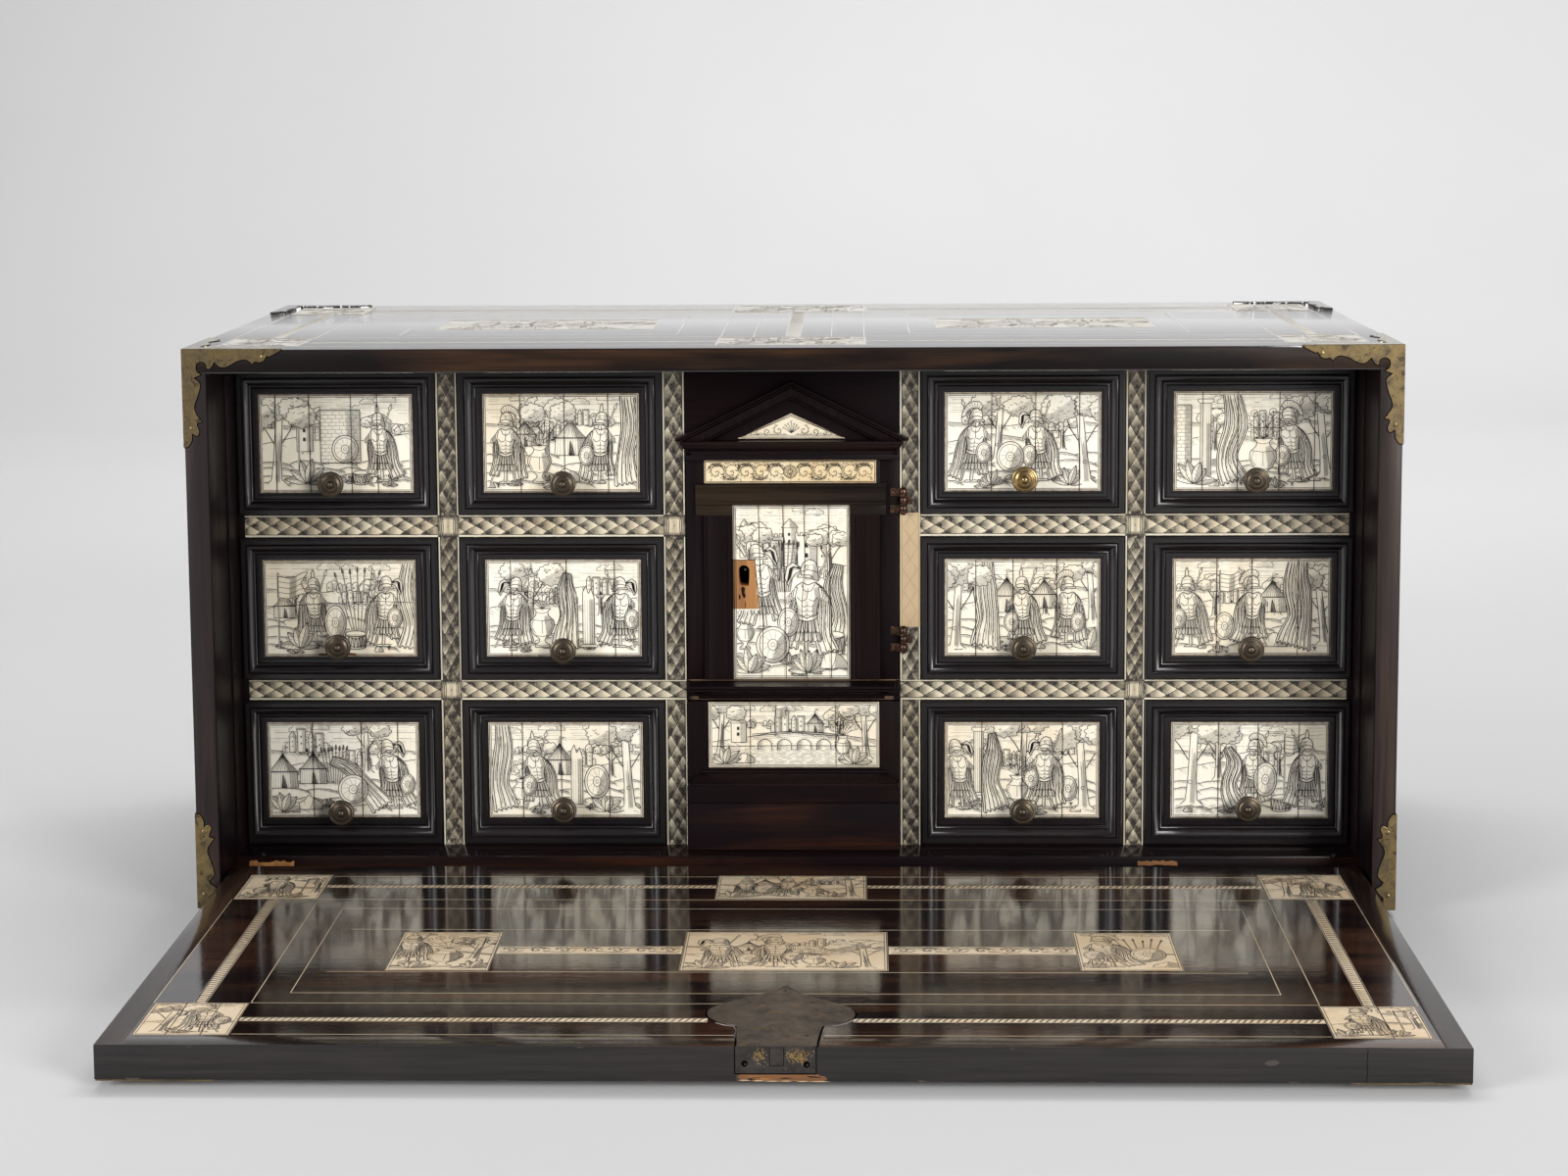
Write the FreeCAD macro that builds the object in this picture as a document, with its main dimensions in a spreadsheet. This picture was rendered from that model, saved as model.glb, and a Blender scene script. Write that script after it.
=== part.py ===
import FreeCAD, Part
import Sketcher
import os
import re

# Fall-front table cabinet, ebony with ivory plaques.
# Millimetres. X runs along the front, Y into the depth, Z up.
# Origin: centre of the underside of the case. The front edges of the case lie at
# Y = -carcass_depth/2 and the open fall front reaches further towards -Y.

V = FreeCAD.Vector
doc = FreeCAD.newDocument("cabinet")

# ---------------------------------------------------------------- sizes
SIZES = [
    ("carcass_width", 1000, "case, outside width"),
    ("carcass_depth", 438, "case, outside depth"),
    ("carcass_height", 472, "case, outside height"),
    ("top_thickness", 20, "top board"),
    ("side_thickness", 19.5, "side boards"),
    ("bottom_thickness", 26.5, "bottom board"),
    ("back_thickness", 10, "back board"),
    ("floor_thickness", 1.5, "ebony facing on the bottom board"),
    ("liner_thickness", 1.5, "ebony facing on the sides, in front of the bank"),
    ("bottom_setback", 62.5, "front edge of the bottom board, behind the case front"),
    ("bank_setback", 100.2, "front edges of the dividers, behind the case front"),
    ("strip_thickness", 1.4, "braid strips"),
    ("column_one_left", -479, "opening of column one"),
    ("column_one_right", -306.5, ""),
    ("column_two_left", -288.5, "opening of column two"),
    ("column_two_right", -111.8, ""),
    ("portal_left", -93.2, "middle opening"),
    ("portal_right", 91.2, ""),
    ("column_three_left", 108.6, "opening of column three"),
    ("column_three_right", 284.0, ""),
    ("column_four_left", 301.2, "opening of column four"),
    ("column_four_right", 479, ""),
    ("bottom_row_low", 28, "bottom row of drawers"),
    ("bottom_row_high", 156.4, ""),
    ("middle_row_low", 174, "middle row"),
    ("middle_row_high", 299.4, ""),
    ("top_row_low", 318.4, "top row"),
    ("top_row_high", 444.4, ""),
    ("plaque_one_left", -459.5, "drawer plaques, side edges"),
    ("plaque_one_right", -326.7, ""),
    ("plaque_two_left", -266.2, ""),
    ("plaque_two_right", -131.8, ""),
    ("plaque_three_left", 129.4, ""),
    ("plaque_three_right", 263.1, ""),
    ("plaque_four_left", 324.6, ""),
    ("plaque_four_right", 460.4, ""),
    ("bottom_plaque_low", 52.2, "drawer plaques, lower and upper edges"),
    ("bottom_plaque_high", 136.7, ""),
    ("middle_plaque_low", 194.8, ""),
    ("middle_plaque_high", 279.5, ""),
    ("top_plaque_low", 338.1, ""),
    ("top_plaque_high", 423.6, ""),
    ("plaque_thickness", 1.5, "drawer plaques"),
    ("front_gap", 0.6, "gap round a drawer front"),
    ("front_thickness", 10, "drawer front board"),
    ("frame_height", 5.5, "drawer frame moulding at its outer edge"),
    ("frame_inner_height", 2.5, "drawer frame moulding at its inner edge"),
    ("drawer_length", 300, "drawer behind its front board"),
    ("drawer_board", 8, "drawer sides and back"),
    ("drawer_floor", 5, "drawer bottom"),
    ("drawer_travel", 220, "how far a drawer pulls out"),
    ("knob_radius", 11, "drawer knob"),
    ("knob_stem_radius", 3.2, "its stem"),
    ("knob_length", 21.4, "its length"),
    ("knob_rise", 10, "knob above the lower edge of its plaque"),
    ("inlay_thickness", 0.8, "plaques let into the top and the fall front"),
    ("door_low", 174.2, "door"),
    ("door_high", 366, ""),
    ("door_gap", 0.8, "gap beside the door"),
    ("door_face", 99.5, "front face of the door board, behind the case front"),
    ("door_back", 112, "rear face of the door board"),
    ("architrave_face", 95.5, "front face of the door's eared frame"),
    ("hinge_height", 21.5, "door hinge"),
    ("hinge_radius", 3.4, "door hinge barrel"),
    ("hinge_pin_radius", 1.2, "hinge pins"),
    ("hinge_axis", 94.2, "door hinge axis, X"),
    ("hinge_axis_depth", 94.4, "door hinge axis, behind the case front"),
    ("hinge_leaf", 1.2, "door hinge leaves"),
    ("upper_hinge", 330.5, "middle of the upper door hinge"),
    ("lower_hinge", 210, "middle of the lower door hinge"),
    ("door_bolt_throw", 6, "door lock bolt"),
    ("plinth_setback", 78, "front of the plinth, behind the case front"),
    ("plinth_top", 84, "upper edge of the plinth"),
    ("sill_setback", 74.2, "front of the sill, behind the case front"),
    ("sill_top", 173.4, "sill"),
    ("sill_low", 160.2, ""),
    ("cornice_setback", 82, "front of the cornice, behind the case front"),
    ("cornice_low", 371, "cornice"),
    ("cornice_high", 383.6, ""),
    ("pediment_setback", 85, "front of the pediment, behind the case front"),
    ("pediment_half", 100, "half the span of the pediment"),
    ("pediment_apex", 434.4, "top of the pediment"),
    ("rake_height", 16, "upright height of the raking mouldings"),
    ("flap_width", 954, "fall front"),
    ("flap_length", 447.6, ""),
    ("flap_low", 1.2, "underside of the open fall front"),
    ("flap_high", 26.4, "upper face of the open fall front"),
    ("flap_axis", 36, "hinge axis of the fall front, behind the case front"),
    ("flap_axis_height", 3.2, "height of that axis"),
    ("flap_hinge_radius", 2.9, "its barrels"),
    ("flap_hinge_width", 70, "its hinges"),
    ("flap_hinge_offset", 320, "outer hinges from the middle"),
    ("flap_leaf", 60, "length of the hinge leaves"),
    ("lock_throw", 8, "bolt of the fall front"),
    ("mount_thickness", 1, "brass corner mounts"),
    ("mount_leg", 82, "length of their legs"),
    ("mount_width", 15, "width of their legs"),
    ("mount_top_leg", 100, "their leaf on the top, along the side"),
    ("mount_top_width", 20, "width of that leaf's legs"),
]
ALIASES = set(s[0] for s in SIZES)
sheet = doc.addObject("Spreadsheet::Sheet", "sizes")
for row, (alias, value, note) in enumerate(SIZES, 1):
    sheet.set("A%d" % row, note)
    sheet.set("B%d" % row, str(value))
    sheet.setAlias("B%d" % row, alias)
doc.recompute()


def bound(e):
    """An expression on the aliases, as the objects' properties need it."""
    return re.sub(r"[a-z_]{4,}", lambda m: "sizes." + m.group(0) if m.group(0) in ALIASES else m.group(0), str(e))


def value(e):
    return float(sheet.evalExpression(str(e)))


def back(e):
    """Y of a plane that lies e behind the front edges of the case."""
    return "(%s) - carcass_depth/2" % e


# ---------------------------------------------------------------- builders
def place(obj, x=None, y=None, z=None, rotation=None):
    if rotation is not None:
        obj.Placement = FreeCAD.Placement(V(0, 0, 0), rotation)
    for axis, e in (("x", x), ("y", y), ("z", z)):
        if e is not None:
            obj.setExpression("Placement.Base." + axis, bound(e))
    return obj


def block(name, x, y, z):
    """A board between two planes each way; y counts from the case front."""
    o = doc.addObject("Part::Box", name)
    o.setExpression("Length", bound("(%s) - (%s)" % (x[1], x[0])))
    o.setExpression("Width", bound("(%s) - (%s)" % (y[1], y[0])))
    o.setExpression("Height", bound("(%s) - (%s)" % (z[1], z[0])))
    return place(o, x[0], back(y[0]), z[0])


def rod(name, radius, length, x, y, z, rotation=None):
    o = doc.addObject("Part::Cylinder", name)
    o.setExpression("Radius", bound(radius))
    o.setExpression("Height", bound(length))
    return place(o, x, back(y), z, rotation)


def fuse(name, members):
    o = doc.addObject("Part::MultiFuse", name)
    o.Shapes = members
    return o


def cut(name, base, tools):
    o = doc.addObject("Part::Cut", name)
    o.Base = base
    o.Tool = tools[0] if len(tools) == 1 else fuse(name + "_tools", tools)
    return o


def polygon(body, role, points):
    """A closed outline whose corners are tied to the sheet, on one origin plane of the body."""
    sketch = body.newObject("Sketcher::SketchObject", body.Name + "_outline")
    plane = [f for f in body.Origin.OriginFeatures if f.Role == role][0]
    sketch.AttachmentSupport = (plane, [""])
    sketch.MapMode = "FlatFace"
    at = [(value(a), value(b)) for a, b in points]
    n = len(at)
    sketch.addGeometry([Part.LineSegment(V(at[i][0], at[i][1], 0), V(at[(i + 1) % n][0], at[(i + 1) % n][1], 0))
                        for i in range(n)], False)
    for i in range(n):
        sketch.addConstraint(Sketcher.Constraint("Coincident", i, 2, (i + 1) % n, 1))
    for i in range(n):
        for kind, e, v, axis in (("DistanceX", points[i][0], at[i][0], -2), ("DistanceY", points[i][1], at[i][1], -1)):
            if abs(v) < 1e-9:
                sketch.addConstraint(Sketcher.Constraint("PointOnObject", i, 1, axis))
            else:
                k = sketch.addConstraint(Sketcher.Constraint(kind, -1, 1, i, 1, v))
                sketch.setExpression("Constraints[%d]" % k, bound(e))
    return sketch


def padded(name, role, points, length, x=None, y=None, z=None):
    """A body padded from an outline. XY grows to +Z, YZ to +X, XZ to -Y."""
    body = doc.addObject("PartDesign::Body", name)
    sketch = polygon(body, role, points)
    pad = body.newObject("PartDesign::Pad", name + "_pad")
    pad.Profile = sketch
    pad.setExpression("Length", bound(length))
    body.Tip = pad
    return place(body, x, None if y is None else back(y), z)


def turned(name, points, x, y, z):
    """A turned piece about a line along Y."""
    body = doc.addObject("PartDesign::Body", name)
    sketch = polygon(body, "XY_Plane", points)
    rev = body.newObject("PartDesign::Revolution", name + "_turn")
    rev.Profile = sketch
    rev.ReferenceAxis = (sketch, ["V_Axis"])
    rev.Angle = 360
    body.Tip = rev
    return place(body, x, back(y), z)


NODES = []


def node(name, members):
    """One named sub-part: a single object, or several separate solids together."""
    if len(members) == 1:
        o = members[0]
    else:
        o = doc.addObject("Part::Compound", name)
        o.Links = members
    o.Label = name
    NODES.append(o)
    return o


ABOUT_X = FreeCAD.Rotation(V(1, 0, 0), 90)
RAIL_TURN = {
    "low": ABOUT_X,
    "high": FreeCAD.Rotation(V(0, 1, 0), 180).multiply(ABOUT_X),
    "left": FreeCAD.Rotation(V(0, 1, 0), 90).multiply(ABOUT_X),
    "right": FreeCAD.Rotation(V(0, 1, 0), -90).multiply(ABOUT_X),
}


def rail(name, side, length, depth, start, end, x, y, z):
    """A mitred length of frame moulding, high outside and low inside."""
    o = doc.addObject("Part::Wedge", name)
    o.Xmin = o.Ymin = o.Zmin = o.Z2min = 0
    o.setExpression("Xmax", bound(length))
    o.setExpression("Ymax", bound(depth))
    o.setExpression("X2min", bound(start))
    o.setExpression("X2max", bound("(%s) - (%s)" % (length, end)))
    o.setExpression("Zmax", bound("frame_height"))
    o.setExpression("Z2max", bound("frame_inner_height"))
    return place(o, x, back(y), z, RAIL_TURN[side])


# ---------------------------------------------------------------- the case
W2 = "carcass_width/2"
INNER = "carcass_width/2 - side_thickness"
TOP_UNDER = "carcass_height - top_thickness"
FLOOR = "bottom_thickness + floor_thickness"
BACK = "carcass_depth - back_thickness"

# plaques let into the top: corners, middle of the front and rear edges, two long ones
TOP_PLAQUES = [
    ("top_plaque_corner_a", ("-479", "-408"), ("25", "98")),
    ("top_plaque_corner_b", ("408", "479"), ("25", "98")),
    ("top_plaque_corner_c", ("-479", "-408"), ("340", "413")),
    ("top_plaque_corner_d", ("408", "479"), ("340", "413")),
    ("top_plaque_front", ("-63.5", "63.5"), ("20", "93")),
    ("top_plaque_rear", ("-63.5", "63.5"), ("345", "418")),
    ("top_plaque_long_a", ("-318", "-123"), ("170", "268")),
    ("top_plaque_long_b", ("123", "318"), ("170", "268")),
]
Z_INLAY = ("carcass_height - inlay_thickness", "carcass_height")
top_plaques = [block(n, x, y, Z_INLAY) for n, x, y in TOP_PLAQUES]
top_pockets = [block(n + "_pocket", x, y, Z_INLAY) for n, x, y in TOP_PLAQUES]
strike_mortise = block("strike_mortise", ("-8.6", "5.2"), ("43.6", "59.8"), (TOP_UNDER, TOP_UNDER + " + 12"))
strike_bed = block("strike_bed", ("-24", "20.6"), ("40", "61"), (TOP_UNDER, TOP_UNDER + " + 1"))
node("carcass_top", [cut("top_board",
                         block("top_blank", ("-" + W2, W2), ("0", "carcass_depth"), (TOP_UNDER, "carcass_height")),
                         top_pockets + [strike_mortise, strike_bed])])

HINGE_AT = ["-flap_hinge_offset", "0", "flap_hinge_offset"]
leaf_beds = [block("leaf_bed_%d" % i, ("%s - flap_hinge_width/2 - 0.3" % x, "%s + flap_hinge_width/2 + 0.3" % x),
                   ("bottom_setback - 1", "flap_axis + flap_leaf + 6"), ("0", "1.6")) for i, x in enumerate(HINGE_AT)]
node("carcass_boards", [
    cut("bottom_board", block("bottom_blank", ("-(%s)" % INNER, INNER), ("bottom_setback", BACK), ("0", "bottom_thickness")), leaf_beds),
    block("back_board", ("-(%s)" % INNER, INNER), (BACK, "carcass_depth"), ("0", TOP_UNDER)),
])

node("side_panels", [
    block("side_left", ("-" + W2, "-(%s)" % INNER), ("0", "carcass_depth"), ("0", TOP_UNDER)),
    block("side_right", (INNER, W2), ("0", "carcass_depth"), ("0", TOP_UNDER)),
])

# ebony facing of the recess: the floor under the drawers and the two side linings
node("recess_liner", [
    block("floor_facing", ("-(%s)" % INNER, INNER), ("bottom_setback", BACK), ("bottom_thickness", FLOOR)),
    block("lining_left", ("-(%s)" % INNER, "-(%s) + liner_thickness" % INNER), ("bottom_setback", "bank_setback"), (FLOOR, TOP_UNDER)),
    block("lining_right", ("(%s) - liner_thickness" % INNER, INNER), ("bottom_setback", "bank_setback"), (FLOOR, TOP_UNDER)),
])

# uprights, shelves, ceiling and the closed field behind the pediment
UPRIGHTS = [("column_one_right", "column_two_left"), ("column_two_right", "portal_left"),
            ("portal_right", "column_three_left"), ("column_three_right", "column_four_left")]
COLUMNS = [("-(%s)" % INNER, "column_one_right"), ("column_two_left", "column_two_right"),
           ("column_three_left", "column_three_right"), ("column_four_left", INNER)]
SHELVES = [("bottom_row_high", "middle_row_low"), ("middle_row_high", "top_row_low")]
BEHIND = ("bank_setback", BACK)
partitions = []
bolt_hole = block("door_bolt_hole", ("portal_left - door_bolt_throw - 2", "portal_left"), ("113.2", "119.8"), ("255.2", "268.8"))
for i, x in enumerate(UPRIGHTS):
    o = block("upright_%d" % (i + 1), x, BEHIND, (FLOOR, "top_row_high"))
    partitions.append(cut("upright_2_mortised", o, [bolt_hole]) if i == 1 else o)
for i, x in enumerate(COLUMNS):
    for j, z in enumerate(SHELVES):
        partitions.append(block("shelf_%d_%d" % (i + 1, j + 1), x, BEHIND, z))
PORTAL = ("portal_left", "portal_right")
partitions.append(block("shelf_portal", PORTAL, BEHIND, SHELVES[0]))
partitions.append(block("cupboard_ceiling", PORTAL, ("bank_setback", BACK), ("door_high + 0.6", "door_high + 8.6")))
partitions.append(block("portal_field", PORTAL, ("bank_setback", "bank_setback + 9"), ("door_high + 8.6", "top_row_high")))
partitions.append(block("ceiling", ("-(%s)" % INNER, INNER), BEHIND, ("top_row_high", TOP_UNDER)))
node("partitions", partitions)

# braid strips on the front edges of the uprights and shelves, with a block at each crossing
STRIP = ("bank_setback - strip_thickness", "bank_setback")
strips = []
for i, x in enumerate(UPRIGHTS):
    for j, z in enumerate((("bottom_row_low", "bottom_row_high"), ("bottom_row_high", "middle_row_low"),
                           ("middle_row_low", "middle_row_high"), ("middle_row_high", "top_row_low"),
                           ("top_row_low", "top_row_high"))):
        strips.append(block("strip_%d_%d" % (i + 1, j + 1), x, STRIP, z))
for i, x in enumerate(COLUMNS):
    a = "column_one_left" if i == 0 else x[0]
    b = "column_four_right" if i == 3 else x[1]
    for j, z in enumerate(SHELVES):
        strips.append(block("cross_strip_%d_%d" % (i + 1, j + 1), (a, b), STRIP, z))
strips.append(block("cross_strip_portal", PORTAL, STRIP, SHELVES[0]))
node("braid_strips", strips)

# ---------------------------------------------------------------- the portal
RAKE = "(pediment_apex - cornice_high - 1)/pediment_half"
PED_DEPTH = "bank_setback - pediment_setback"
CORNICE_UNDER = "cornice_low - 4.4"
rake_left = padded("rake_left", "XZ_Plane",
                   [("-pediment_half", "1"), ("0", "pediment_apex - cornice_high"),
                    ("0", "pediment_apex - cornice_high - rake_height"),
                    ("-pediment_half + rake_height/(%s)" % RAKE, "0"), ("-pediment_half", "0")],
                   PED_DEPTH, "-1", "bank_setback", "cornice_high")
rake_right = padded("rake_right", "XZ_Plane",
                    [("pediment_half", "1"), ("0", "pediment_apex - cornice_high"),
                     ("0", "pediment_apex - cornice_high - rake_height"),
                     ("pediment_half - rake_height/(%s)" % RAKE, "0"), ("pediment_half", "0")],
                    PED_DEPTH, "-1", "bank_setback", "cornice_high")
seats = [block("rake_seat_left", ("-pediment_half - 4", "portal_left"), ("bank_setback - strip_thickness", "bank_setback + 1"), ("cornice_high - 1", "pediment_apex")),
         block("rake_seat_right", ("portal_right", "pediment_half + 4"), ("bank_setback - strip_thickness", "bank_setback + 1"), ("cornice_high - 1", "pediment_apex"))]
rake_left = cut("rake_left_seated", rake_left, [seats[0]])
rake_right = cut("rake_right_seated", rake_right, [seats[1]])
tympanum = padded("tympanum", "XZ_Plane",
                  [("-pediment_half + rake_height/(%s) + 0.2" % RAKE, "0"), ("0", "pediment_apex - cornice_high - rake_height - 0.1"),
                   ("pediment_half - rake_height/(%s) - 0.2" % RAKE, "0")],
                  "5", "-1", "bank_setback", "cornice_high")
cornice = padded("cornice", "YZ_Plane",
                 [("0", "cornice_low"), ("0", "cornice_high"), ("cornice_setback - bank_setback + strip_thickness", "cornice_high"),
                  ("cornice_setback - bank_setback + strip_thickness", "cornice_high - 4"),
                  ("cornice_setback - bank_setback + strip_thickness + 7", "cornice_low")],
                 "190", "-96", "bank_setback - strip_thickness", "0")
cornice_step = block("cornice_step", ("portal_left + 1.2", "portal_right - 1.2"), ("90", "bank_setback"), (CORNICE_UNDER, "cornice_low"))
sill = padded("sill", "YZ_Plane",
              [("0", "sill_low"), ("0", "sill_top"), ("sill_setback - bank_setback + strip_thickness", "sill_top"),
               ("sill_setback - bank_setback + strip_thickness", "sill_top - 4.5"),
               ("sill_setback - bank_setback + strip_thickness + 9", "sill_low")],
              "178.6", "-91.5", "bank_setback - strip_thickness", "0")
node("portal_case", [rake_left, rake_right, tympanum, cornice, cornice_step, sill])
tympanum_plaque = padded("tympanum_plaque", "XZ_Plane", [("-46", "0"), ("0", "21.6"), ("46", "0")], "1", "-1.4", "bank_setback - 5", "cornice_high + 1.2")
node("carcass_plaques", top_plaques + [tympanum_plaque])

# ---------------------------------------------------------------- the door
DOOR_X = ("portal_left + door_gap", "portal_right - door_gap")
KEY_X, KEY_Z = "-42.9", "268.6"


def key_cutter(tag):
    """Round hole with a slot below it, through the board."""
    return [rod("key_round_" + tag, "4.4", "26", KEY_X, "door_back + 4", KEY_Z, ABOUT_X),
            block("key_slot_" + tag, (KEY_X + " - 2.4", KEY_X + " + 2.4"), ("door_back - 22", "door_back + 4"), (KEY_Z + " - 11.5", KEY_Z))]


FACE = ("architrave_face", "door_face")
BOARD = ("door_face", "door_back")
PATCH_X, PATCH_Z = ("-52.4", "-30"), ("236", "279")
node("door_frame", [
    block("door_board_left", (DOOR_X[0], PATCH_X[0]), BOARD, ("door_low", "door_high")),
    block("door_board_right", (PATCH_X[1], DOOR_X[1]), BOARD, ("door_low", "door_high")),
    block("door_board_low", PATCH_X, BOARD, ("door_low", PATCH_Z[0])),
    block("door_board_high", PATCH_X, BOARD, (PATCH_Z[1], "door_high")),
    block("architrave_head", ("-84", "79.3"), FACE, ("326.8", "345.3")),
    block("architrave_ear_left", ("-84", "-52.4"), FACE, ("318", "326.8")),
    block("architrave_ear_right", ("48.4", "79.3"), FACE, ("318", "326.8")),
    block("architrave_left", ("-77.4", "-52.4"), FACE, ("door_low + 0.3", "318")),
    block("architrave_right", ("48.4", "74.2"), FACE, ("door_low + 0.3", "318")),
])
node("door_lock_patch", [
    cut("lock_patch_left", block("lock_patch_left_blank", (PATCH_X[0], KEY_X), ("door_face - 1", "door_back"), PATCH_Z), key_cutter("a")),
    cut("lock_patch_right", block("lock_patch_right_blank", (KEY_X, PATCH_X[1]), ("door_face - 1", "door_back"), PATCH_Z), key_cutter("c")),
])
patch_room = block("patch_room", ("-53", "-30"), ("door_face - 2", "door_face"), ("236", "279"))
node("door_plaques", [
    cut("door_plaque", block("door_plaque_blank", ("-52.4", "48.4"), ("door_face - 1.2", "door_face"), ("door_low + 0.8", "326.8")), [patch_room]),
    block("frieze_plaque", ("-76.4", "71"), ("door_face - 1.2", "door_face"), ("345.6", "365.7")),
])

# two hinges: a middle barrel and leaf on the upright, end barrels and leaf on the door
hinge_fixed, hinge_moving = [], []
for word in ("upper", "lower"):
    mid = word + "_hinge"
    third = "hinge_height/3"
    ax, ay = "hinge_axis", "hinge_axis_depth"
    bore = rod(word + "_pin_bore", "hinge_pin_radius + 0.05", "hinge_height + 2", ax, ay, "%s - hinge_height/2 - 1" % mid)
    barrel = rod(word + "_barrel_fixed", "hinge_radius", "%s - 0.3" % third, ax, ay, "%s - hinge_height/6 + 0.15" % mid)
    leaf = block(word + "_leaf_fixed", (ax + " + 0.6", "107.4"), ("bank_setback - strip_thickness - hinge_leaf", "bank_setback - strip_thickness"),
                 ("%s - hinge_height/6 + 0.15" % mid, "%s + hinge_height/6 - 0.15" % mid))
    web = block(word + "_web_fixed", (ax + " + 0.6", ax + " + 2.2"), (ay, "bank_setback - strip_thickness"),
                ("%s - hinge_height/6 + 0.15" % mid, "%s + hinge_height/6 - 0.15" % mid))
    hinge_fixed.append(cut(word + "_hinge_fixed", fuse(word + "_fixed_blank", [barrel, leaf, web]), [bore]))
    hinge_fixed.append(rod(word + "_pin", "hinge_pin_radius", "hinge_height + 1", ax, ay, "%s - hinge_height/2 - 0.5" % mid))
    for k, (z0, z1) in enumerate((("%s - hinge_height/2" % mid, "%s - hinge_height/6 - 0.15" % mid),
                                  ("%s + hinge_height/6 + 0.15" % mid, "%s + hinge_height/2" % mid))):
        b2 = rod("%s_barrel_moving_%d" % (word, k), "hinge_radius", "(%s) - (%s)" % (z1, z0), ax, ay, z0)
        l2 = block("%s_leaf_moving_%d" % (word, k), ("hinge_axis - 12", "portal_right - door_gap"), ("door_face - hinge_leaf", "door_face"), (z0, z1))
        w2 = block("%s_web_moving_%d" % (word, k), (ax + " - 6", ax + " - 0.6"), ("door_face - hinge_leaf - 1.4", "door_face - hinge_leaf"), (z0, z1))
        bore2 = rod("%s_pin_bore_%d" % (word, k), "hinge_pin_radius + 0.05", "hinge_height + 2", ax, ay, "%s - hinge_height/2 - 1" % mid)
        hinge_moving.append(cut("%s_hinge_moving_%d" % (word, k), fuse("%s_moving_blank_%d" % (word, k), [b2, l2, w2]), [bore2]))
# lock case behind the door: a back plate and solid blocks that leave a bed for the bolt and the key's bit
CASE_Y = ("door_back", "door_back + 8")
node("door_fittings", hinge_moving + [
    block("door_lock_back", ("-88", "-22"), ("door_back + 8", "door_back + 9"), ("240", "284")),
    block("door_lock_low", ("-88", "-22"), CASE_Y, ("240", "255")),
    block("door_lock_end", ("-35", "-22"), CASE_Y, ("255", "269")),
    block("door_lock_high_left", ("-88", "-48"), CASE_Y, ("269", "284")),
    block("door_lock_high_right", ("-37.8", "-22"), CASE_Y, ("269", "284")),
    block("door_lock_high_middle", ("-48", "-37.8"), CASE_Y, ("273.6", "284")),
])
node("door_bolt", [block("door_bolt_bar", ("portal_left + door_gap + 0.2", "-50"), ("113.5", "119.5"), ("255.5", "268.5"))])

# ---------------------------------------------------------------- the plinth drawer
PLINTH_X = ("portal_left + front_gap", "portal_right - front_gap")
PIN_W = "portal_right - portal_left - 2*front_gap"
BOX_Y = "bank_setback + front_thickness"
plinth_face = padded("plinth_face", "YZ_Plane",
                     [("0", "bottom_row_low + front_gap"), ("0", "bottom_row_high - front_gap"), ("-4", "bottom_row_high - front_gap"),
                      ("-4", "97"), ("plinth_setback - bank_setback", "plinth_top"),
                      ("plinth_setback - bank_setback", "bottom_row_low + front_gap")],
                     PIN_W, "portal_left + front_gap", "bank_setback", "0")


def drawer_box(name, left, right, low, high, length, board="drawer_board"):
    """Front board, two sides, back and bottom of a drawer; the top is open."""
    end = "%s + %s" % (BOX_Y, length)
    return [
        block(name + "_front", (left, right), ("bank_setback", BOX_Y), (low, high)),
        block(name + "_side_a", (left, "%s + %s" % (left, board)), (BOX_Y, end), (low, high + " - 4")),
        block(name + "_side_b", ("%s - %s" % (right, board), right), (BOX_Y, end), (low, high + " - 4")),
        block(name + "_back", ("%s + %s" % (left, board), "%s - %s" % (right, board)), (end + " - " + board, end), (low, high + " - 12")),
        block(name + "_floor", ("%s + %s" % (left, board), "%s - %s" % (right, board)), (BOX_Y, end + " - " + board), (low, low + " + drawer_floor")),
    ]


node("plinth_drawer", [plinth_face] + drawer_box("plinth_box", "portal_left + front_gap", "portal_right - front_gap",
                                                 "bottom_row_low + front_gap", "bottom_row_high - front_gap", "drawer_length - 10"))
node("plinth_plaque", [block("plinth_ivory", ("-74.5", "73"), ("bank_setback - 5.2", "bank_setback - 4"), ("97", "155.2"))])

# ---------------------------------------------------------------- twelve drawers
KNOB = [("0", "0"), ("knob_stem_radius", "0"), ("knob_stem_radius", "-knob_length*0.24"), ("knob_stem_radius*0.8", "-knob_length*0.42"),
        ("knob_radius*0.46", "-knob_length*0.58"), ("knob_radius*0.95", "-knob_length*0.65"), ("knob_radius", "-knob_length*0.70"),
        ("knob_radius*0.95", "-knob_length*0.76"), ("knob_radius*0.68", "-knob_length*0.78"), ("knob_radius*0.62", "-knob_length*0.83"),
        ("knob_radius*0.36", "-knob_length*0.85"), ("knob_radius*0.3", "-knob_length*0.9"), ("knob_radius*0.16", "-knob_length*0.92"),
        ("knob_radius*0.13", "-knob_length*0.99"), ("0", "-knob_length")]
ROWS = ("top", "middle", "bottom")
NAMES = ("one", "two", "three", "four")
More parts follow.
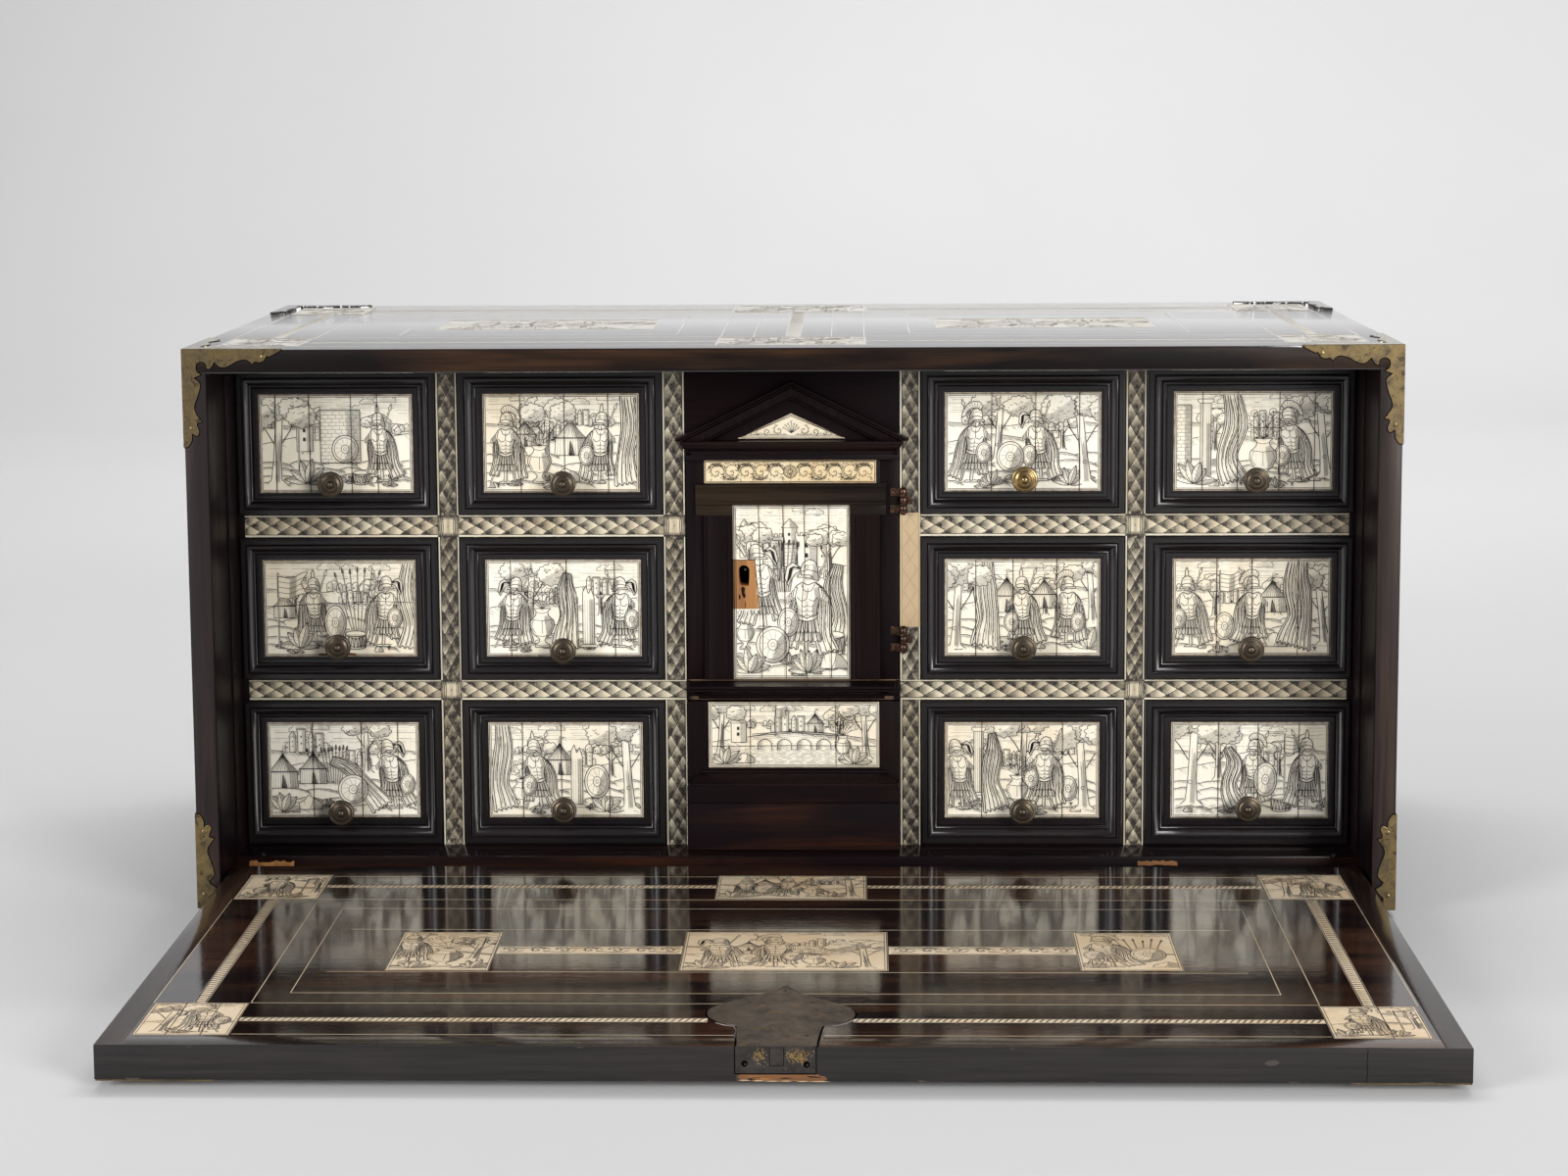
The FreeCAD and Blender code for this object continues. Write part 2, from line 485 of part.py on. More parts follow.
# the knobs were set by hand, so each sits a little off the middle of its plaque
SHIFT = {("one", "top"): (-2.5, -0.4), ("two", "top"): (2.4, -0.4), ("three", "top"): (0.8, 2.4), ("four", "top"): (1.0, 1.0),
         ("one", "middle"): (0.4, 1.4), ("two", "middle"): (0.6, -2.0), ("three", "middle"): (0.2, -0.4), ("four", "middle"): (-2.0, -1.2),
         ("one", "bottom"): (0.0, -1.8), ("two", "bottom"): (-0.8, 0.5), ("three", "bottom"): (-0.2, -0.3), ("four", "bottom"): (-3.0, 1.9)}
for col in NAMES:
    for r in ROWS:
        name = "drawer_%s_%s" % (col, r)
        left, right = "column_%s_left + front_gap" % col, "column_%s_right - front_gap" % col
        low, high = "%s_row_low + front_gap" % r, "%s_row_high - front_gap" % r
        pl, pr = "plaque_%s_left" % col, "plaque_%s_right" % col
        pz0, pz1 = "%s_plaque_low" % r, "%s_plaque_high" % r
        wide, tall = "(%s) - (%s)" % (right, left), "(%s) - (%s)" % (high, low)
        ul, ur = "(%s) - (%s)" % (pl, left), "(%s) - (%s)" % (right, pr)
        ub, ut = "(%s) - (%s)" % (pz0, low), "(%s) - (%s)" % (high, pz1)
        members = drawer_box(name, left, right, low, high, "drawer_length")
        members += [
            rail(name + "_rail_low", "low", wide, ub, ul, ur, left, "bank_setback", low),
            rail(name + "_rail_high", "high", wide, ut, ur, ul, right, "bank_setback", high),
            rail(name + "_rail_left", "left", tall, ul, ut, ub, left, "bank_setback", high),
            rail(name + "_rail_right", "right", tall, ur, ub, ut, right, "bank_setback", low),
        ]
        node(name + "_case", members)
        node(name + "_plaque", [block(name + "_ivory", (pl, pr), ("bank_setback - plaque_thickness", "bank_setback"), (pz0, pz1))])
        dx, dz = SHIFT[(col, r)]
        node(name + "_knob", [turned(name + "_knob_turned", KNOB, "(%s + %s)/2 + %s" % (pl, pr, dx),
                                     "bank_setback - plaque_thickness", "%s + knob_rise + %s" % (pz0, dz))])

# ---------------------------------------------------------------- the fall front
F0 = "flap_axis - flap_length"          # its front edge when open, from the case front
FZ = ("flap_low", "flap_high")
FLAP_PLAQUES = [
    ("flap_plaque_corner_a", ("-457.5", "-386"), ("-62.5", "10.5")),
    ("flap_plaque_corner_b", ("386.5", "458"), ("-59.5", "13.5")),
    ("flap_plaque_corner_c", ("-457", "-386.5"), ("-392", "-321")),
    ("flap_plaque_corner_d", ("384.5", "455"), ("-393", "-323")),
    ("flap_plaque_rear", ("-63", "62.5"), ("-60.5", "9")),
    ("flap_plaque_middle", ("-80.5", "78"), ("-245.5", "-147.5")),
    ("flap_plaque_small_a", ("-302.5", "-222.5"), ("-247", "-149")),
    ("flap_plaque_small_b", ("220.8", "298.8"), ("-244", "-148.5")),
]
Z_FLAP_INLAY = ("flap_high - inlay_thickness", "flap_high")
node("flap_inlays", [block(n, x, y, Z_FLAP_INLAY) for n, x, y in FLAP_PLAQUES])
flap_tools = [block(n + "_pocket", x, y, Z_FLAP_INLAY) for n, x, y in FLAP_PLAQUES]
flap_tools += [block("barrel_notch_%d" % i, ("%s - flap_hinge_width/2 - 0.4" % x, "%s + flap_hinge_width/2 + 0.4" % x),
                     ("flap_axis - flap_hinge_radius - 0.7", "flap_axis + 1"), ("flap_low", "flap_axis_height + flap_hinge_radius + 0.7"))
               for i, x in enumerate(HINGE_AT)]
LOCK_CASE_Y = (F0, F0 + " + 62")
flap_tools.append(block("lock_bed", ("-30.4", "25.4"), LOCK_CASE_Y, ("7", "flap_high")))
flap_tools.append(rod("flap_keyhole", "4", "12", "-1.6", F0 + " + 34", "0"))
flap_key_pipe = rod("flap_key_pipe", "4", "5", "-1.6", F0 + " + 34", "-1")
node("flap_board", [cut("flap_cut", block("flap_blank", ("-flap_width/2", "flap_width/2"), (F0, "flap_axis"), FZ), flap_tools)])

# ogee lock plate on the inner face, leaf on the edge, lock case in the thickness, key plate outside
lock_plate = padded("lock_plate", "XY_Plane",
                    [("-29.4", "0"), ("26", "0"), ("26", "8"), ("28.5", "38"), ("40", "50"), ("51", "62"), ("52.4", "72"), ("44", "86"),
                     ("30", "98"), ("14", "106"), ("6", "116"), ("1.2", "130"), ("-3.6", "116"), ("-12", "106"), ("-29", "98"),
                     ("-44", "86"), ("-53.4", "72"), ("-52", "62"), ("-42", "50"), ("-31", "38"), ("-29.4", "8")],
                    "0.8", "0", F0, "flap_high")
BOLT_X, BOLT_Z = ("-6.4", "3"), ("13", "24.8")
edge_leaf = cut("edge_leaf", block("edge_leaf_blank", ("-30.4", "25.4"), (F0, F0 + " + 1"), ("7", "flap_high")),
                [block("edge_slot", ("-6.8", "3.4"), (F0 + " - 1", F0 + " + 2"), ("12.6", "25.2")),
                 rod("edge_hole_a", "2.4", "4", "-24", F0 + " + 2.5", "14", ABOUT_X),
                 rod("edge_hole_b", "2.4", "4", "19", F0 + " + 2.5", "13.4", ABOUT_X)])
lock_case = cut("lock_case", block("lock_case_blank", ("-30.4", "25.4"), (F0 + " + 1", F0 + " + 62"), ("7", "flap_high")),
                [block("bolt_channel", ("-6.8", "3.4"), (F0 + " + 0.5", F0 + " + 40"), ("12.6", "25.2")),
                 rod("case_keyhole", "4", "12", "-1.6", F0 + " + 34", "1"),
                 rod("case_pocket_a", "2.4", "6", "-24", F0 + " + 5", "14", ABOUT_X),
                 rod("case_pocket_b", "2.4", "6", "19", F0 + " + 5", "13.4", ABOUT_X)])
key_plate = cut("key_plate", block("key_plate_blank", ("-17", "14"), (F0 + " + 12", F0 + " + 58"), ("0.2", "flap_low")), [flap_key_pipe])
node("flap_lock", [lock_plate, edge_leaf, lock_case, key_plate])
node("lock_bolt", [block("lock_bolt_bar", BOLT_X, (F0 + " + 0.2", F0 + " + 27"), BOLT_Z)])

# three hinges: a middle barrel with a leaf let into the underside of the case,
# end barrels with a leaf on the outer face of the fall front
ALONG_X = FreeCAD.Rotation(V(0, 1, 0), 90)
flap_moving = []
AY, AZ = "flap_axis", "flap_axis_height"
for i, x in enumerate(HINGE_AT):
    a, b = "%s - flap_hinge_width/6 + 0.2" % x, "%s + flap_hinge_width/6 - 0.2" % x
    bore = rod("flap_bore_%d" % i, "hinge_pin_radius + 0.05", "flap_hinge_width + 2", "%s - flap_hinge_width/2 - 1" % x, AY, AZ, ALONG_X)
    barrel = rod("flap_barrel_fixed_%d" % i, "flap_hinge_radius", "(%s) - (%s)" % (b, a), a, AY, AZ, ALONG_X)
    leaf = block("flap_leaf_fixed_%d" % i, (a, b), (AY + " + 0.5", AY + " + flap_leaf"), ("0.4", "1.6"))
    wide = block("flap_leaf_wide_%d" % i, ("%s - flap_hinge_width/2" % x, "%s + flap_hinge_width/2" % x), ("bottom_setback", AY + " + flap_leaf"), ("0.4", "1.6"))
    hinge_fixed.append(cut("flap_hinge_fixed_%d" % i, fuse("flap_fixed_blank_%d" % i, [barrel, leaf, wide]), [bore]))
    hinge_fixed.append(rod("flap_pin_%d" % i, "hinge_pin_radius", "flap_hinge_width", "%s - flap_hinge_width/2" % x, AY, AZ, ALONG_X))
    for k, (p, q) in enumerate((("%s - flap_hinge_width/2" % x, "%s - flap_hinge_width/6 - 0.2" % x),
                                ("%s + flap_hinge_width/6 + 0.2" % x, "%s + flap_hinge_width/2" % x))):
        bore2 = rod("flap_bore_%d_%d" % (i, k), "hinge_pin_radius + 0.05", "flap_hinge_width + 2", "%s - flap_hinge_width/2 - 1" % x, AY, AZ, ALONG_X)
        barrel2 = rod("flap_barrel_moving_%d_%d" % (i, k), "flap_hinge_radius", "(%s) - (%s)" % (q, p), p, AY, AZ, ALONG_X)
        leaf2 = block("flap_leaf_moving_%d_%d" % (i, k), (p, q), (AY + " - flap_leaf", AY + " - 0.5"), ("0.2", "flap_low"))
        flap_moving.append(cut("flap_hinge_moving_%d_%d" % (i, k), fuse("flap_moving_blank_%d_%d" % (i, k), [barrel2, leaf2]), [bore2]))
node("flap_hinge_leaves", flap_moving)
node("fixed_hinge_leaves", hinge_fixed)

# brass on the outer face of the fall front at its free corners, and a stub pin in its right edge
MZ = ("0.2", "flap_low")
node("flap_corner_mounts", [
    fuse("flap_mount_left", [block("flap_mount_la", ("-flap_width/2", "-flap_width/2 + mount_leg"), (F0, F0 + " + mount_width"), MZ),
                             block("flap_mount_lb", ("-flap_width/2", "-flap_width/2 + mount_width"), (F0, F0 + " + mount_leg"), MZ)]),
    fuse("flap_mount_right", [block("flap_mount_ra", ("flap_width/2 - mount_leg", "flap_width/2"), (F0, F0 + " + mount_width"), MZ),
                              block("flap_mount_rb", ("flap_width/2 - mount_width", "flap_width/2"), (F0, F0 + " + mount_leg"), MZ)]),
    rod("flap_stub_pin", "2.2", "2.6", "flap_width/2", "-350.5", "17", ALONG_X),
])

# ---------------------------------------------------------------- corner mounts of the case
T = "mount_thickness"


def corner(name, side, rear, high):
    """A bent brass corner of L-shaped leaves: front or back, side, and top where the corner is an upper one."""
    if side < 0:
        out = ("-%s - %s" % (W2, T), "-" + W2)
        legs = lambda w: ("-%s - %s" % (W2, T), "-%s + %s" % (W2, w))
    else:
        out = (W2, "%s + %s" % (W2, T))
        legs = lambda w: ("%s - %s" % (W2, w), "%s + %s" % (W2, T))
    if rear:
        face = ("carcass_depth", "carcass_depth + " + T)
        run = lambda w: ("carcass_depth - " + w, "carcass_depth + " + T)
    else:
        face = ("-" + T, "0")
        run = lambda w: ("-" + T, w)
    if high:
        rise = lambda w: ("carcass_height - " + w, "carcass_height + " + T)
        over = ("carcass_height", "carcass_height + " + T)
    else:
        rise = lambda w: ("0", w)
    members = [block(name + "_face_up", legs("mount_width"), face, rise("mount_leg")),
               block(name + "_side_up", out, run("mount_width"), rise("mount_leg")),
               block(name + "_side_along", out, run("mount_leg"), rise("mount_width"))]
    if high:
        members += [block(name + "_face_along", legs("mount_leg"), face, rise("mount_width")),
                    block(name + "_over_along", legs("mount_leg"), run("mount_top_width"), over),
                    block(name + "_over_back", legs("mount_top_width"), run("mount_top_leg"), over)]
    return fuse(name, members)


node("corner_mounts", [corner("mount_top_left", -1, False, True), corner("mount_top_right", 1, False, True),
                       corner("mount_low_left", -1, False, False), corner("mount_low_right", 1, False, False)])
strike_plate = cut("strike_plate", block("strike_blank", ("-24", "20.6"), ("40", "61"), (TOP_UNDER, TOP_UNDER + " + 1")),
                   [block("strike_slot", ("-8.6", "5.2"), ("43.6", "59.8"), (TOP_UNDER + " - 1", TOP_UNDER + " + 2"))])
node("back_mounts", [corner("mount_back_left", -1, True, True), corner("mount_back_right", 1, True, True), strike_plate])

# ---------------------------------------------------------------- check and write
doc.recompute()
for o in doc.Objects:
    if "Invalid" in o.State or "Error" in o.State:
        raise SystemExit("failed object: %s %s" % (o.Name, o.State))
if len(NODES) > 60:
    raise SystemExit("too many nodes: %d" % len(NODES))
for o in NODES:
    s = o.Shape
    if s.isNull() or not s.isValid() or not s.Solids:
        raise SystemExit("bad shape: " + o.Label)
os.makedirs("parts", exist_ok=True)
for o in NODES:
    o.Shape.exportStep(os.path.join("parts", o.Label + ".step"))
print("%d nodes, %d solids" % (len(NODES), sum(len(o.Shape.Solids) for o in NODES)))
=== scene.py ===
import math
import random

import bmesh
import bpy
import numpy as np
from mathutils import Matrix, Vector


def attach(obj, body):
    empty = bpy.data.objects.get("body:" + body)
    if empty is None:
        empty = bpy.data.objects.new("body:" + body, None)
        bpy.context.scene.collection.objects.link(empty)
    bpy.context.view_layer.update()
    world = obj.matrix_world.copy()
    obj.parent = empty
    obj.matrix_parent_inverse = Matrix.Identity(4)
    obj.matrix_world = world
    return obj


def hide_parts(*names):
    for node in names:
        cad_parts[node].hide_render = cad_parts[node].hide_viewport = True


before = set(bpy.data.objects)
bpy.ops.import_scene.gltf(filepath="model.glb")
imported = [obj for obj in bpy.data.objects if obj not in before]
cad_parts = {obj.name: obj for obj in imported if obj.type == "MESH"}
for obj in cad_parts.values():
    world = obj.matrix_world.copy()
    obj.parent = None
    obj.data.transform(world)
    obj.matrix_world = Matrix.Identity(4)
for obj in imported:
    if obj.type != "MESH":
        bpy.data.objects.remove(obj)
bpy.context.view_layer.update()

# Everything below is written in millimetres in the case's own frame: X along the front,
# Y into the depth from the front edges of the case, Z up from its underside. M() turns it into metres.
DEPTH = 438.0


def M(x, y, z):
    return (x / 1000.0, (y - DEPTH / 2) / 1000.0, z / 1000.0)


# ------------------------------------------------------------------ camera
scene = bpy.context.scene
F_PX, CX, CY, CZ, YAW, PITCH, ROLL, SHIFT = 2900.44, 58.17, -2312.77, 695.86, 0.02721, 0.11211, 0.00648, -200.0
cam = bpy.data.objects.new("camera", bpy.data.cameras.new("camera"))
scene.collection.objects.link(cam)
scene.camera = cam
_fwd = Vector((-math.sin(YAW) * math.cos(PITCH), math.cos(YAW) * math.cos(PITCH), -math.sin(PITCH)))
_right = Vector((math.cos(YAW), math.sin(YAW), 0))
_down = _fwd.cross(_right)
_r = _right * math.cos(ROLL) + _down * math.sin(ROLL)
_d = -_right * math.sin(ROLL) + _down * math.cos(ROLL)
_m = Matrix((_r, -_d, -_fwd)).transposed().to_4x4()
_m.translation = Vector(M(CX, CY, CZ))
cam.matrix_world = _m
cam.data.sensor_width = 36.0
cam.data.lens = F_PX * 36.0 / 1600.0
cam.data.shift_y = SHIFT / 1600.0
cam.data.clip_start, cam.data.clip_end = 0.05, 60.0

# ------------------------------------------------------------------ materials


def new_mat(name):
    m = bpy.data.materials.new(name)
    m.use_nodes = True
    return m, m.node_tree, m.node_tree.nodes["Principled BSDF"]


def add(nt, kind, **inputs):
    n = nt.nodes.new(kind)
    for k, v in inputs.items():
        n.inputs[k.replace("_", " ")].default_value = v
    return n


def ramp(nt, fac, stops, interpolation="LINEAR"):
    n = nt.nodes.new("ShaderNodeValToRGB")
    n.color_ramp.interpolation = interpolation
    el = n.color_ramp.elements
    while len(el) < len(stops):
        el.new(0.5)
    for e, (p, c) in zip(el, stops):
        e.position = p
        e.color = (c, c, c, 1) if isinstance(c, (int, float)) else (*c, 1)
    nt.links.new(fac, n.inputs["Fac"])
    return n.outputs["Color"]


def coords(nt, scale, offset=(0, 0, 0), rotation=(0, 0, 0)):
    tc = nt.nodes.new("ShaderNodeTexCoord")
    mp = nt.nodes.new("ShaderNodeMapping")
    mp.inputs["Scale"].default_value = scale
    mp.inputs["Location"].default_value = offset
    mp.inputs["Rotation"].default_value = rotation
    nt.links.new(tc.outputs["Object"], mp.inputs["Vector"])
    return mp.outputs["Vector"]


def noise(nt, vec, scale=1.0, detail=6.0, rough=0.55, distortion=0.0):
    n = add(nt, "ShaderNodeTexNoise", Scale=scale, Detail=detail, Roughness=rough, Distortion=distortion)
    nt.links.new(vec, n.inputs["Vector"])
    return n.outputs["Fac"]


def mix(nt, fac, a, b, blend="MIX"):
    n = nt.nodes.new("ShaderNodeMix")
    n.data_type = "RGBA"
    n.blend_type = blend
    for sock, v in ((n.inputs[0], fac), (n.inputs[6], a), (n.inputs[7], b)):
        if isinstance(v, (int, float)):
            sock.default_value = v
        elif isinstance(v, tuple):
            sock.default_value = (*v, 1)
        else:
            nt.links.new(v, sock)
    return n.outputs[2]


def mul(nt, a, b, op="MULTIPLY"):
    n = nt.nodes.new("ShaderNodeMath")
    n.operation = op
    for sock, v in ((n.inputs[0], a), (n.inputs[1], b)):
        if isinstance(v, (int, float)):
            sock.default_value = v
        else:
            nt.links.new(v, sock)
    return n.outputs[0]


def span(nt, fac, lo, hi, a=0.0, b=1.0):
    n = nt.nodes.new("ShaderNodeMapRange")
    n.inputs[1].default_value, n.inputs[2].default_value = a, b
    n.inputs[3].default_value, n.inputs[4].default_value = lo, hi
    nt.links.new(fac, n.inputs[0])
    return n.outputs[0]


def bump(nt, bsdf, height, strength, distance, base=None):
    n = add(nt, "ShaderNodeBump", Strength=strength, Distance=distance)
    nt.links.new(height, n.inputs["Height"])
    if base is not None:
        nt.links.new(base, n.inputs["Normal"])
    nt.links.new(n.outputs["Normal"], bsdf.inputs["Normal"])
    return n.outputs["Normal"]


AXIS = {"X": 0, "Y": 1, "Z": 2}


def grain_scale(axis, along, across):
    s = [across] * 3
    s[AXIS[axis]] = along
    return tuple(s)


def ebony(name, axis="X", dark=(0.0070, 0.0036, 0.0044), brown=(0.034, 0.013, 0.007), amount=0.5, rough=(0.22, 0.42), spec=0.24,
          coat=0.0, seed=0.0, scratches=0.0):
    """Near-black wood with brown figure, fine open grain and a rubbed finish."""
    m, nt, b = new_mat(name)
    fine = noise(nt, coords(nt, grain_scale(axis, 9, 260), (seed, seed, seed)), 1.0, 7, 0.65, 0.2)
    broad = noise(nt, coords(nt, grain_scale(axis, 2.2, 26), (seed * 2 + 3, seed, 1)), 1.0, 4, 0.5, 1.2)
    cloud = noise(nt, coords(nt, (7, 7, 7), (seed, 2, 5)), 1.0, 2, 0.5)
    fig = ramp(nt, mul(nt, broad, span(nt, cloud, 0.75, 1.15, 0.35, 0.65)), [(0.42, 0.0), (0.54, 0.55), (0.66, 1.0)])
    c = mix(nt, mul(nt, fig, amount), dark, brown)
    c = mix(nt, span(nt, fine, 0.0, 0.8, 0.35, 0.7), c, tuple(v * 0.35 for v in dark))
    nt.links.new(c, b.inputs["Base Color"])
    rr = span(nt, fine, rough[0], rough[1], 0.3, 0.75)
    if scratches:
        sc = noise(nt, coords(nt, (600, 14, 14), (1, seed, 2), (0.3, 0.2, 0.5)), 1.0, 3, 0.6)
        rr = mul(nt, rr, span(nt, sc, 1.0, 1.0 + scratches, 0.62, 0.75))
    nt.links.new(rr, b.inputs["Roughness"])
    b.inputs["Specular IOR Level"].default_value = spec
    if coat:
        b.inputs["Coat Weight"].default_value = coat
        b.inputs["Coat Roughness"].default_value = 0.07
    dents = noise(nt, coords(nt, (55, 55, 55), (4, seed, 2)), 1.0, 3, 0.6)
    n1 = bump(nt, b, fine, 0.16, 0.0004)
    bump(nt, b, dents, 0.10, 0.0012, n1)
    return m


def plain_wood(name, axis="X", light=(0.20, 0.115, 0.06), dark=(0.10, 0.05, 0.024), rough=0.6):
    m, nt, b = new_mat(name)
    fine = noise(nt, coords(nt, grain_scale(axis, 8, 210)), 1.0, 6, 0.6, 0.1)
    broad = noise(nt, coords(nt, grain_scale(axis, 2, 30), (2, 7, 1)), 1.0, 4, 0.5, 1.5)
    c = mix(nt, ramp(nt, broad, [(0.35, 0.0), (0.62, 1.0)]), light, dark)
    c = mix(nt, span(nt, fine, 0.0, 0.6, 0.45, 0.75), c, tuple(v * 0.55 for v in dark))
    nt.links.new(c, b.inputs["Base Color"])
    b.inputs["Roughness"].default_value = rough
    bump(nt, b, fine, 0.25, 0.0004)
    return m


def ivory(name, light=(0.82, 0.775, 0.66), warm=(0.70, 0.575, 0.38), amount=0.5, rough=0.32, axis="Z", seed=0.0):
    """Bone-coloured ivory: faint growth lines, yellowed patches, brown stain where the attribute 'stain' says so."""
    m, nt, b = new_mat(name)
    patch = noise(nt, coords(nt, (16, 16, 16), (seed, 3, seed)), 1.0, 4, 0.55, 0.6)
    lines = noise(nt, coords(nt, grain_scale(axis, 20, 480), (1, seed, 2)), 1.0, 4, 0.6, 0.3)
    spots = noise(nt, coords(nt, (230, 230, 230), (seed, 1, 8)), 1.0, 3, 0.6)
    c = mix(nt, mul(nt, ramp(nt, patch, [(0.42, 0.0), (0.68, 1.0)]), amount), light, warm)
    c = mix(nt, span(nt, lines, 0.0, 0.22, 0.45, 0.75), c, tuple(v * 0.72 for v in warm))
    at = nt.nodes.new("ShaderNodeAttribute")
    at.attribute_name = "stain"
    st = mul(nt, at.outputs["Fac"], span(nt, spots, 0.35, 1.0, 0.35, 0.65))
    c = mix(nt, st, c, (0.26, 0.15, 0.065))
    rub = nt.nodes.new("ShaderNodeAttribute")
    rub.attribute_name = "tone"
    c = mix(nt, mul(nt, rub.outputs["Fac"], span(nt, spots, 0.75, 1.0, 0.3, 0.7)), c, (0.13, 0.122, 0.105))
    nt.links.new(c, b.inputs["Base Color"])
    nt.links.new(span(nt, patch, rough - 0.06, rough + 0.12, 0.3, 0.7), b.inputs["Roughness"])
    b.inputs["Specular IOR Level"].default_value = 0.45
    bump(nt, b, lines, 0.12, 0.0003)
    return m


def ink(name, colour=(0.022, 0.019, 0.016), faded=(0.075, 0.065, 0.052), rough=0.6):
    m, nt, b = new_mat(name)
    f = noise(nt, coords(nt, (70, 70, 70)), 1.0, 4, 0.6)
    nt.links.new(mix(nt, ramp(nt, f, [(0.45, 0.0), (0.75, 0.8)]), colour, faded), b.inputs["Base Color"])
    b.inputs["Roughness"].default_value = rough
    b.inputs["Specular IOR Level"].default_value = 0.3 if rough > 0.3 else 0.5
    return m


def metal(name, bright, dull, amount=(0.35, 0.65), rough=(0.28, 0.5), metallic=1.0, scale=60, rust=None, seed=0.0):
    m, nt, b = new_mat(name)
    f = noise(nt, coords(nt, (scale, scale, scale), (seed, seed, 1)), 1.0, 6, 0.65, 0.4)
    g = noise(nt, coords(nt, (scale * 7, scale * 7, scale * 7), (2, seed, 3)), 1.0, 4, 0.6)
    c = mix(nt, ramp(nt, f, [(amount[0], 0.0), (amount[1], 1.0)]), bright, dull)
    c = mix(nt, span(nt, g, 0.0, 0.5, 0.5, 0.75), c, tuple(v * 0.5 for v in dull))
    if rust:
        h = noise(nt, coords(nt, (scale * 1.7, scale * 1.7, scale * 1.7), (9, 4, seed)), 1.0, 6, 0.7, 0.8)
        c = mix(nt, ramp(nt, h, [(0.55, 0.0), (0.63, 0.9)]), c, rust)
    nt.links.new(c, b.inputs["Base Color"])
    b.inputs["Metallic"].default_value = metallic
    nt.links.new(span(nt, f, rough[0], rough[1], 0.35, 0.7), b.inputs["Roughness"])
    n1 = bump(nt, b, g, 0.12, 0.0003)
    bump(nt, b, f, 0.15, 0.0008, n1)
    return m


EB_X = ebony("ebony_along", "X", brown=(0.020, 0.009, 0.006), spec=0.13)
EB_Z = ebony("ebony_upright", "Z", brown=(0.020, 0.009, 0.006), spec=0.13, seed=3.1)
EB_FRONT_X = ebony("ebony_front_rail", "X", dark=(0.0060, 0.0036, 0.0036), brown=(0.042, 0.021, 0.011), amount=1.0, rough=(0.28, 0.5), spec=0.11, seed=1.7)
EB_FRONT_Z = ebony("ebony_front_post", "Z", dark=(0.022, 0.0155, 0.0155), brown=(0.050, 0.029, 0.020), amount=0.8, rough=(0.28, 0.5), spec=0.2, seed=5.7)
EB_FRONT_ZR = ebony("ebony_front_post_brown", "Z", dark=(0.014, 0.0085, 0.0070), brown=(0.080, 0.036, 0.017), amount=0.9, rough=(0.3, 0.5), spec=0.16, seed=15.3)
EB_TOP = ebony("ebony_top", "X", brown=(0.032, 0.014, 0.008), amount=0.5, rough=(0.05, 0.14), spec=0.5, coat=0.9, seed=8.2, scratches=0.5)
EB_FLAP = ebony("ebony_fall_front", "X", dark=(0.009, 0.005, 0.005), brown=(0.075, 0.032, 0.016), amount=0.8, rough=(0.035, 0.10), coat=0.5, seed=2.4, scratches=0.6, spec=0.5)
EB_FLOOR = ebony("ebony_recess_floor", "X", brown=(0.022, 0.009, 0.006), amount=0.6, rough=(0.08, 0.2), seed=3.9, spec=0.5)
# its lighter grey base colour is painted sheen of the front light on this front-facing edge
EB_EDGE = ebony("ebony_edge", "X", dark=(0.022, 0.019, 0.019), brown=(0.032, 0.026, 0.025), amount=0.6, rough=(0.28, 0.45), seed=6.4, scratches=0.7)
EB_PLINTH = ebony("ebony_plinth", "X", brown=(0.034, 0.012, 0.006), amount=0.9, rough=(0.22, 0.4), spec=0.13, seed=4.4)
EB_RAIL = ebony("ebony_door_head", "X", dark=(0.009, 0.006, 0.0045), brown=(0.030, 0.018, 0.0095), amount=1.0, rough=(0.25, 0.45), spec=0.16, seed=7.9)
EB_CHEEK = ebony("ebony_cheek", "Z", dark=(0.0065, 0.0032, 0.0042), brown=(0.015, 0.006, 0.006), rough=(0.30, 0.5), spec=0.12, seed=3.4)
EB_GREY = ebony("ebony_grey", "Z", dark=(0.0080, 0.0042, 0.0046), brown=(0.015, 0.008, 0.006), amount=0.5, rough=(0.3, 0.45), spec=0.07, seed=9.3)
WOOD = plain_wood("carcass_wood", "X")
WOOD_Y = plain_wood("drawer_wood", "Y", (0.26, 0.155, 0.08), (0.13, 0.07, 0.035))
RAW = plain_wood("bare_wood", "Z", (0.52, 0.26, 0.080), (0.27, 0.11, 0.030), 0.7)
RAW_X = plain_wood("bare_wood_along", "X", (0.20, 0.082, 0.022), (0.075, 0.028, 0.009), 0.7)
IVORY = ivory("ivory")
IVORY_OLD = ivory("ivory_yellowed", (0.80, 0.73, 0.58), (0.68, 0.54, 0.33), 0.6, 0.3, "X", 4.0)
IVORY_FLAP = ivory("ivory_fall_front", (0.73, 0.60, 0.43), (0.60, 0.42, 0.23), 0.7, 0.26, "X", 7.0)
IVORY_STRIP = ivory("ivory_strip", (0.62, 0.58, 0.47), (0.48, 0.40, 0.26), 0.8, 0.36, "Z", 2.0)
INK = ink("engraved_line")
INK_SOFT = ink("engraved_shade", (0.075, 0.068, 0.058), (0.14, 0.128, 0.105))
# pale grey ink for the level top: painted reflection that washes out the engraving
INK_TOP = ink("engraved_line_top", (0.24, 0.22, 0.19), (0.34, 0.31, 0.26), 0.10)
EB_FIELD = ebony("ebony_field", "X", brown=(0.012, 0.005, 0.005), amount=0.6, rough=(0.25, 0.42), spec=0.06, seed=14.0)
IVORY_GOLD = ivory("ivory_frieze", (0.74, 0.63, 0.42), (0.58, 0.37, 0.14), 0.75, 0.3, "X", 9.0)
INK_BROWN = ink("engraved_line_brown", (0.055, 0.032, 0.015), (0.11, 0.065, 0.030))
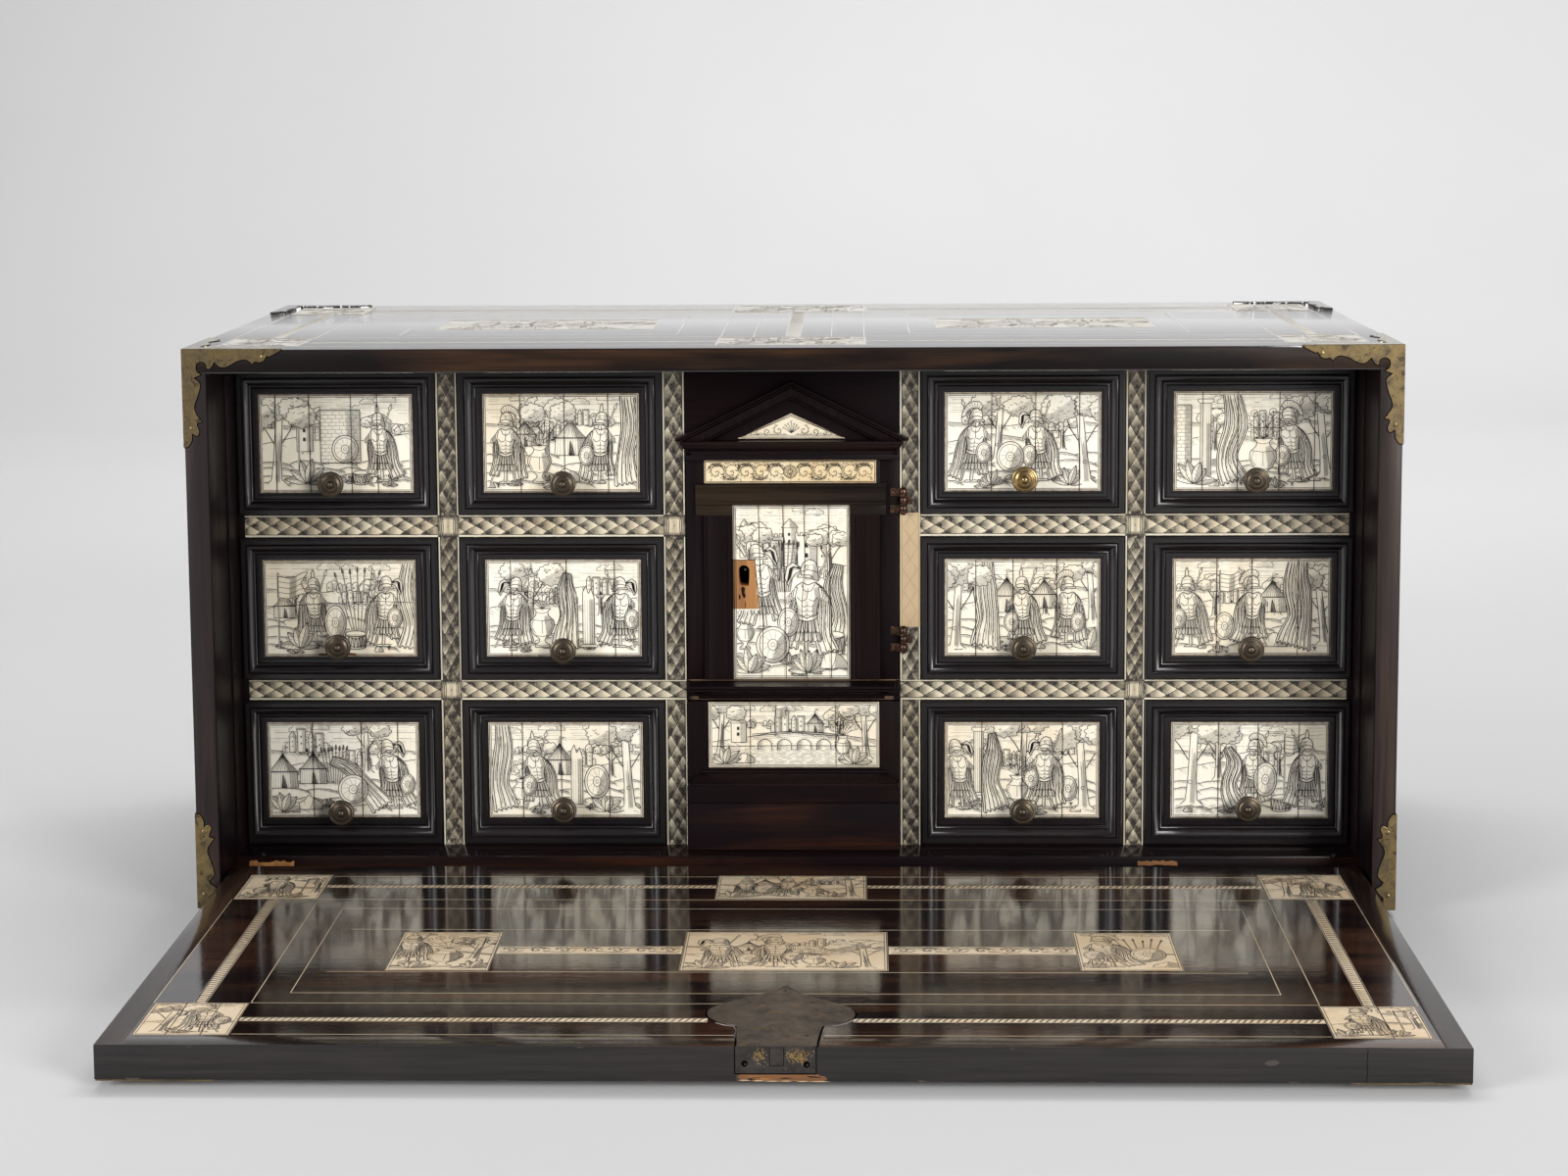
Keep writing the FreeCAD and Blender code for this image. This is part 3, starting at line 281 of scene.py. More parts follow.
# near-black: blackened wood on the door patch and on splinters, and painted shade in the strike plate's opening and
# behind the key hole
BLACKENED_WOOD_AND_HOLE_SHADE = ink("blackened_wood_and_hole_shade", (0.012, 0.009, 0.007), (0.05, 0.028, 0.015))
STEEL = metal("key_pin_steel", (0.42, 0.40, 0.37), (0.20, 0.18, 0.16), (0.3, 0.7), (0.25, 0.4), 1.0, 200)
# same lighter grey as the front edge: painted sheen of the front light
EB_EDGE_Y = ebony("ebony_edge_depth", "Y", dark=(0.022, 0.019, 0.019), brown=(0.032, 0.026, 0.025), amount=0.5, rough=(0.28, 0.45), seed=6.9)
EB_FLAP_Y = ebony("ebony_fall_border", "Y", dark=(0.020, 0.012, 0.009), brown=(0.085, 0.045, 0.026), amount=0.95, rough=(0.10, 0.22), coat=0.2, seed=21.0, scratches=0.4, spec=0.45)
EB_FLAP_EDGE = ebony("ebony_fall_front_band", "X", dark=(0.016, 0.009, 0.007), brown=(0.100, 0.042, 0.018), amount=0.95, rough=(0.12, 0.24), coat=0.2, seed=22.0, scratches=0.4, spec=0.45)
IVORY_LINE = ivory("ivory_string", (0.50, 0.42, 0.29), (0.34, 0.23, 0.13), 0.7, 0.3, "X", 15.0)
IVORY_TOP = ivory("ivory_top", (0.60, 0.57, 0.50), (0.50, 0.44, 0.34), 0.6, 0.14, "X", 16.0)
BARK = plain_wood("bare_wood_bright", "X", (0.36, 0.155, 0.040), (0.15, 0.058, 0.015), 0.7)
SPLINTER = plain_wood("bare_wood_pale", "X", (0.60, 0.47, 0.30), (0.34, 0.19, 0.08), 0.7)
SPLINTER_DULL = plain_wood("chipped_edge", "X", (0.26, 0.23, 0.21), (0.07, 0.055, 0.050), 0.7)
NICK = plain_wood("worn_black_edge", "X", (0.060, 0.042, 0.034), (0.012, 0.009, 0.008), 0.6)
# near-black with no specular: dark open joints, and painted shade in holes, under the edges of the corner mounts and
# through the door's key hole
DARK_GAP_AND_SHADE = ink("dark_gap_and_painted_shade", (0.003, 0.0025, 0.002), (0.006, 0.005, 0.004))
for _m in (DARK_GAP_AND_SHADE, BLACKENED_WOOD_AND_HOLE_SHADE):
    _m.node_tree.nodes["Principled BSDF"].inputs["Specular IOR Level"].default_value = 0.0
GILT = ink("worn_gilding", (0.46, 0.29, 0.075), (0.24, 0.14, 0.045), 0.4)
IRON_PLATE = metal("lock_plate_iron", (0.105, 0.080, 0.062), (0.042, 0.033, 0.028), (0.35, 0.65), (0.30, 0.5), 0.65, 60, (0.155, 0.088, 0.042), 5.0)
IRON_GILT = metal("lock_leaf_iron", (0.060, 0.052, 0.048), (0.028, 0.024, 0.023), (0.35, 0.65), (0.28, 0.48), 0.6, 110, None, 6.0)
BRASS_TOP = metal("brass_polished_level", (0.42, 0.36, 0.24), (0.24, 0.21, 0.15), (0.3, 0.7), (0.10, 0.22), 0.9, 45)
IRON_TOP = metal("iron_polished_level", (0.30, 0.29, 0.28), (0.16, 0.15, 0.145), (0.3, 0.7), (0.10, 0.22), 0.9, 45)
BRASS = metal("aged_brass", (0.275, 0.20, 0.086), (0.100, 0.076, 0.047), (0.32, 0.66), (0.30, 0.5), 0.9, 70, (0.050, 0.036, 0.026), 1.0)
BOLT_IRON = metal("bolt_iron", (0.105, 0.090, 0.086), (0.040, 0.033, 0.031), (0.3, 0.7), (0.25, 0.42), 0.9, 90)
BRONZE = metal("dark_bronze", (0.135, 0.104, 0.070), (0.060, 0.048, 0.038), (0.3, 0.7), (0.32, 0.5), 0.85, 120)
BRONZE_GOLD = metal("rubbed_bronze", (0.36, 0.255, 0.115), (0.15, 0.105, 0.055), (0.35, 0.8), (0.25, 0.42), 0.95, 120, seed=2.0)
IRON = metal("lock_iron", (0.045, 0.036, 0.030), (0.020, 0.016, 0.014), (0.3, 0.7), (0.32, 0.55), 0.75, 70, (0.16, 0.06, 0.022))
HINGE = metal("hinge_iron", (0.070, 0.042, 0.030), (0.026, 0.018, 0.014), (0.3, 0.7), (0.3, 0.5), 0.8, 200, (0.30, 0.11, 0.045), 3.0)

# ------------------------------------------------------------------ mesh helpers


def piece(name, verts, faces, mats, body, index=None, smooth=None, replaces=None, weld=False):
    """A mesh from millimetre points. smooth: angle in degrees under which edges are shaded smooth."""
    me = bpy.data.meshes.new(name)
    me.from_pydata([M(*v) for v in verts], [], faces)
    mats = mats if isinstance(mats, (list, tuple)) else [mats]
    for m in mats:
        me.materials.append(m)
    if index is not None:
        me.polygons.foreach_set("material_index", index)
    o = bpy.data.objects.new(name, me)
    scene.collection.objects.link(o)
    if weld:
        bm = bmesh.new()
        bm.from_mesh(me)
        bmesh.ops.remove_doubles(bm, verts=bm.verts, dist=1e-6)
        bmesh.ops.recalc_face_normals(bm, faces=bm.faces)
        bm.to_mesh(me)
        bm.free()
    if smooth is not None:
        me.polygons.foreach_set("use_smooth", [True] * len(me.polygons))
        me.set_sharp_from_angle(angle=math.radians(smooth))
    me.update()
    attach(o, body)
    if replaces:
        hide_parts(*([replaces] if isinstance(replaces, str) else replaces))
    return o


def boards(name, boxes, mats, body, bevel=0.5, replaces=None, wobble=0.0, seed=1):
    """Several boards with softened arrises in one mesh. boxes: (x0, x1, y0, y1, z0, z1[, material number])."""
    bm = bmesh.new()
    rnd = random.Random(seed)
    for b in boxes:
        x0, x1, y0, y1, z0, z1 = b[:6]
        r = bmesh.ops.create_cube(bm, size=1.0)
        for v in r["verts"]:
            v.co = Vector(M(x0 + (x1 - x0) * (v.co.x + 0.5), y0 + (y1 - y0) * (v.co.y + 0.5), z0 + (z1 - z0) * (v.co.z + 0.5)))
        faces = set(f for v in r["verts"] for f in v.link_faces)
        edges = set(e for v in r["verts"] for e in v.link_edges)
        w = bevel * rnd.uniform(1 - wobble, 1 + wobble)
        w = min(w, 0.42 * min(x1 - x0, y1 - y0, z1 - z0))
        out = bmesh.ops.bevel(bm, geom=list(edges), offset=w / 1000.0, segments=2, profile=0.6, affect="EDGES")
        if len(b) > 6:
            for f in set(out["faces"]) | set(f for f in faces if f.is_valid):
                f.material_index = b[6]
    me = bpy.data.meshes.new(name)
    bm.to_mesh(me)
    bm.free()
    for m in (mats if isinstance(mats, (list, tuple)) else [mats]):
        me.materials.append(m)
    me.polygons.foreach_set("use_smooth", [True] * len(me.polygons))
    me.set_sharp_from_angle(angle=math.radians(50))
    o = bpy.data.objects.new(name, me)
    scene.collection.objects.link(o)
    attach(o, body)
    if replaces:
        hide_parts(*([replaces] if isinstance(replaces, str) else replaces))
    return o


def loft(rings, closed=True, cap=True):
    """Verts and faces through rings of points with the same count."""
    n = len(rings[0])
    verts = [p for r in rings for p in r]
    faces = []
    m = n if closed else n - 1
    for i in range(len(rings) - 1):
        for j in range(m):
            a, b = i * n + j, i * n + (j + 1) % n
            faces.append((a, b, b + n, a + n))
    if cap and closed:
        faces.append(tuple(range(n - 1, -1, -1)))
        faces.append(tuple(range((len(rings) - 1) * n, len(rings) * n)))
    return verts, faces


def merge(parts):
    verts, faces = [], []
    for v, f in parts:
        k = len(verts)
        verts += v
        faces += [tuple(i + k for i in q) for q in f]
    return verts, faces


def lathe(profile, cx, cz, y0, n=40):
    """Turned about a line along Y: profile (radius, distance out to -Y)."""
    rings = []
    for r, t in profile:
        rings.append([(cx + r * math.cos(2 * math.pi * k / n), y0 - t, cz + r * math.sin(2 * math.pi * k / n)) for k in range(n)])
    return loft(rings, True, True)


def curve_profile(points, steps=4):
    """Round a chain of profile points with Catmull-Rom where a point is marked with a third value."""
    out = []
    n = len(points)
    for i in range(n - 1):
        p1, p2 = points[i], points[i + 1]
        out.append((p1[0], p1[1]))
        if len(p1) > 2 and len(p2) > 2:
            p0 = points[max(0, i - 1)]
            p3 = points[min(n - 1, i + 2)]
            for k in range(1, steps):
                t = k / steps
                q = []
                for a in (0, 1):
                    q.append(0.5 * (2 * p1[a] + (p2[a] - p0[a]) * t + (2 * p0[a] - 5 * p1[a] + 4 * p2[a] - p3[a]) * t * t
                                    + (3 * p1[a] - p0[a] - 3 * p2[a] + p3[a]) * t * t * t))
                out.append(tuple(q))
    out.append((points[-1][0], points[-1][1]))
    return out


# ------------------------------------------------------------------ engraving


CELL = 0.3


class Plate:
    """Line drawing in a flat frame (u, v), in millimetres. Near motifs come first and mask what lies behind them."""

    def __init__(self, w, h, seed=0, margin=2.2):
        self.w, self.h = w, h
        self.rnd = random.Random(seed)
        self.free = False
        self.masks = []
        self.dark, self.soft = [], []
        m = margin
        self.frame = (m, m, w - m, h - m)
        self.bold = (1.45, 1.0)

    @property
    def masks(self):
        return self._masks

    @masks.setter
    def masks(self, polys):
        self._masks = []
        self.cover = np.zeros((int((self.h + 4) / CELL) + 2, int((self.w + 4) / CELL) + 2), bool)
        for q in polys:
            self.mask(q[0])

    def inside_masks(self, p):
        if self.free:
            return np.zeros(len(p), bool)
        i = np.clip(((p[:, 0] + 2) / CELL).astype(int), 0, self.cover.shape[1] - 1)
        j = np.clip(((p[:, 1] + 2) / CELL).astype(int), 0, self.cover.shape[0] - 1)
        return self.cover[j, i]

    def line(self, pts, width=0.4, soft=False, step=1.0, taper=0.35):
        p = np.array(pts, float)
        if len(p) < 2:
            return
        seg = np.linalg.norm(np.diff(p, axis=0), axis=1)
        s = np.concatenate([[0], np.cumsum(seg)])
        if s[-1] < 0.25:
            return
        n = max(2, int(s[-1] / min(step, 0.5 if len(p) == 2 else step)) + 1)
        t = np.linspace(0, s[-1], n)
        q = np.stack([np.interp(t, s, p[:, 0]), np.interp(t, s, p[:, 1])], 1)
        x0, y0, x1, y1 = self.frame
        out = (q[:, 0] < x0) | (q[:, 0] > x1) | (q[:, 1] < y0) | (q[:, 1] > y1)
        ok = ~(out | self.inside_masks(q))
        i = 0
        dest = self.soft if soft else self.dark
        while i < n:
            if not ok[i]:
                i += 1
                continue
            j = i
            while j + 1 < n and ok[j + 1]:
                j += 1
            if j > i:
                run = q[i:j + 1]
                if len(p) == 2:
                    run = run[[0, -1]]
                dest.append((run, width * self.bold[1 if soft else 0], taper))
            i = j + 1

    def mask(self, poly):
        """Cover a shape, so that nothing drawn later shows inside it."""
        p = np.array(poly, float)
        self._masks.append((p, p.min(0), p.max(0)))
        ny, nx = self.cover.shape
        lo, hi = (p.min(0) + 2) / CELL, (p.max(0) + 2) / CELL
        i0, i1 = max(0, int(lo[0]) - 1), min(nx, int(hi[0]) + 2)
        j0, j1 = max(0, int(lo[1]) - 1), min(ny, int(hi[1]) + 2)
        if i1 <= i0 or j1 <= j0:
            return
        X = (np.arange(i0, i1) + 0.5) * CELL - 2
        Y = (np.arange(j0, j1) + 0.5) * CELL - 2
        c = np.zeros((j1 - j0, i1 - i0), bool)
        for (ax, ay), (bx, by) in zip(p, np.roll(p, -1, 0)):
            rows = np.where((ay > Y) != (by > Y))[0]
            if len(rows):
                xi = (bx - ax) * (Y[rows] - ay) / (by - ay) + ax
                c[rows] ^= X[None, :] < xi[:, None]
        self.cover[j0:j1, i0:i1] |= c

    def closed(self, poly, width=0.45, mask=True, soft=False):
        self.line(list(poly) + [poly[0]], width, soft, taper=1.0)
        if mask:
            self.mask(poly)

    def hatch(self, poly, angle=60, gap=0.9, width=0.22, soft=True, part=(0.0, 1.0), jitter=0.25):
        """Strokes across a shape. part: share of each crossing that is drawn, from its start."""
        p = np.array(poly, float)
        a = math.radians(angle)
        d = np.array([math.cos(a), math.sin(a)])
        nrm = np.array([-d[1], d[0]])
        k = p @ nrm
        lo, hi = k.min(), k.max()
        c = lo + gap * 0.6
        while c < hi:
            ts = []
            for i in range(len(p)):
                k1, k2 = k[i], k[(i + 1) % len(p)]
                if (k1 > c) != (k2 > c):
                    f = (c - k1) / (k2 - k1)
                    ts.append(float((p[i] + (p[(i + 1) % len(p)] - p[i]) * f) @ d))
            ts.sort()
            for t0, t1 in zip(ts[::2], ts[1::2]):
                L = t1 - t0
                a0 = t0 + L * max(0.0, part[0] + self.rnd.uniform(-jitter, jitter) * (part[0] > 0))
                a1 = t0 + L * min(1.0, part[1] + self.rnd.uniform(-jitter, jitter) * (part[1] < 1))
                if a1 - a0 > 0.3:
                    self.line([d * a0 + nrm * c, d * a1 + nrm * c], width, soft)
            c += gap * self.rnd.uniform(0.85, 1.15)

    # ---- motifs, each drawn near-first
    def arc(self, cx, cy, r, a0, a1, width=0.35, soft=False, n=9, ry=None):
        ry = r if ry is None else ry
        pts = [(cx + r * math.cos(math.radians(a0 + (a1 - a0) * i / (n - 1))), cy + ry * math.sin(math.radians(a0 + (a1 - a0) * i / (n - 1)))) for i in range(n)]
        self.line(pts, width, soft)
        return pts

    def clump(self, cx, cy, r, squash=0.75, n=None):
        """A cloud of leaves with scalloped edge, shaded on its lower right."""
        R = self.rnd
        n = n or max(6, int(r * 0.9) + 4)
        rim = []
        for i in range(n):
            a0, a1 = 2 * math.pi * i / n, 2 * math.pi * (i + 1) / n
            k = R.uniform(0.88, 1.08)
            for t in (0.0, 0.25, 0.5, 0.75):
                a = a0 + (a1 - a0) * t
                bulge = 1.0 + 0.16 * math.sin(math.pi * t)
                rim.append((cx + r * k * bulge * math.cos(a), cy + r * squash * k * bulge * math.sin(a)))
        self.closed(rim, 0.42, mask=False)
        for _ in range(int(r * 1.3)):
            a = R.uniform(0, 2 * math.pi)
            d = r * math.sqrt(R.uniform(0.02, 0.62))
            x, y = cx + d * math.cos(a), cy + d * squash * math.sin(a)
            s = R.uniform(0.9, 1.7)
            self.arc(x, y, s, 200 + R.uniform(-30, 30), 350 + R.uniform(-30, 30), 0.3, n=5)
        lower = [(x, y) for x, y in rim if (x - cx) * 0.55 - (y - cy) > -r * 0.12]
        if len(lower) > 3:
            self.hatch([(cx - r * 0.25, cy - r * squash * 0.2)] + sorted(lower, key=lambda p: math.atan2(p[1] - cy, p[0] - cx)), 38, 0.8, 0.24, True)
        self.mask(rim)

    def tree(self, x, y, s=1.0, lean=0.0, crowns=4):
        R = self.rnd
        H = 34 * s
        top = (x + lean * H * 0.5, y + H)
        spots = []
        for i in range(crowns):
            a = math.pi * (0.05 + 0.9 * i / max(1, crowns - 1)) + R.uniform(-0.2, 0.2)
            spots.append((top[0] + 11 * s * math.cos(a), top[1] + 6 * s * math.sin(a) + R.uniform(-2, 2) * s, R.uniform(6.5, 9.0) * s))
        spots.append((top[0] + R.uniform(-2, 2) * s, top[1] + 5 * s, 8.5 * s))
        spots.sort(key=lambda q: q[1])
        for cx, cy, r in spots:
            self.clump(cx, cy, r)
        w = 2.4 * s
        left = [(x - w * 2.1, y - 0.4), (x - w * 1.1, y + 2 * s), (x - w * 0.8 + lean * H * 0.15, y + H * 0.35), (top[0] - w * 0.75, top[1] - 2 * s)]
        right = [(top[0] + w * 0.6, top[1] - 2 * s), (x + w * 0.75 + lean * H * 0.15, y + H * 0.35), (x + w * 1.1, y + 2 * s), (x + w * 2.3, y - 0.6)]
        body = left + right
        for k in range(7):
            t = 0.35 + 0.6 * k / 7
            xx = x - w * 0.7 + 1.5 * w * t
            self.line([(xx, y + R.uniform(0, 2)), (xx + lean * H * 0.12, y + H * 0.3), (xx + lean * H * 0.35 + (top[0] - x - lean * H * 0.5), y + H * R.uniform(0.5, 0.85))], 0.24, True)
        self.arc(x - 0.2 * w, y + H * 0.3, 0.9 * s, 0, 330, 0.3)
        self.line(left, 0.45)
        self.line(right, 0.5)
        self.mask(body)
        for sgn in (-1, 1):
            self.line([(x + sgn * w * 0.5 + lean * H * 0.25, y + H * 0.55), (x + sgn * 6 * s + lean * H * 0.3, y + H * 0.78), (x + sgn * 9 * s, y + H * 0.92)], 0.6)

    def palm(self, x, y, s=1.0):
        R = self.rnd
        H = 30 * s
        for i in range(9):
            a = math.radians(-25 + 230 * i / 8)
            L = R.uniform(9, 12) * s
            pts = [(x + L * t * math.cos(a), y + H + L * t * math.sin(a) * 0.8 - 5 * s * t * t) for t in (0, 0.25, 0.5, 0.75, 1.0)]
            self.line(pts, 0.45)
            for k in range(1, 5):
                px, py = pts[k]
                self.line([(px, py), (px + 1.0 * s * math.cos(a - 1.9), py - 2.6 * s)], 0.28)
                self.line([(px, py), (px - 1.3 * s, py - 2.2 * s)], 0.28)
        for k in range(9):
            yy = y + H * k / 9
            self.arc(x + math.sin(k * 0.3) * 0.6, yy, 1.5 * s, 200, 340, 0.3, n=5)
        self.line([(x - 1.6 * s, y), (x - 1.1 * s, y + H * 0.5), (x - 0.7 * s, y + H)], 0.42)
        self.line([(x + 1.8 * s, y), (x + 1.2 * s, y + H * 0.5), (x + 0.8 * s, y + H)], 0.5)
        self.mask([(x - 1.6 * s, y), (x - 0.7 * s, y + H), (x + 0.8 * s, y + H), (x + 1.8 * s, y)])

    def tent(self, x, y, s=1.0, stripes=6):
        R = self.rnd
        w, h1, h2 = 12 * s, 13 * s, 15 * s
        door = [(x - 1.2 * s, y), (x - 0.2, y + h1 * 0.86), (x + 3.2 * s, y)]
        self.closed(door, 0.4, mask=False)
        self.hatch(door, 80, 0.45, 0.3, False)
        self.mask(door)
        wall = [(x - w, y), (x - w * 0.93, y + h1), (x + w * 0.93, y + h1), (x + w, y)]
        for i in range(1, stripes * 2):
            t = -1 + i / stripes
            self.line([(x + w * t, y), (x + w * 0.93 * t, y + h1)], 0.26, True)
        self.hatch([(x + w * 0.45, y), (x + w * 0.42, y + h1), (x + w * 0.93, y + h1), (x + w, y)], 82, 0.6, 0.24)
        self.closed(wall, 0.42)
        roof = [(x - w * 1.08, y + h1 - 1.4 * s)]
        for i in range(stripes * 2):
            a = x - w * 1.08 + 2.16 * w * (i + 0.5) / (stripes * 2)
            roof.append((a, y + h1 - 2.6 * s))
            roof.append((x - w * 1.08 + 2.16 * w * (i + 1) / (stripes * 2), y + h1 - 1.4 * s))
        roof += [(x + w * 0.55, y + h1 + h2 * 0.36), (x + w * 0.22, y + h1 + h2 * 0.72), (x, y + h1 + h2), (x - w * 0.22, y + h1 + h2 * 0.72), (x - w * 0.55, y + h1 + h2 * 0.36)]
        for i in range(1, stripes * 2):
            t = -1 + i / stripes
            self.line([(x + 1.08 * w * t, y + h1 - 1.2 * s), (x + w * 0.52 * t, y + h1 + h2 * 0.38), (x + w * 0.2 * t, y + h1 + h2 * 0.74), (x, y + h1 + h2)], 0.28, i % 2 == 0)
        self.hatch([(x + w * 1.05, y + h1 - 1.2 * s), (x + w * 0.52, y + h1 + h2 * 0.36), (x + w * 0.2, y + h1 + h2 * 0.72), (x, y + h1 + h2), (x + w * 0.3, y + h1 - 1.2 * s)], 118, 0.65, 0.24)
        self.line([(x - w * 1.08, y + h1 + 0.4 * s), (x + w * 1.08, y + h1 + 0.4 * s)], 0.36)
        self.closed(roof, 0.46)
        self.arc(x, y + h1 + h2 + 1.1 * s, 1.0 * s, 0, 360, 0.35)
        self.line([(x, y + h1 + h2 + 2 * s), (x, y + h1 + h2 + 6 * s)], 0.35)
        self.line([(x, y + h1 + h2 + 6 * s), (x + 5 * s, y + h1 + h2 + 5 * s), (x, y + h1 + h2 + 3.6 * s)], 0.32)

    def tower(self, x, y, w, h, roof=0.0, crenels=4):
        """A round tower, crenellated or with a conical roof."""
        top = [(x - w / 2, y), (x - w / 2, y + h)]
        if roof:
            top = [(x - w / 2, y), (x - w / 2, y + h), (x - w * 0.62, y + h), (x, y + h + roof), (x + w * 0.62, y + h), (x + w / 2, y + h), (x + w / 2, y)]
        else:
            e = w * 1.2
            pts = [(x - w / 2, y), (x - w / 2, y + h - w * 0.3), (x - e / 2, y + h - w * 0.12)]
            for i in range(crenels):
                a, b2 = x - e / 2 + e * i / crenels, x - e / 2 + e * (i + 0.55) / crenels
                pts += [(a, y + h + w * 0.18), (b2, y + h + w * 0.18), (b2, y + h), (x - e / 2 + e * (i + 1) / crenels, y + h)]
            top = pts + [(x + e / 2, y + h - w * 0.12), (x + w / 2, y + h - w * 0.3), (x + w / 2, y)]
        for k in range(2):
            wy = y + h * (0.35 + 0.3 * k)
            win = [(x - w * 0.12, wy), (x - w * 0.12, wy + w * 0.22), (x + w * 0.04, wy + w * 0.22), (x + w * 0.04, wy)]
            self.hatch(win, 90, 0.25, 0.26, False)
        self.hatch([(x + w * 0.12, y), (x + w * 0.12, y + h), (x + w / 2, y + h), (x + w / 2, y)], 0, 0.62, 0.24)
        if roof:
            self.hatch([(x, y + h), (x, y + h + roof), (x + w * 0.6, y + h)], 100, 0.55, 0.24)
        self.line([(x - w / 2, y + h), (x + w / 2, y + h)], 0.3)
        self.closed(top, 0.4)

    def castle(self, x, y, s=1.0, roofs=True):
        R = self.rnd
        plan = [(-11, 5.0, 13, 5), (-4, 6.2, 18, 0), (4, 4.6, 12, 5), (10.5, 6.0, 15, 0)]
        for dx, w, h, rf in plan:
            self.tower(x + dx * s, y, w * s, h * s * R.uniform(0.9, 1.1), rf * s if roofs else 0)
        wall = [(x - 17 * s, y), (x - 17 * s, y + 7 * s)]
        n = 16
        for i in range(n):
            a, b2 = x - 17 * s + 34 * s * i / n, x - 17 * s + 34 * s * (i + 0.5) / n
            wall += [(a, y + 8.4 * s), (b2, y + 8.4 * s), (b2, y + 7.2 * s), (x - 17 * s + 34 * s * (i + 1) / n, y + 7.2 * s)]
        wall += [(x + 17 * s, y)]
        gate = [(x - 1.2 * s, y), (x - 1.2 * s, y + 2.4 * s), (x, y + 3.6 * s), (x + 1.2 * s, y + 2.4 * s), (x + 1.2 * s, y)]
        self.hatch(gate, 90, 0.35, 0.28, False)
        self.mask(gate)
        for k in range(3):
            self.line([(x - 17 * s, y + (1.8 + 1.9 * k) * s), (x + 17 * s, y + (1.8 + 1.9 * k) * s)], 0.2, True)
        self.closed(wall, 0.36)

    def hill(self, pts, width=0.38, shade=0.0, drop=9.0):
        """A skyline; shade draws strokes that fall from it."""
        R = self.rnd
        p = np.array(pts, float)
        d = np.concatenate([[0], np.cumsum(np.linalg.norm(np.diff(p, axis=0), axis=1))])
        t = np.linspace(0, d[-1], max(8, int(d[-1] / 3)))
        # smooth the corner points
        q = np.stack([np.interp(t, d, p[:, 0]), np.interp(t, d, p[:, 1])], 1)
        for _ in range(3):
            q[1:-1] = (q[:-2] + 2 * q[1:-1] + q[2:]) / 4
        self.line(q, width)
        if shade:
            x = q[0, 0]
            while x < q[-1, 0]:
                yy = float(np.interp(x, q[:, 0], q[:, 1]))
                slope = float(np.interp(x + 1, q[:, 0], q[:, 1])) - yy
                if slope < 0.02 or R.random() < 0.25:
                    L = drop * R.uniform(0.35, 1.0) * shade
                    self.line([(x, yy - 0.3), (x + L * 0.42, yy - L * 0.55), (x + L * 0.95, yy - L * 0.8)], 0.24, True)
                x += R.uniform(0.8, 1.3)
        self.mask([tuple(v) for v in q] + [(q[-1, 0], -5), (q[0, 0], -5)])

    def ground(self, y=10.0, seed=0):
        R = self.rnd
        ys = [y + R.uniform(-1.5, 1.5) for _ in range(9)]
        pts = [(self.w * i / 8, ys[i]) for i in range(9)]
        for _ in range(16):
            x, yy = R.uniform(3, self.w - 6), R.uniform(3, y * 0.85)
            L = R.uniform(4, 12)
            self.line([(x, yy), (x + L * 0.5, yy + R.uniform(-0.5, 0.5)), (x + L, yy - 0.4)], 0.26, True)
        for _ in range(9):
            self.tuft(R.uniform(4, self.w - 4), R.uniform(3, y * 0.9), R.uniform(0.7, 1.2))
        self.hill(pts, 0.42, 0.45, 6)

    def tuft(self, x, y, s=1.0):
        for a in (-34, -17, 0, 16, 33):
            r = math.radians(90 + a)
            self.line([(x + a * 0.02 * s, y), (x + 1.4 * s * math.cos(r) * 0.7, y + 1.6 * s), (x + 2.9 * s * math.cos(r), y + 3.0 * s * math.sin(r))], 0.34)

    def plant(self, x, y, s=1.0, leaves=5):
        """Broad leaves from one root."""
        R = self.rnd
        order = sorted(range(leaves), key=lambda i: abs(i - (leaves - 1) / 2))
        for i in order:
            a = math.radians(25 + 130 * i / (leaves - 1) + R.uniform(-6, 6))
            L = R.uniform(9, 12.5) * s
            dx, dy = math.cos(a), math.sin(a)
            nx, ny = -dy, dx
            bend = -dx * 2.2 * s
            mid, up, lo = [], [], []
            for k in range(7):
                t = k / 6
                px = x + dx * L * t
                py = y + dy * L * t - 3.2 * s * t * t * abs(dx)
                w = 2.3 * s * math.sin(math.pi * min(1, t * 0.92 + 0.08)) * (1 - 0.25 * t)
                mid.append((px, py))
                up.append((px + nx * w, py + ny * w))
                lo.append((px - nx * w, py - ny * w))
            shape = up + lo[::-1]
            self.line(mid, 0.3)
            for k in range(1, 6):
                self.line([mid[k], ((up[k][0] + up[min(6, k + 1)][0]) / 2, (up[k][1] + up[min(6, k + 1)][1]) / 2)], 0.22, True)
            self.hatch(lo + mid[::-1], math.degrees(a) + 40, 0.55, 0.24)
            self.closed(shape, 0.42)

    def rock(self, x, y, s=1.0):
        R = self.rnd
        n = 8
        rim = [(x + 5 * s * math.cos(math.pi * i / (n - 1)) * R.uniform(0.85, 1.1), y + 5.5 * s * math.sin(math.pi * i / (n - 1)) * R.uniform(0.8, 1.15)) for i in range(n)]
        self.line([rim[3], (x + 0.5 * s, y + 2.4 * s), (x - 0.6 * s, y)], 0.3)
        self.line([rim[5], (x - 2.5 * s, y + 1.8 * s)], 0.28)
        self.hatch([(x + 0.5 * s, y), (x + 0.6 * s, y + 2.6 * s)] + rim[3::-1], 60, 0.62, 0.26)
        self.closed(rim, 0.46)

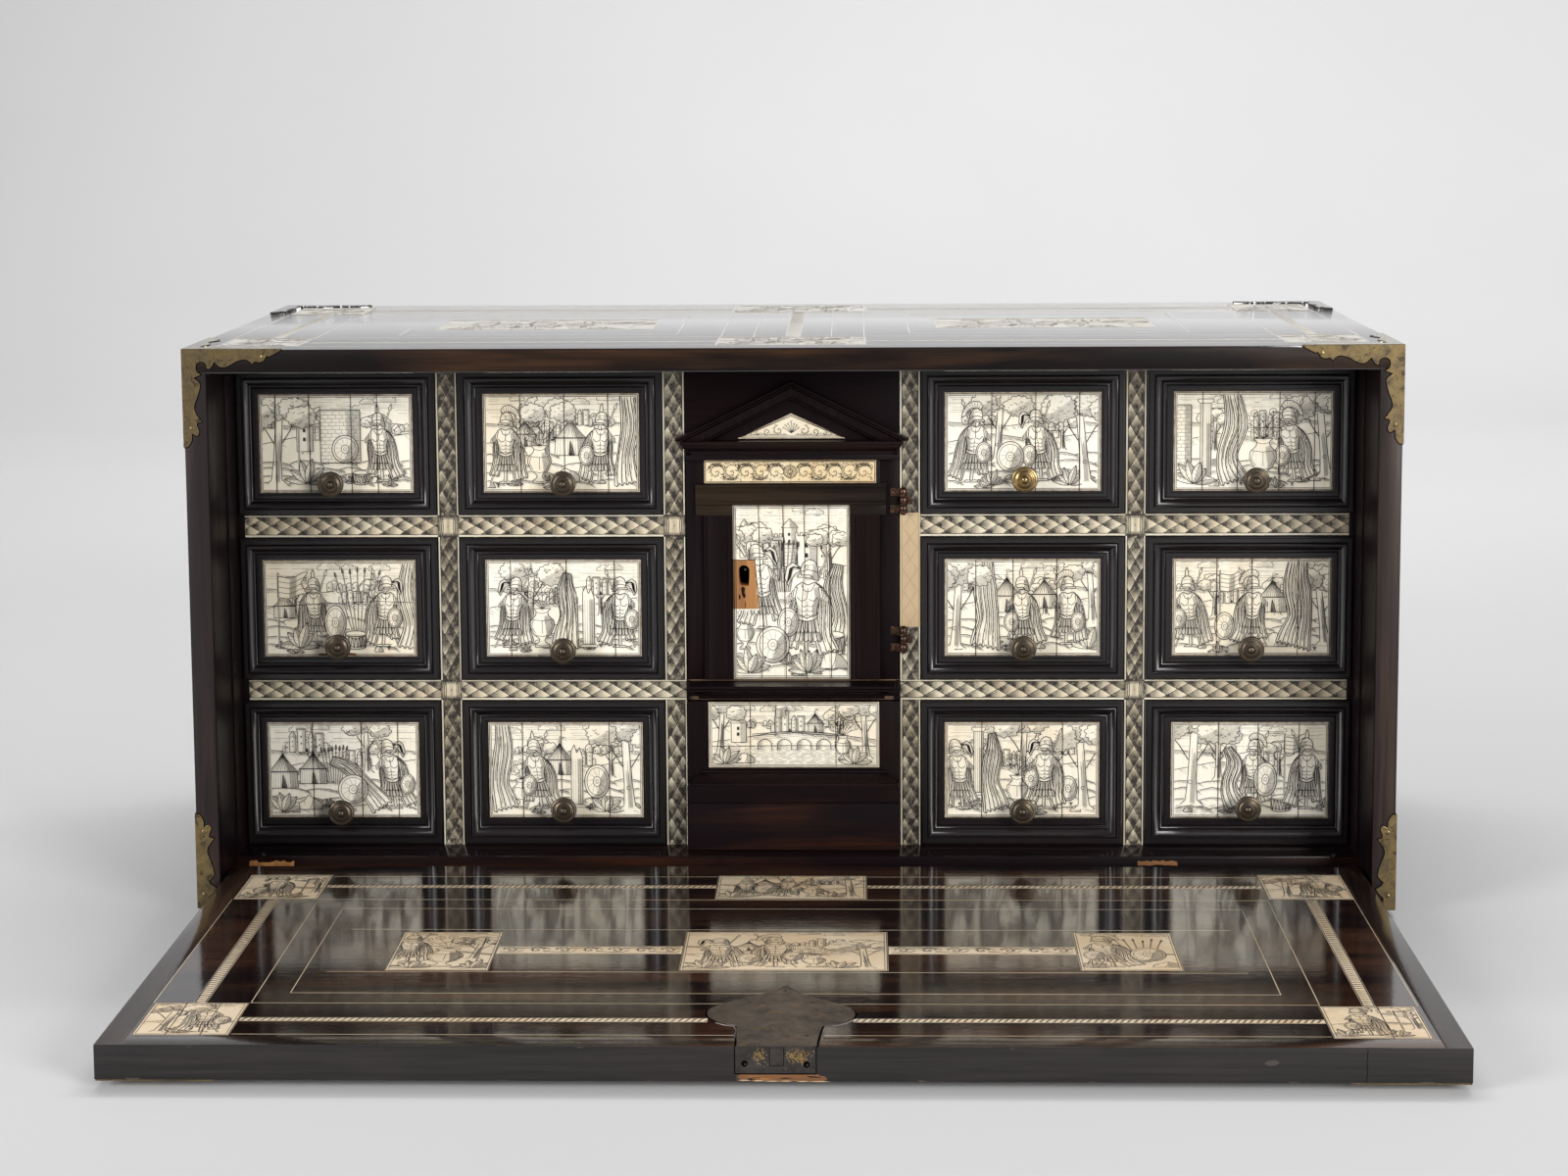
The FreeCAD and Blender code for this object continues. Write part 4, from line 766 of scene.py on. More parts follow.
    def shield(self, x, y, r=7.0, lean=0.8):
        rim = [(x + r * lean * math.cos(2 * math.pi * i / 22), y + r * math.sin(2 * math.pi * i / 22)) for i in range(22)]
        for k, w in ((0.82, 0.32), (0.3, 0.36), (0.12, 0.3)):
            self.line([(x + (p[0] - x) * k, y + (p[1] - y) * k) for p in rim + [rim[0]]], w)
        for i in range(0, 22, 2):
            a = 2 * math.pi * i / 22
            self.line([(x + r * lean * 0.34 * math.cos(a), y + r * 0.34 * math.sin(a)), (x + r * lean * 0.78 * math.cos(a + 0.18), y + r * 0.78 * math.sin(a + 0.18))], 0.26, True)
        self.hatch([rim[i] for i in range(-7, 4)] + [(x + r * 0.2, y + r * 0.1), (x, y - r * 0.7)], 55, 0.6, 0.24)
        self.closed(rim, 0.5)

    def banner(self, x, y, H=34, s=1.0, way=1):
        R = self.rnd
        up, lo = [], []
        for k in range(9):
            t = k / 8
            xx = x + way * 13 * s * t
            up.append((xx, y + H - 0.5 - 2.2 * s * math.sin(t * 5.2) * t))
            lo.append((xx - way * 1.0 * t, y + H - 9.5 * s - 2.0 * s * math.sin(t * 5.2 + 0.4) * t))
        for f in (0.25, 0.5, 0.75):
            self.line([(u[0] * (1 - f) + l[0] * f, u[1] * (1 - f) + l[1] * f) for u, l in zip(up, lo)], 0.3)
        flag = up + [(up[-1][0] - way * 3.2 * s, (up[-1][1] + lo[-1][1]) / 2)] + lo[::-1]
        self.hatch([up[3], up[4], up[5], lo[5], lo[4], lo[3]], 88, 0.55, 0.24)
        self.closed(flag, 0.42)
        pole = [(x - 0.45, y), (x - 0.45, y + H), (x, y + H + 3.4), (x + 0.45, y + H), (x + 0.45, y)]
        self.closed(pole, 0.32)

    def spears(self, x, y, n=4, H=36, fan=0.12):
        for i in range(n):
            a = (i - (n - 1) / 2) * fan
            tx, ty = x + (i - (n - 1) / 2) * 1.6 + H * math.sin(a), y + H * math.cos(a) * self.rnd.uniform(0.92, 1.05)
            bx = x + (i - (n - 1) / 2) * 1.6
            d = np.array([tx - bx, ty - y])
            d = d / np.linalg.norm(d)
            nn = np.array([-d[1], d[0]])
            b0, t0 = np.array([bx, y]), np.array([tx, ty])
            head = [tuple(t0 - d * 4), tuple(t0 - d * 2.6 + nn * 1.0), tuple(t0 + d * 1.2), tuple(t0 - d * 2.6 - nn * 1.0)]
            self.hatch(head, 80, 0.4, 0.24, False)
            self.closed(head, 0.34)
            self.closed([tuple(b0 + nn * 0.32), tuple(t0 - d * 4 + nn * 0.32), tuple(t0 - d * 4 - nn * 0.32), tuple(b0 - nn * 0.32)], 0.26)

    def drape(self, x0, x1, y0, y1, folds=6, swing=1.0):
        """A hanging curtain, gathered at the top."""
        R = self.rnd
        n = folds * 2
        lower = []
        for i in range(n + 1):
            t = i / n
            lower.append((x0 + (x1 - x0) * t + swing * 2.0 * math.sin(t * 3), y0 + (1.3 if i % 2 else -0.6)))
        shape = [(x0, y1)] + lower + [(x1, y1)]
        for i in range(1, n):
            t = i / n
            a = (x0 + (x1 - x0) * (0.5 + (t - 0.5) * 0.94), y1)
            m = (x0 + (x1 - x0) * t + swing * 1.2 * math.sin(t * 7), (y0 + y1) / 2)
            self.line([a, ((a[0] + m[0]) / 2 + 0.5 * swing, y1 * 0.75 + y0 * 0.25), m, lower[i]], 0.4 if i % 2 else 0.3)
            if i % 2:
                strip = [a, m, lower[i], lower[i + 1], (m[0] + (x1 - x0) / n * 0.8, m[1]), (a[0] + (x1 - x0) / n * 0.8, y1)]
                self.hatch(strip, 70, 0.7, 0.24, True, (0.0, 0.75), 0.15)
        self.closed(shape, 0.46)

    def urn(self, x, y, s=1.0, flowers=True):
        prof = [(2.6, 0), (2.8, 1.0), (1.2, 2.0), (1.0, 3.2), (3.2, 5.0), (4.6, 8.0), (4.4, 10.2), (2.4, 12.2), (2.1, 13.6), (3.4, 14.8)]
        if flowers:
            for i in range(7):
                a = math.radians(30 + 120 * i / 6)
                L = self.rnd.uniform(6, 10) * s
                hx, hy = x + L * math.cos(a), y + 15 * s + L * math.sin(a)
                self.arc(hx, hy, 1.3 * s, 0, 360, 0.34, n=8)
                self.arc(hx, hy, 0.45 * s, 0, 360, 0.3, n=5)
                self.line([(x, y + 14.5 * s), ((x + hx) / 2 + 0.6, (y + 15 * s + hy) / 2), (hx, hy - 1.3 * s)], 0.3)
                self.line([((x + hx) / 2, (y + 15 * s + hy) / 2), ((x + hx) / 2 + 1.8 * s, (y + 15 * s + hy) / 2 + 1.6 * s)], 0.34)
        left = [(x - r * s, y + h * s) for r, h in prof]
        right = [(x + r * s, y + h * s) for r, h in prof]
        for h in (1.0, 4.6, 10.6, 13.4):
            w = np.interp(h, [p[1] for p in prof], [p[0] for p in prof]) * s
            self.line([(x - w, y + h * s), (x, y + (h - 0.5) * s), (x + w, y + h * s)], 0.32)
        for k in (-0.5, 0.0, 0.5):
            self.line([(x + k * 4.8 * s, y + 5.2 * s), (x + k * 8.0 * s, y + 8 * s), (x + k * 6.4 * s, y + 10.4 * s)], 0.28)
        self.hatch(right[3:8] + [(x + 0.8 * s, y + 12 * s), (x + 1.6 * s, y + 5 * s)], 70, 0.55, 0.26)
        self.closed(left + right[::-1], 0.46)

    def column(self, x, y, H=40, w=5.0, broken=False):
        e = w * 0.75
        base = [(x - e, y), (x - e, y + 1.6), (x - w * 0.58, y + 2.6), (x + w * 0.58, y + 2.6), (x + e, y + 1.6), (x + e, y)]
        self.closed(base, 0.38)
        if broken:
            top = [(x - w / 2, y + H * 0.8), (x - w * 0.2, y + H * 0.9), (x, y + H * 0.78), (x + w * 0.25, y + H * 0.86), (x + w / 2, y + H * 0.72)]
        else:
            cap = [(x - e, y + H), (x - e, y + H - 1.8), (x - w * 0.56, y + H - 3.6), (x + w * 0.56, y + H - 3.6), (x + e, y + H - 1.8), (x + e, y + H)]
            self.closed(cap, 0.38)
            top = [(x - w / 2, y + H - 3.6), (x + w / 2, y + H - 3.6)]
        shaft = [(x - w / 2, y + 2.6)] + top + [(x + w / 2, y + 2.6)]
        for k in range(1, 5):
            xx = x - w / 2 + w * k / 5
            self.line([(xx, y + 2.6), (xx, y + H * (0.75 if broken else 1) - 3.6)], 0.26, k < 3)
        self.hatch([(x + w * 0.1, y + 2.6), (x + w * 0.1, y + H * 0.7), (x + w / 2, y + H * 0.7), (x + w / 2, y + 2.6)], 0, 0.6, 0.24)
        self.closed(shaft, 0.44)

    def flow(self, pts, widths, folds=5, seed=0):
        """A hanging cloth along a curved centre line, with folds that run into a turned hem."""
        R = self.rnd
        P = np.array(pts, float)
        n = 15
        T = np.linspace(0, 1, n)
        t = np.linspace(0, 1, len(P))
        c = np.stack([np.interp(T, t, P[:, 0]), np.interp(T, t, P[:, 1])], 1)
        for _ in range(4):
            c[1:-1] = (c[:-2] + 2 * c[1:-1] + c[2:]) / 4
        W = np.interp(T, np.linspace(0, 1, len(widths)), widths)
        d = np.gradient(c, axis=0)
        d /= np.linalg.norm(d, axis=1)[:, None]
        nr = np.stack([-d[:, 1], d[:, 0]], 1)
        wob = np.sin(T * 7 + R.uniform(0, 6)) * W * 0.07

        def at(f, i):
            return tuple(c[i] + nr[i] * ((f - 0.5) * W[i] + wob[i]))

        left, right = [at(0, i) for i in range(n)], [at(1, i) for i in range(n)]
        hem = []
        m = folds * 2
        for k in range(m + 1):
            f = k / m
            e = np.array(at(f, n - 1)) + d[-1] * ((1.5 if k % 2 else -0.9) * (W[-1] / 16) ** 0.5)
            hem.append(tuple(e))
        for k in range(1, m):
            f = k / m
            a, b = (0, n - 1) if k % 2 else (int(R.uniform(1, 4)), int(R.uniform(n * 0.6, n - 1)))
            sw = R.uniform(-0.04, 0.04)
            run = [at(f + sw * math.sin(T[i] * 6 + k), i) for i in range(a, b + 1)]
            self.line(run, 0.46 if k % 2 else 0.3, taper=0.4)
            if k % 2:
                self.line([run[-1], hem[k]], 0.4)
                for i in range(a, b):
                    if R.random() < 0.85:
                        q0, q1 = at(f, i), at(min(1, f + 0.62 / m), min(n - 1, i + 1))
                        self.line([q0, q1], 0.28, True)
                        q0, q1 = at(f, i), at(min(1, f + 0.4 / m), i)
                        self.line([((q0[0] + at(f, i + 1)[0]) / 2, (q0[1] + at(f, i + 1)[1]) / 2), q1], 0.26, True)
        self.closed(left + hem[1:-1] + right[::-1], 0.52)

    def armour(self, x, y, H, way=1, shield=True, cloak=1, spear=True):
        """A stand hung with a breastplate, a plumed helmet, a shield and a cloak."""
        R = self.rnd
        k = H / 60.0
        lean = R.uniform(-0.13, 0.13)
        crest = R.choice((0, 1, 2))

        def P(a, b):
            return (x + way * (a + lean * b) * k, y + b * k)

        def poly(pts):
            return [P(a, b) for a, b in pts]

        if shield:
            self.shield(x - way * 10.5 * k, y + R.uniform(20, 26) * k, 9.0 * k, 0.72)
        # helmet: comb, bowl, brim, cheek guard
        if crest == 1:
            comb = poly([(-5.2, 57), (-10, 60), (-13.5, 57), (-14.5, 50), (-12, 45), (-10.5, 49), (-8.0, 53), (-5.0, 54.5)])
            for i in range(8):
                self.line(poly([(-5.5, 55.5 + 0.25 * i), (-9.5 - 0.3 * i, 57.5 - 0.2 * i), (-11.0 - 0.3 * i, 50 - 0.5 * i)]), 0.34)
        elif crest == 2:
            comb = poly([(-1.4, 61), (-1.0, 66), (0.4, 69.5), (1.4, 66), (1.8, 61)])
        else:
            comb = poly([(-3.0, 59), (-4.5, 63.5), (-1.5, 67), (3.5, 67.5), (8.5, 65), (11.5, 60), (12.5, 54), (9.5, 55.5), (7.5, 59.5), (4.0, 61.5), (0, 61.5)])
        for i in range(9 if crest == 0 else 0):
            a = 150 - 17 * i
            self.line([P(2.5 + 4.6 * math.cos(math.radians(a)), 57.5 + 4.4 * math.sin(math.radians(a))), P(3.4 + 9.4 * math.cos(math.radians(a - 6)), 57.8 + 8.8 * math.sin(math.radians(a - 6)))], 0.34)
        bowl = poly([(-4.4, 52), (-5.0, 55.5), (-3.6, 59.6), (0, 61.8), (3.8, 60.6), (5.6, 56.8), (6.0, 52), (6.8, 48.5), (3.4, 49.2), (1.6, 52)])
        self.line(poly([(-4.8, 54), (-1, 55.2), (2.6, 54.8), (5.8, 53.5)]), 0.42)
        self.line(poly([(-3.4, 57.5), (-0.4, 58.6), (3.4, 58.0)]), 0.3, True)
        self.arc(P(1.2, 0)[0], P(0, 57.0)[1], 1.1 * k, 0, 360, 0.34, n=8)
        self.hatch(poly([(2.2, 50), (2.8, 60), (5.6, 56.8), (6.6, 49)]), 70, 0.6, 0.28)
        self.closed(bowl, 0.52)
        self.closed(poly([(-6.8, 50.6), (-5.6, 52.8), (-1.0, 52.6), (2.0, 51.6), (1.4, 50.2), (-2.5, 50.6)]), 0.44)
        self.closed(comb, 0.48)
        # shoulders and breastplate
        for sg in (-1, 1):
            for q in range(4):
                self.closed(poly([(sg * 6.5 + sg * q * 1.5, 44.5 - q * 1.6), (sg * 8.2 + sg * q * 1.5, 44.0 - q * 1.9), (sg * 9.4 + sg * q * 1.1, 37.5 - q * 1.0), (sg * 7.8 + sg * q * 1.1, 37.6 - q * 0.9)]), 0.4)
        body = poly([(-7.5, 45), (-4.0, 47.5), (0, 45.8), (4.0, 47.5), (7.5, 45), (8.2, 40), (6.8, 34.5), (5.8, 29.5), (6.6, 25.5), (3.2, 23.6), (0, 23.0), (-3.2, 23.6), (-6.6, 25.5), (-5.8, 29.5), (-6.8, 34.5), (-8.2, 40)])
        self.line(poly([(-6.6, 38.5), (-3.8, 35.6), (-0.4, 37.0), (0, 44)]), 0.4)
        self.line(poly([(6.6, 38.5), (3.8, 35.6), (0.4, 37.0)]), 0.4)
        for b in (33.0, 30.0, 27.2):
            self.line(poly([(-3.8, b), (-1.8, b - 0.9), (0, b + 0.2), (1.8, b - 0.9), (3.8, b)]), 0.32)
        self.line(poly([(0, 36), (0.2, 24)]), 0.3)
        self.line(poly([(-6.2, 27.6), (0, 25.0), (6.2, 27.6)]), 0.42)
        self.line(poly([(-4.2, 46.5), (-2.5, 42.6), (0, 41.4), (2.5, 42.6), (4.2, 46.5)]), 0.4)
        self.hatch(poly([(3.4, 25), (3.0, 33), (4.6, 38), (3.6, 44), (7.2, 44.5), (8.0, 40), (6.6, 34.5), (5.6, 29.5), (6.2, 26)]), 62, 0.62, 0.3)
        self.hatch(poly([(-5.6, 25.5), (-5.2, 30), (-6.2, 35), (-4.4, 31), (-3.6, 25)]), 118, 0.7, 0.28)
        self.closed(body, 0.55)
        # strips below the waist, in two rows
        for row, (y1, y0, w1, w0) in enumerate(((25.2, 17.0, 6.3, 8.4), (20.0, 11.5, 7.2, 10.0))):
            n = 7
            for q in range(n):
                a0, a1 = -1 + 2 * q / n, -1 + 2 * (q + 0.94) / n
                strip = poly([(a0 * w1, y1 - 1.2 * (1 - abs(a0))), (a1 * w1, y1 - 1.2 * (1 - abs(a1))), (a1 * w0, y0), ((a0 + a1) / 2 * w0, y0 - 1.4), (a0 * w0, y0)])
                self.line([((strip[0][0] + strip[1][0]) / 2, strip[0][1]), (strip[3][0], strip[3][1] + 1.6 * k)], 0.26, True)
                if (q + row) % 2:
                    self.hatch([strip[1], strip[2], strip[3], ((strip[0][0] + strip[1][0]) / 2, strip[0][1])], 80, 0.5, 0.28)
                self.closed(strip, 0.42)
        # stand
        self.hatch(poly([(0.2, 0), (0.2, 12), (1.3, 12), (1.3, 0)]), 0, 0.6, 0.28)
        self.closed(poly([(-1.2, 1.5), (-1.0, 14), (1.2, 14), (1.4, 1.5)]), 0.42)
        self.closed(poly([(-6.0, 0), (-4.5, 1.8), (4.8, 1.8), (6.4, 0)]), 0.46)
        if cloak:
            sg = 1 if cloak > 0 else -1
            self.flow([P(sg * 4, 46), P(sg * 9.5, 40), P(sg * 11.5, 26), P(sg * 10.0, 14), P(sg * 13.5, 4)], [3 * k, 7 * k, 10 * k, 11 * k, 13 * k], 4)
            self.flow([P(-sg * 4, 45), P(-sg * 8.5, 34), P(-sg * 7.5, 20), P(-sg * 9.5, 7)], [2.5 * k, 5 * k, 6.5 * k, 8.5 * k], 3)
        if spear:
            a = R.uniform(0.14, 0.3) * way
            b0, t0 = np.array(P(-way * 0 - 13 * (1 if way > 0 else 1), 0)), np.array(P(13, 68))
            dd = (t0 - b0) / np.linalg.norm(t0 - b0)
            nn = np.array([-dd[1], dd[0]])
            head = [tuple(t0 - dd * 5), tuple(t0 - dd * 3.2 + nn * 1.3), tuple(t0 + dd * 1.6), tuple(t0 - dd * 3.2 - nn * 1.3)]
            self.closed(head, 0.4)
            self.closed([tuple(b0 + nn * 0.5), tuple(t0 - dd * 5 + nn * 0.5), tuple(t0 - dd * 5 - nn * 0.5), tuple(b0 - nn * 0.5)], 0.34)

    def drum(self, x, y, s=1.0):
        w, h = 7 * s, 8.5 * s
        top = [(x + w * math.cos(2 * math.pi * i / 18), y + h + 2.0 * s * math.sin(2 * math.pi * i / 18)) for i in range(18)]
        self.hatch(top[10:18] + [(x, y + h)], 10, 0.7, 0.26)
        self.closed(top, 0.48)
        side = [(x - w, y + h)] + [(x - w * math.cos(math.pi * i / 8), y - 2.0 * s * math.sin(math.pi * i / 8)) for i in range(9)] + [(x + w, y + h)]
        for i in range(6):
            a = x - w + 2 * w * i / 6
            self.line([(a, y + h - 1.2), (a + w / 6, y + 0.2 - 1.3 * s), (a + w / 3, y + h - 1.6)], 0.36)
        self.line([(x - w, y + h - 1.8), (x, y + h - 3.8 * s), (x + w, y + h - 1.8)], 0.4)
        self.line([(x - w, y + 1.2), (x, y - 0.8 * s), (x + w, y + 1.2)], 0.4)
        self.hatch([(x + w * 0.3, y - 1.5), (x + w * 0.3, y + h), (x + w, y + h), (x + w, y)], 84, 0.6, 0.28)
        self.closed(side, 0.5)

    def undergrowth(self, n, y0, y1):
        """Small plants, grass and stones, nearest first."""
        R = self.rnd
        spots = sorted([(R.uniform(y0, y1), R.uniform(3, self.w - 3)) for _ in range(n)])
        for i, (y, x) in enumerate(spots):
            q = i % 4
            if q == 0:
                self.plant(x, y, R.uniform(0.6, 0.95), 5)
            elif q == 1:
                self.rock(x, y, R.uniform(0.6, 1.0))
            else:
                self.tuft(x, y, R.uniform(0.9, 1.5))

    def mounds(self, y0, y1, rows=3):
        """Overlapping rolls of ground from front to back, each shaded below its rim."""
        R = self.rnd
        for r in range(rows):
            y = y0 + (y1 - y0) * r / max(1, rows - 1)
            x = R.uniform(-12, 0)
            while x < self.w:
                L = R.uniform(26, 48)
                hh = R.uniform(2.5, 5.0)
                pts = [(x + L * t, y + hh * math.sin(math.pi * t) ** 0.8 + R.uniform(-0.4, 0.4)) for t in np.linspace(0, 1, 9)]
                self.line(pts, 0.42)
                for j in range(int(L / 1.05)):
                    t = (j + 0.5) * 1.05 / L
                    if t > 0.12:
                        yy = y + hh * math.sin(math.pi * min(1, t)) ** 0.8
                        q = R.uniform(0.5, 1.0) * (1.6 + 3.4 * t)
                        self.line([(x + L * t, yy - 0.3), (x + L * t + q * 0.3, yy - q * 0.5), (x + L * t + q * 0.75, yy - q * 0.72)], 0.3, True)
                self.mask([tuple(v) for v in pts] + [(x + L, y - 3.0), (x, y - 3.0)])
                x += L * R.uniform(0.72, 0.95)

    def town(self, x, y, s=1.0):
        """Roofs and walls packed behind each other."""
        R = self.rnd
        for i in range(7):
            xx = x + R.uniform(-16, 16) * s
            w, h = R.uniform(5, 8) * s, R.uniform(4, 9) * s
            yy = y + R.uniform(0, 4) * s
            self.hatch([(xx, yy), (xx, yy + h), (xx + w / 2, yy + h), (xx + w / 2, yy)], 0, 0.8, 0.26)
            self.hatch([(xx - w * 0.32, yy + h * 0.4), (xx - w * 0.32, yy + h * 0.7), (xx - w * 0.14, yy + h * 0.7), (xx - w * 0.14, yy + h * 0.4)], 90, 0.4, 0.34, False)
            self.closed([(xx - w / 2, yy), (xx - w / 2, yy + h), (xx, yy + h + w * 0.5), (xx + w / 2, yy + h), (xx + w / 2, yy)], 0.4)

    def masonry(self, x0, x1, y0, y1, course=3.2):
        """A wall face of dressed blocks."""
        y, k = y0, 0
        while y < y1 - 0.5:
            self.line([(x0, y), (x1, y + 0.2)], 0.34, True)
            x = x0 + (course if k % 2 else 0) + 1.0
            while x < x1 - 0.6:
                self.line([(x, y), (x, min(y1, y + course))], 0.32, True)
                x += course * 1.9 * self.rnd.uniform(0.85, 1.15)
            y += course
            k += 1
        self.hatch([(x0 + (x1 - x0) * 0.66, y0), (x0 + (x1 - x0) * 0.66, y1), (x1, y1), (x1, y0)], 52, 0.9, 0.3)
        self.closed([(x0, y0), (x0, y1), (x1, y1), (x1, y0)], 0.5)

    def tone(self, step=1.0, gain=1.0):
        """Grey rubbed into the surface beside the lines, as a grid over the plate."""
        nx, ny = int(self.w / step) + 3, int(self.h / step) + 3
        g = np.zeros((ny, nx))
        for src, k in ((self.dark, 1.0), (self.soft, 1.5)):
            for run, width, _t in src:
                seg = np.linalg.norm(np.diff(run, axis=0), axis=1)
                L = float(seg.sum())
                m = max(2, int(L / 0.5))
                s0 = np.concatenate([[0], np.cumsum(seg)])
                q = np.linspace(0, L, m)
                x = np.interp(q, s0, run[:, 0]) + 0.55
                y = np.interp(q, s0, run[:, 1]) - 0.45
                ix = np.clip((x / step).round().astype(int) + 1, 0, nx - 1)
                iy = np.clip((y / step).round().astype(int) + 1, 0, ny - 1)
                np.add.at(g, (iy, ix), width * k * L / m)
        for sigma in (1.15,):
            r = int(3 * sigma / step) + 1
            kk = np.exp(-0.5 * (np.arange(-r, r + 1) * step / sigma) ** 2)
            kk /= kk.sum()
            g = np.apply_along_axis(lambda v: np.convolve(v, kk, "same"), 0, g)
            g = np.apply_along_axis(lambda v: np.convolve(v, kk, "same"), 1, g)
        g = g / (step * step)
        return np.clip((g - 0.20) * 0.75 * gain, 0, 0.6)

    def bridge(self, x0, x1, y, s=1.0, arches=3):
        w = (x1 - x0) / arches
        for i in range(arches):
            cx = x0 + w * (i + 0.5)
            r = w * 0.36
            hole = [(cx - r, y - 4)] + [(cx - r * math.cos(math.pi * k / 10), y + r * 0.95 * math.sin(math.pi * k / 10)) for k in range(11)] + [(cx + r, y - 4)]
            self.line(hole, 0.42)
            for k in range(1, 10):
                a = math.pi * k / 10
                self.line([(cx - r * math.cos(a), y + r * 0.95 * math.sin(a)), (cx - (r + 1.6) * math.cos(a), y + (r * 0.95 + 1.6) * math.sin(a))], 0.26)
            self.hatch(hole[:6] + [(cx - r * 0.3, y + r * 0.4), (cx - r * 0.5, y - 3)], 20, 0.6, 0.24)
        deck = [(x0 - 3, y - 4), (x0 - 3, y + w * 0.36 + 2.6), ((x0 + x1) / 2, y + w * 0.36 + 5.4), (x1 + 3, y + w * 0.36 + 2.6), (x1 + 3, y - 4)]
        self.line(deck[1:4], 0.45)
        self.line([(a, b2 + 1.6) for a, b2 in deck[1:4]], 0.4)
        for k in range(2):
            self.line([(a, b2 - 1.6 - 1.7 * k) for a, b2 in deck[1:4]], 0.22, True)

    def water(self, x0, x1, y0, y1):
        R = self.rnd
        y = y0
        while y < y1:
            x = x0 + R.uniform(0, 4)
            while x < x1 - 2:
                L = min(R.uniform(4, 13), x1 - x)
                self.line([(x, y), (x + L * 0.25, y + 0.35), (x + L * 0.5, y), (x + L * 0.75, y + 0.35), (x + L, y)], 0.28, True)
                x += L + R.uniform(1.0, 3.5)
            y += R.uniform(0.9, 1.3)

    def sky(self, y0, rows=6, clouds=2, birds=3):
        R = self.rnd
        w, h = self.w, self.h
        for _ in range(clouds):
            cx, cy, r = R.uniform(w * 0.15, w * 0.85), R.uniform(h - 10, h - 5), R.uniform(2.0, 3.2)
            rim = []
            for k in range(5):
                a = 180 - 36 * k
                bx, by = cx + r * 2.3 * math.cos(math.radians(a - 18)), cy + r * 0.9 * math.sin(math.radians(a - 18))
                rim += self.arc(bx, by, r, a + 40, a - 70, 0.34, n=6)
            self.line([(cx - r * 3.2, cy - 0.5), (cx + r * 3.2, cy - 0.5)], 0.3)
            self.hatch(rim, 0, 0.9, 0.22, True, (0.4, 0.95))
            self.mask(rim)
        for _ in range(birds):
            x, y = R.uniform(w * 0.2, w * 0.8), R.uniform(y0 + 2, h - 5)
            s = R.uniform(1.0, 1.7)
            self.line([(x - 2 * s, y + 0.9 * s), (x - 0.8 * s, y + 1.0 * s), (x, y), (x + 0.8 * s, y + 1.0 * s), (x + 2 * s, y + 0.9 * s)], 0.32)
        for k in range(rows):
            y = h - 3.0 - k * R.uniform(1.5, 2.3)
            x = R.uniform(2, 8)
            while x < w - 4:
                L = R.uniform(8, 30)
                self.line([(x, y), (min(w - 3, x + L), y + R.uniform(-0.2, 0.2))], 0.22, True)
                x += L + R.uniform(3, 12)

    def border(self, inset=1.6, width=0.5):
        self.free = True
        fr, self.frame = self.frame, (0, 0, self.w, self.h)
        a, b, c, d = inset, inset, self.w - inset, self.h - inset
        self.line([(a, b), (c, b)], width, taper=1)
        self.line([(c, b), (c, d)], width, taper=1)
        self.line([(c, d), (a, d)], width, taper=1)
        self.line([(a, d), (a, b)], width, taper=1)
        self.free, self.frame = False, fr

    def scroll(self, x, y, s=1.0, turn=1, rot=0.0, flip=1):
        """An acanthus volute with side leaves."""
        pts = []
        for k in range(26):
            t = k / 25
            a = rot + turn * (2.6 * math.pi * t)
            r = s * 5.6 * (1 - t) ** 0.9 + 0.25 * s
            pts.append((x + r * math.cos(a), y + flip * r * math.sin(a)))
        self.line(pts, 0.38)
        for k in range(1, 17, 2):
            px, py = pts[k]
            dx, dy = px - x, py - y
            L = math.hypot(dx, dy) or 1
            ox, oy = dx / L, dy / L
            tx, ty = -oy * turn * flip, ox * turn * flip
            q = 1.9 * s * (1 - k / 30)
            self.line([(px, py), (px + ox * q * 0.9 + tx * q * 0.5, py + oy * q * 0.9 + ty * q * 0.5), (px + ox * q * 0.7 + tx * q * 1.5, py + oy * q * 0.7 + ty * q * 1.5), (px + tx * q * 1.1, py + ty * q * 1.1)], 0.3)
        self.arc(x, y, 0.7 * s, 0, 360, 0.32, n=7)


def ribbons(lines, place, up=0.05, down=-0.2):
    """Slender closed wedges along the drawn lines, sunk into the surface. place(u, v, n) gives a millimetre point, n outwards."""
    verts, faces = [], []
    for run, width, taper in lines:
        n = len(run)
        if n < 2:
            continue
        d = np.gradient(run, axis=0)
        L = np.linalg.norm(d, axis=1)
        L[L == 0] = 1
        nx, ny = -d[:, 1] / L, d[:, 0] / L
        w = np.full(n, width / 2)
        if n > 2:
            w[0] *= taper
            w[-1] *= taper
        elif taper < 1:
            w[-1] *= 0.55
        k = len(verts)
        for i in range(n):
            verts.append(place(run[i, 0] + nx[i] * w[i], run[i, 1] + ny[i] * w[i], up))
            verts.append(place(run[i, 0] - nx[i] * w[i], run[i, 1] - ny[i] * w[i], up))
            verts.append(place(run[i, 0], run[i, 1], down))
        for i in range(n - 1):
            q = k + 3 * i
            faces += [(q, q + 1, q + 4, q + 3), (q + 1, q + 2, q + 5, q + 4), (q + 3, q + 5, q + 2, q)]
        e = k + 3 * (n - 1)
        faces += [(k, k + 2, k + 1), (e, e + 1, e + 2)]
    return verts, faces


def engrave(name, plate, place, body, mats=None):
    v1, f1 = ribbons(plate.dark, place)
    v2, f2 = ribbons(plate.soft, place)
    verts, faces = merge([(v1, f1), (v2, f2)])
    if not faces:
        return None
    return piece(name, verts, faces, mats or [INK, INK_SOFT], body, [0] * len(f1) + [1] * len(f2))


def on_front(x0, z0, y):
    return lambda u, v, n: (x0 + u, y - n, z0 + v)


def on_top(x0, y0, z):
    return lambda u, v, n: (x0 + u, y0 + v, z + n)


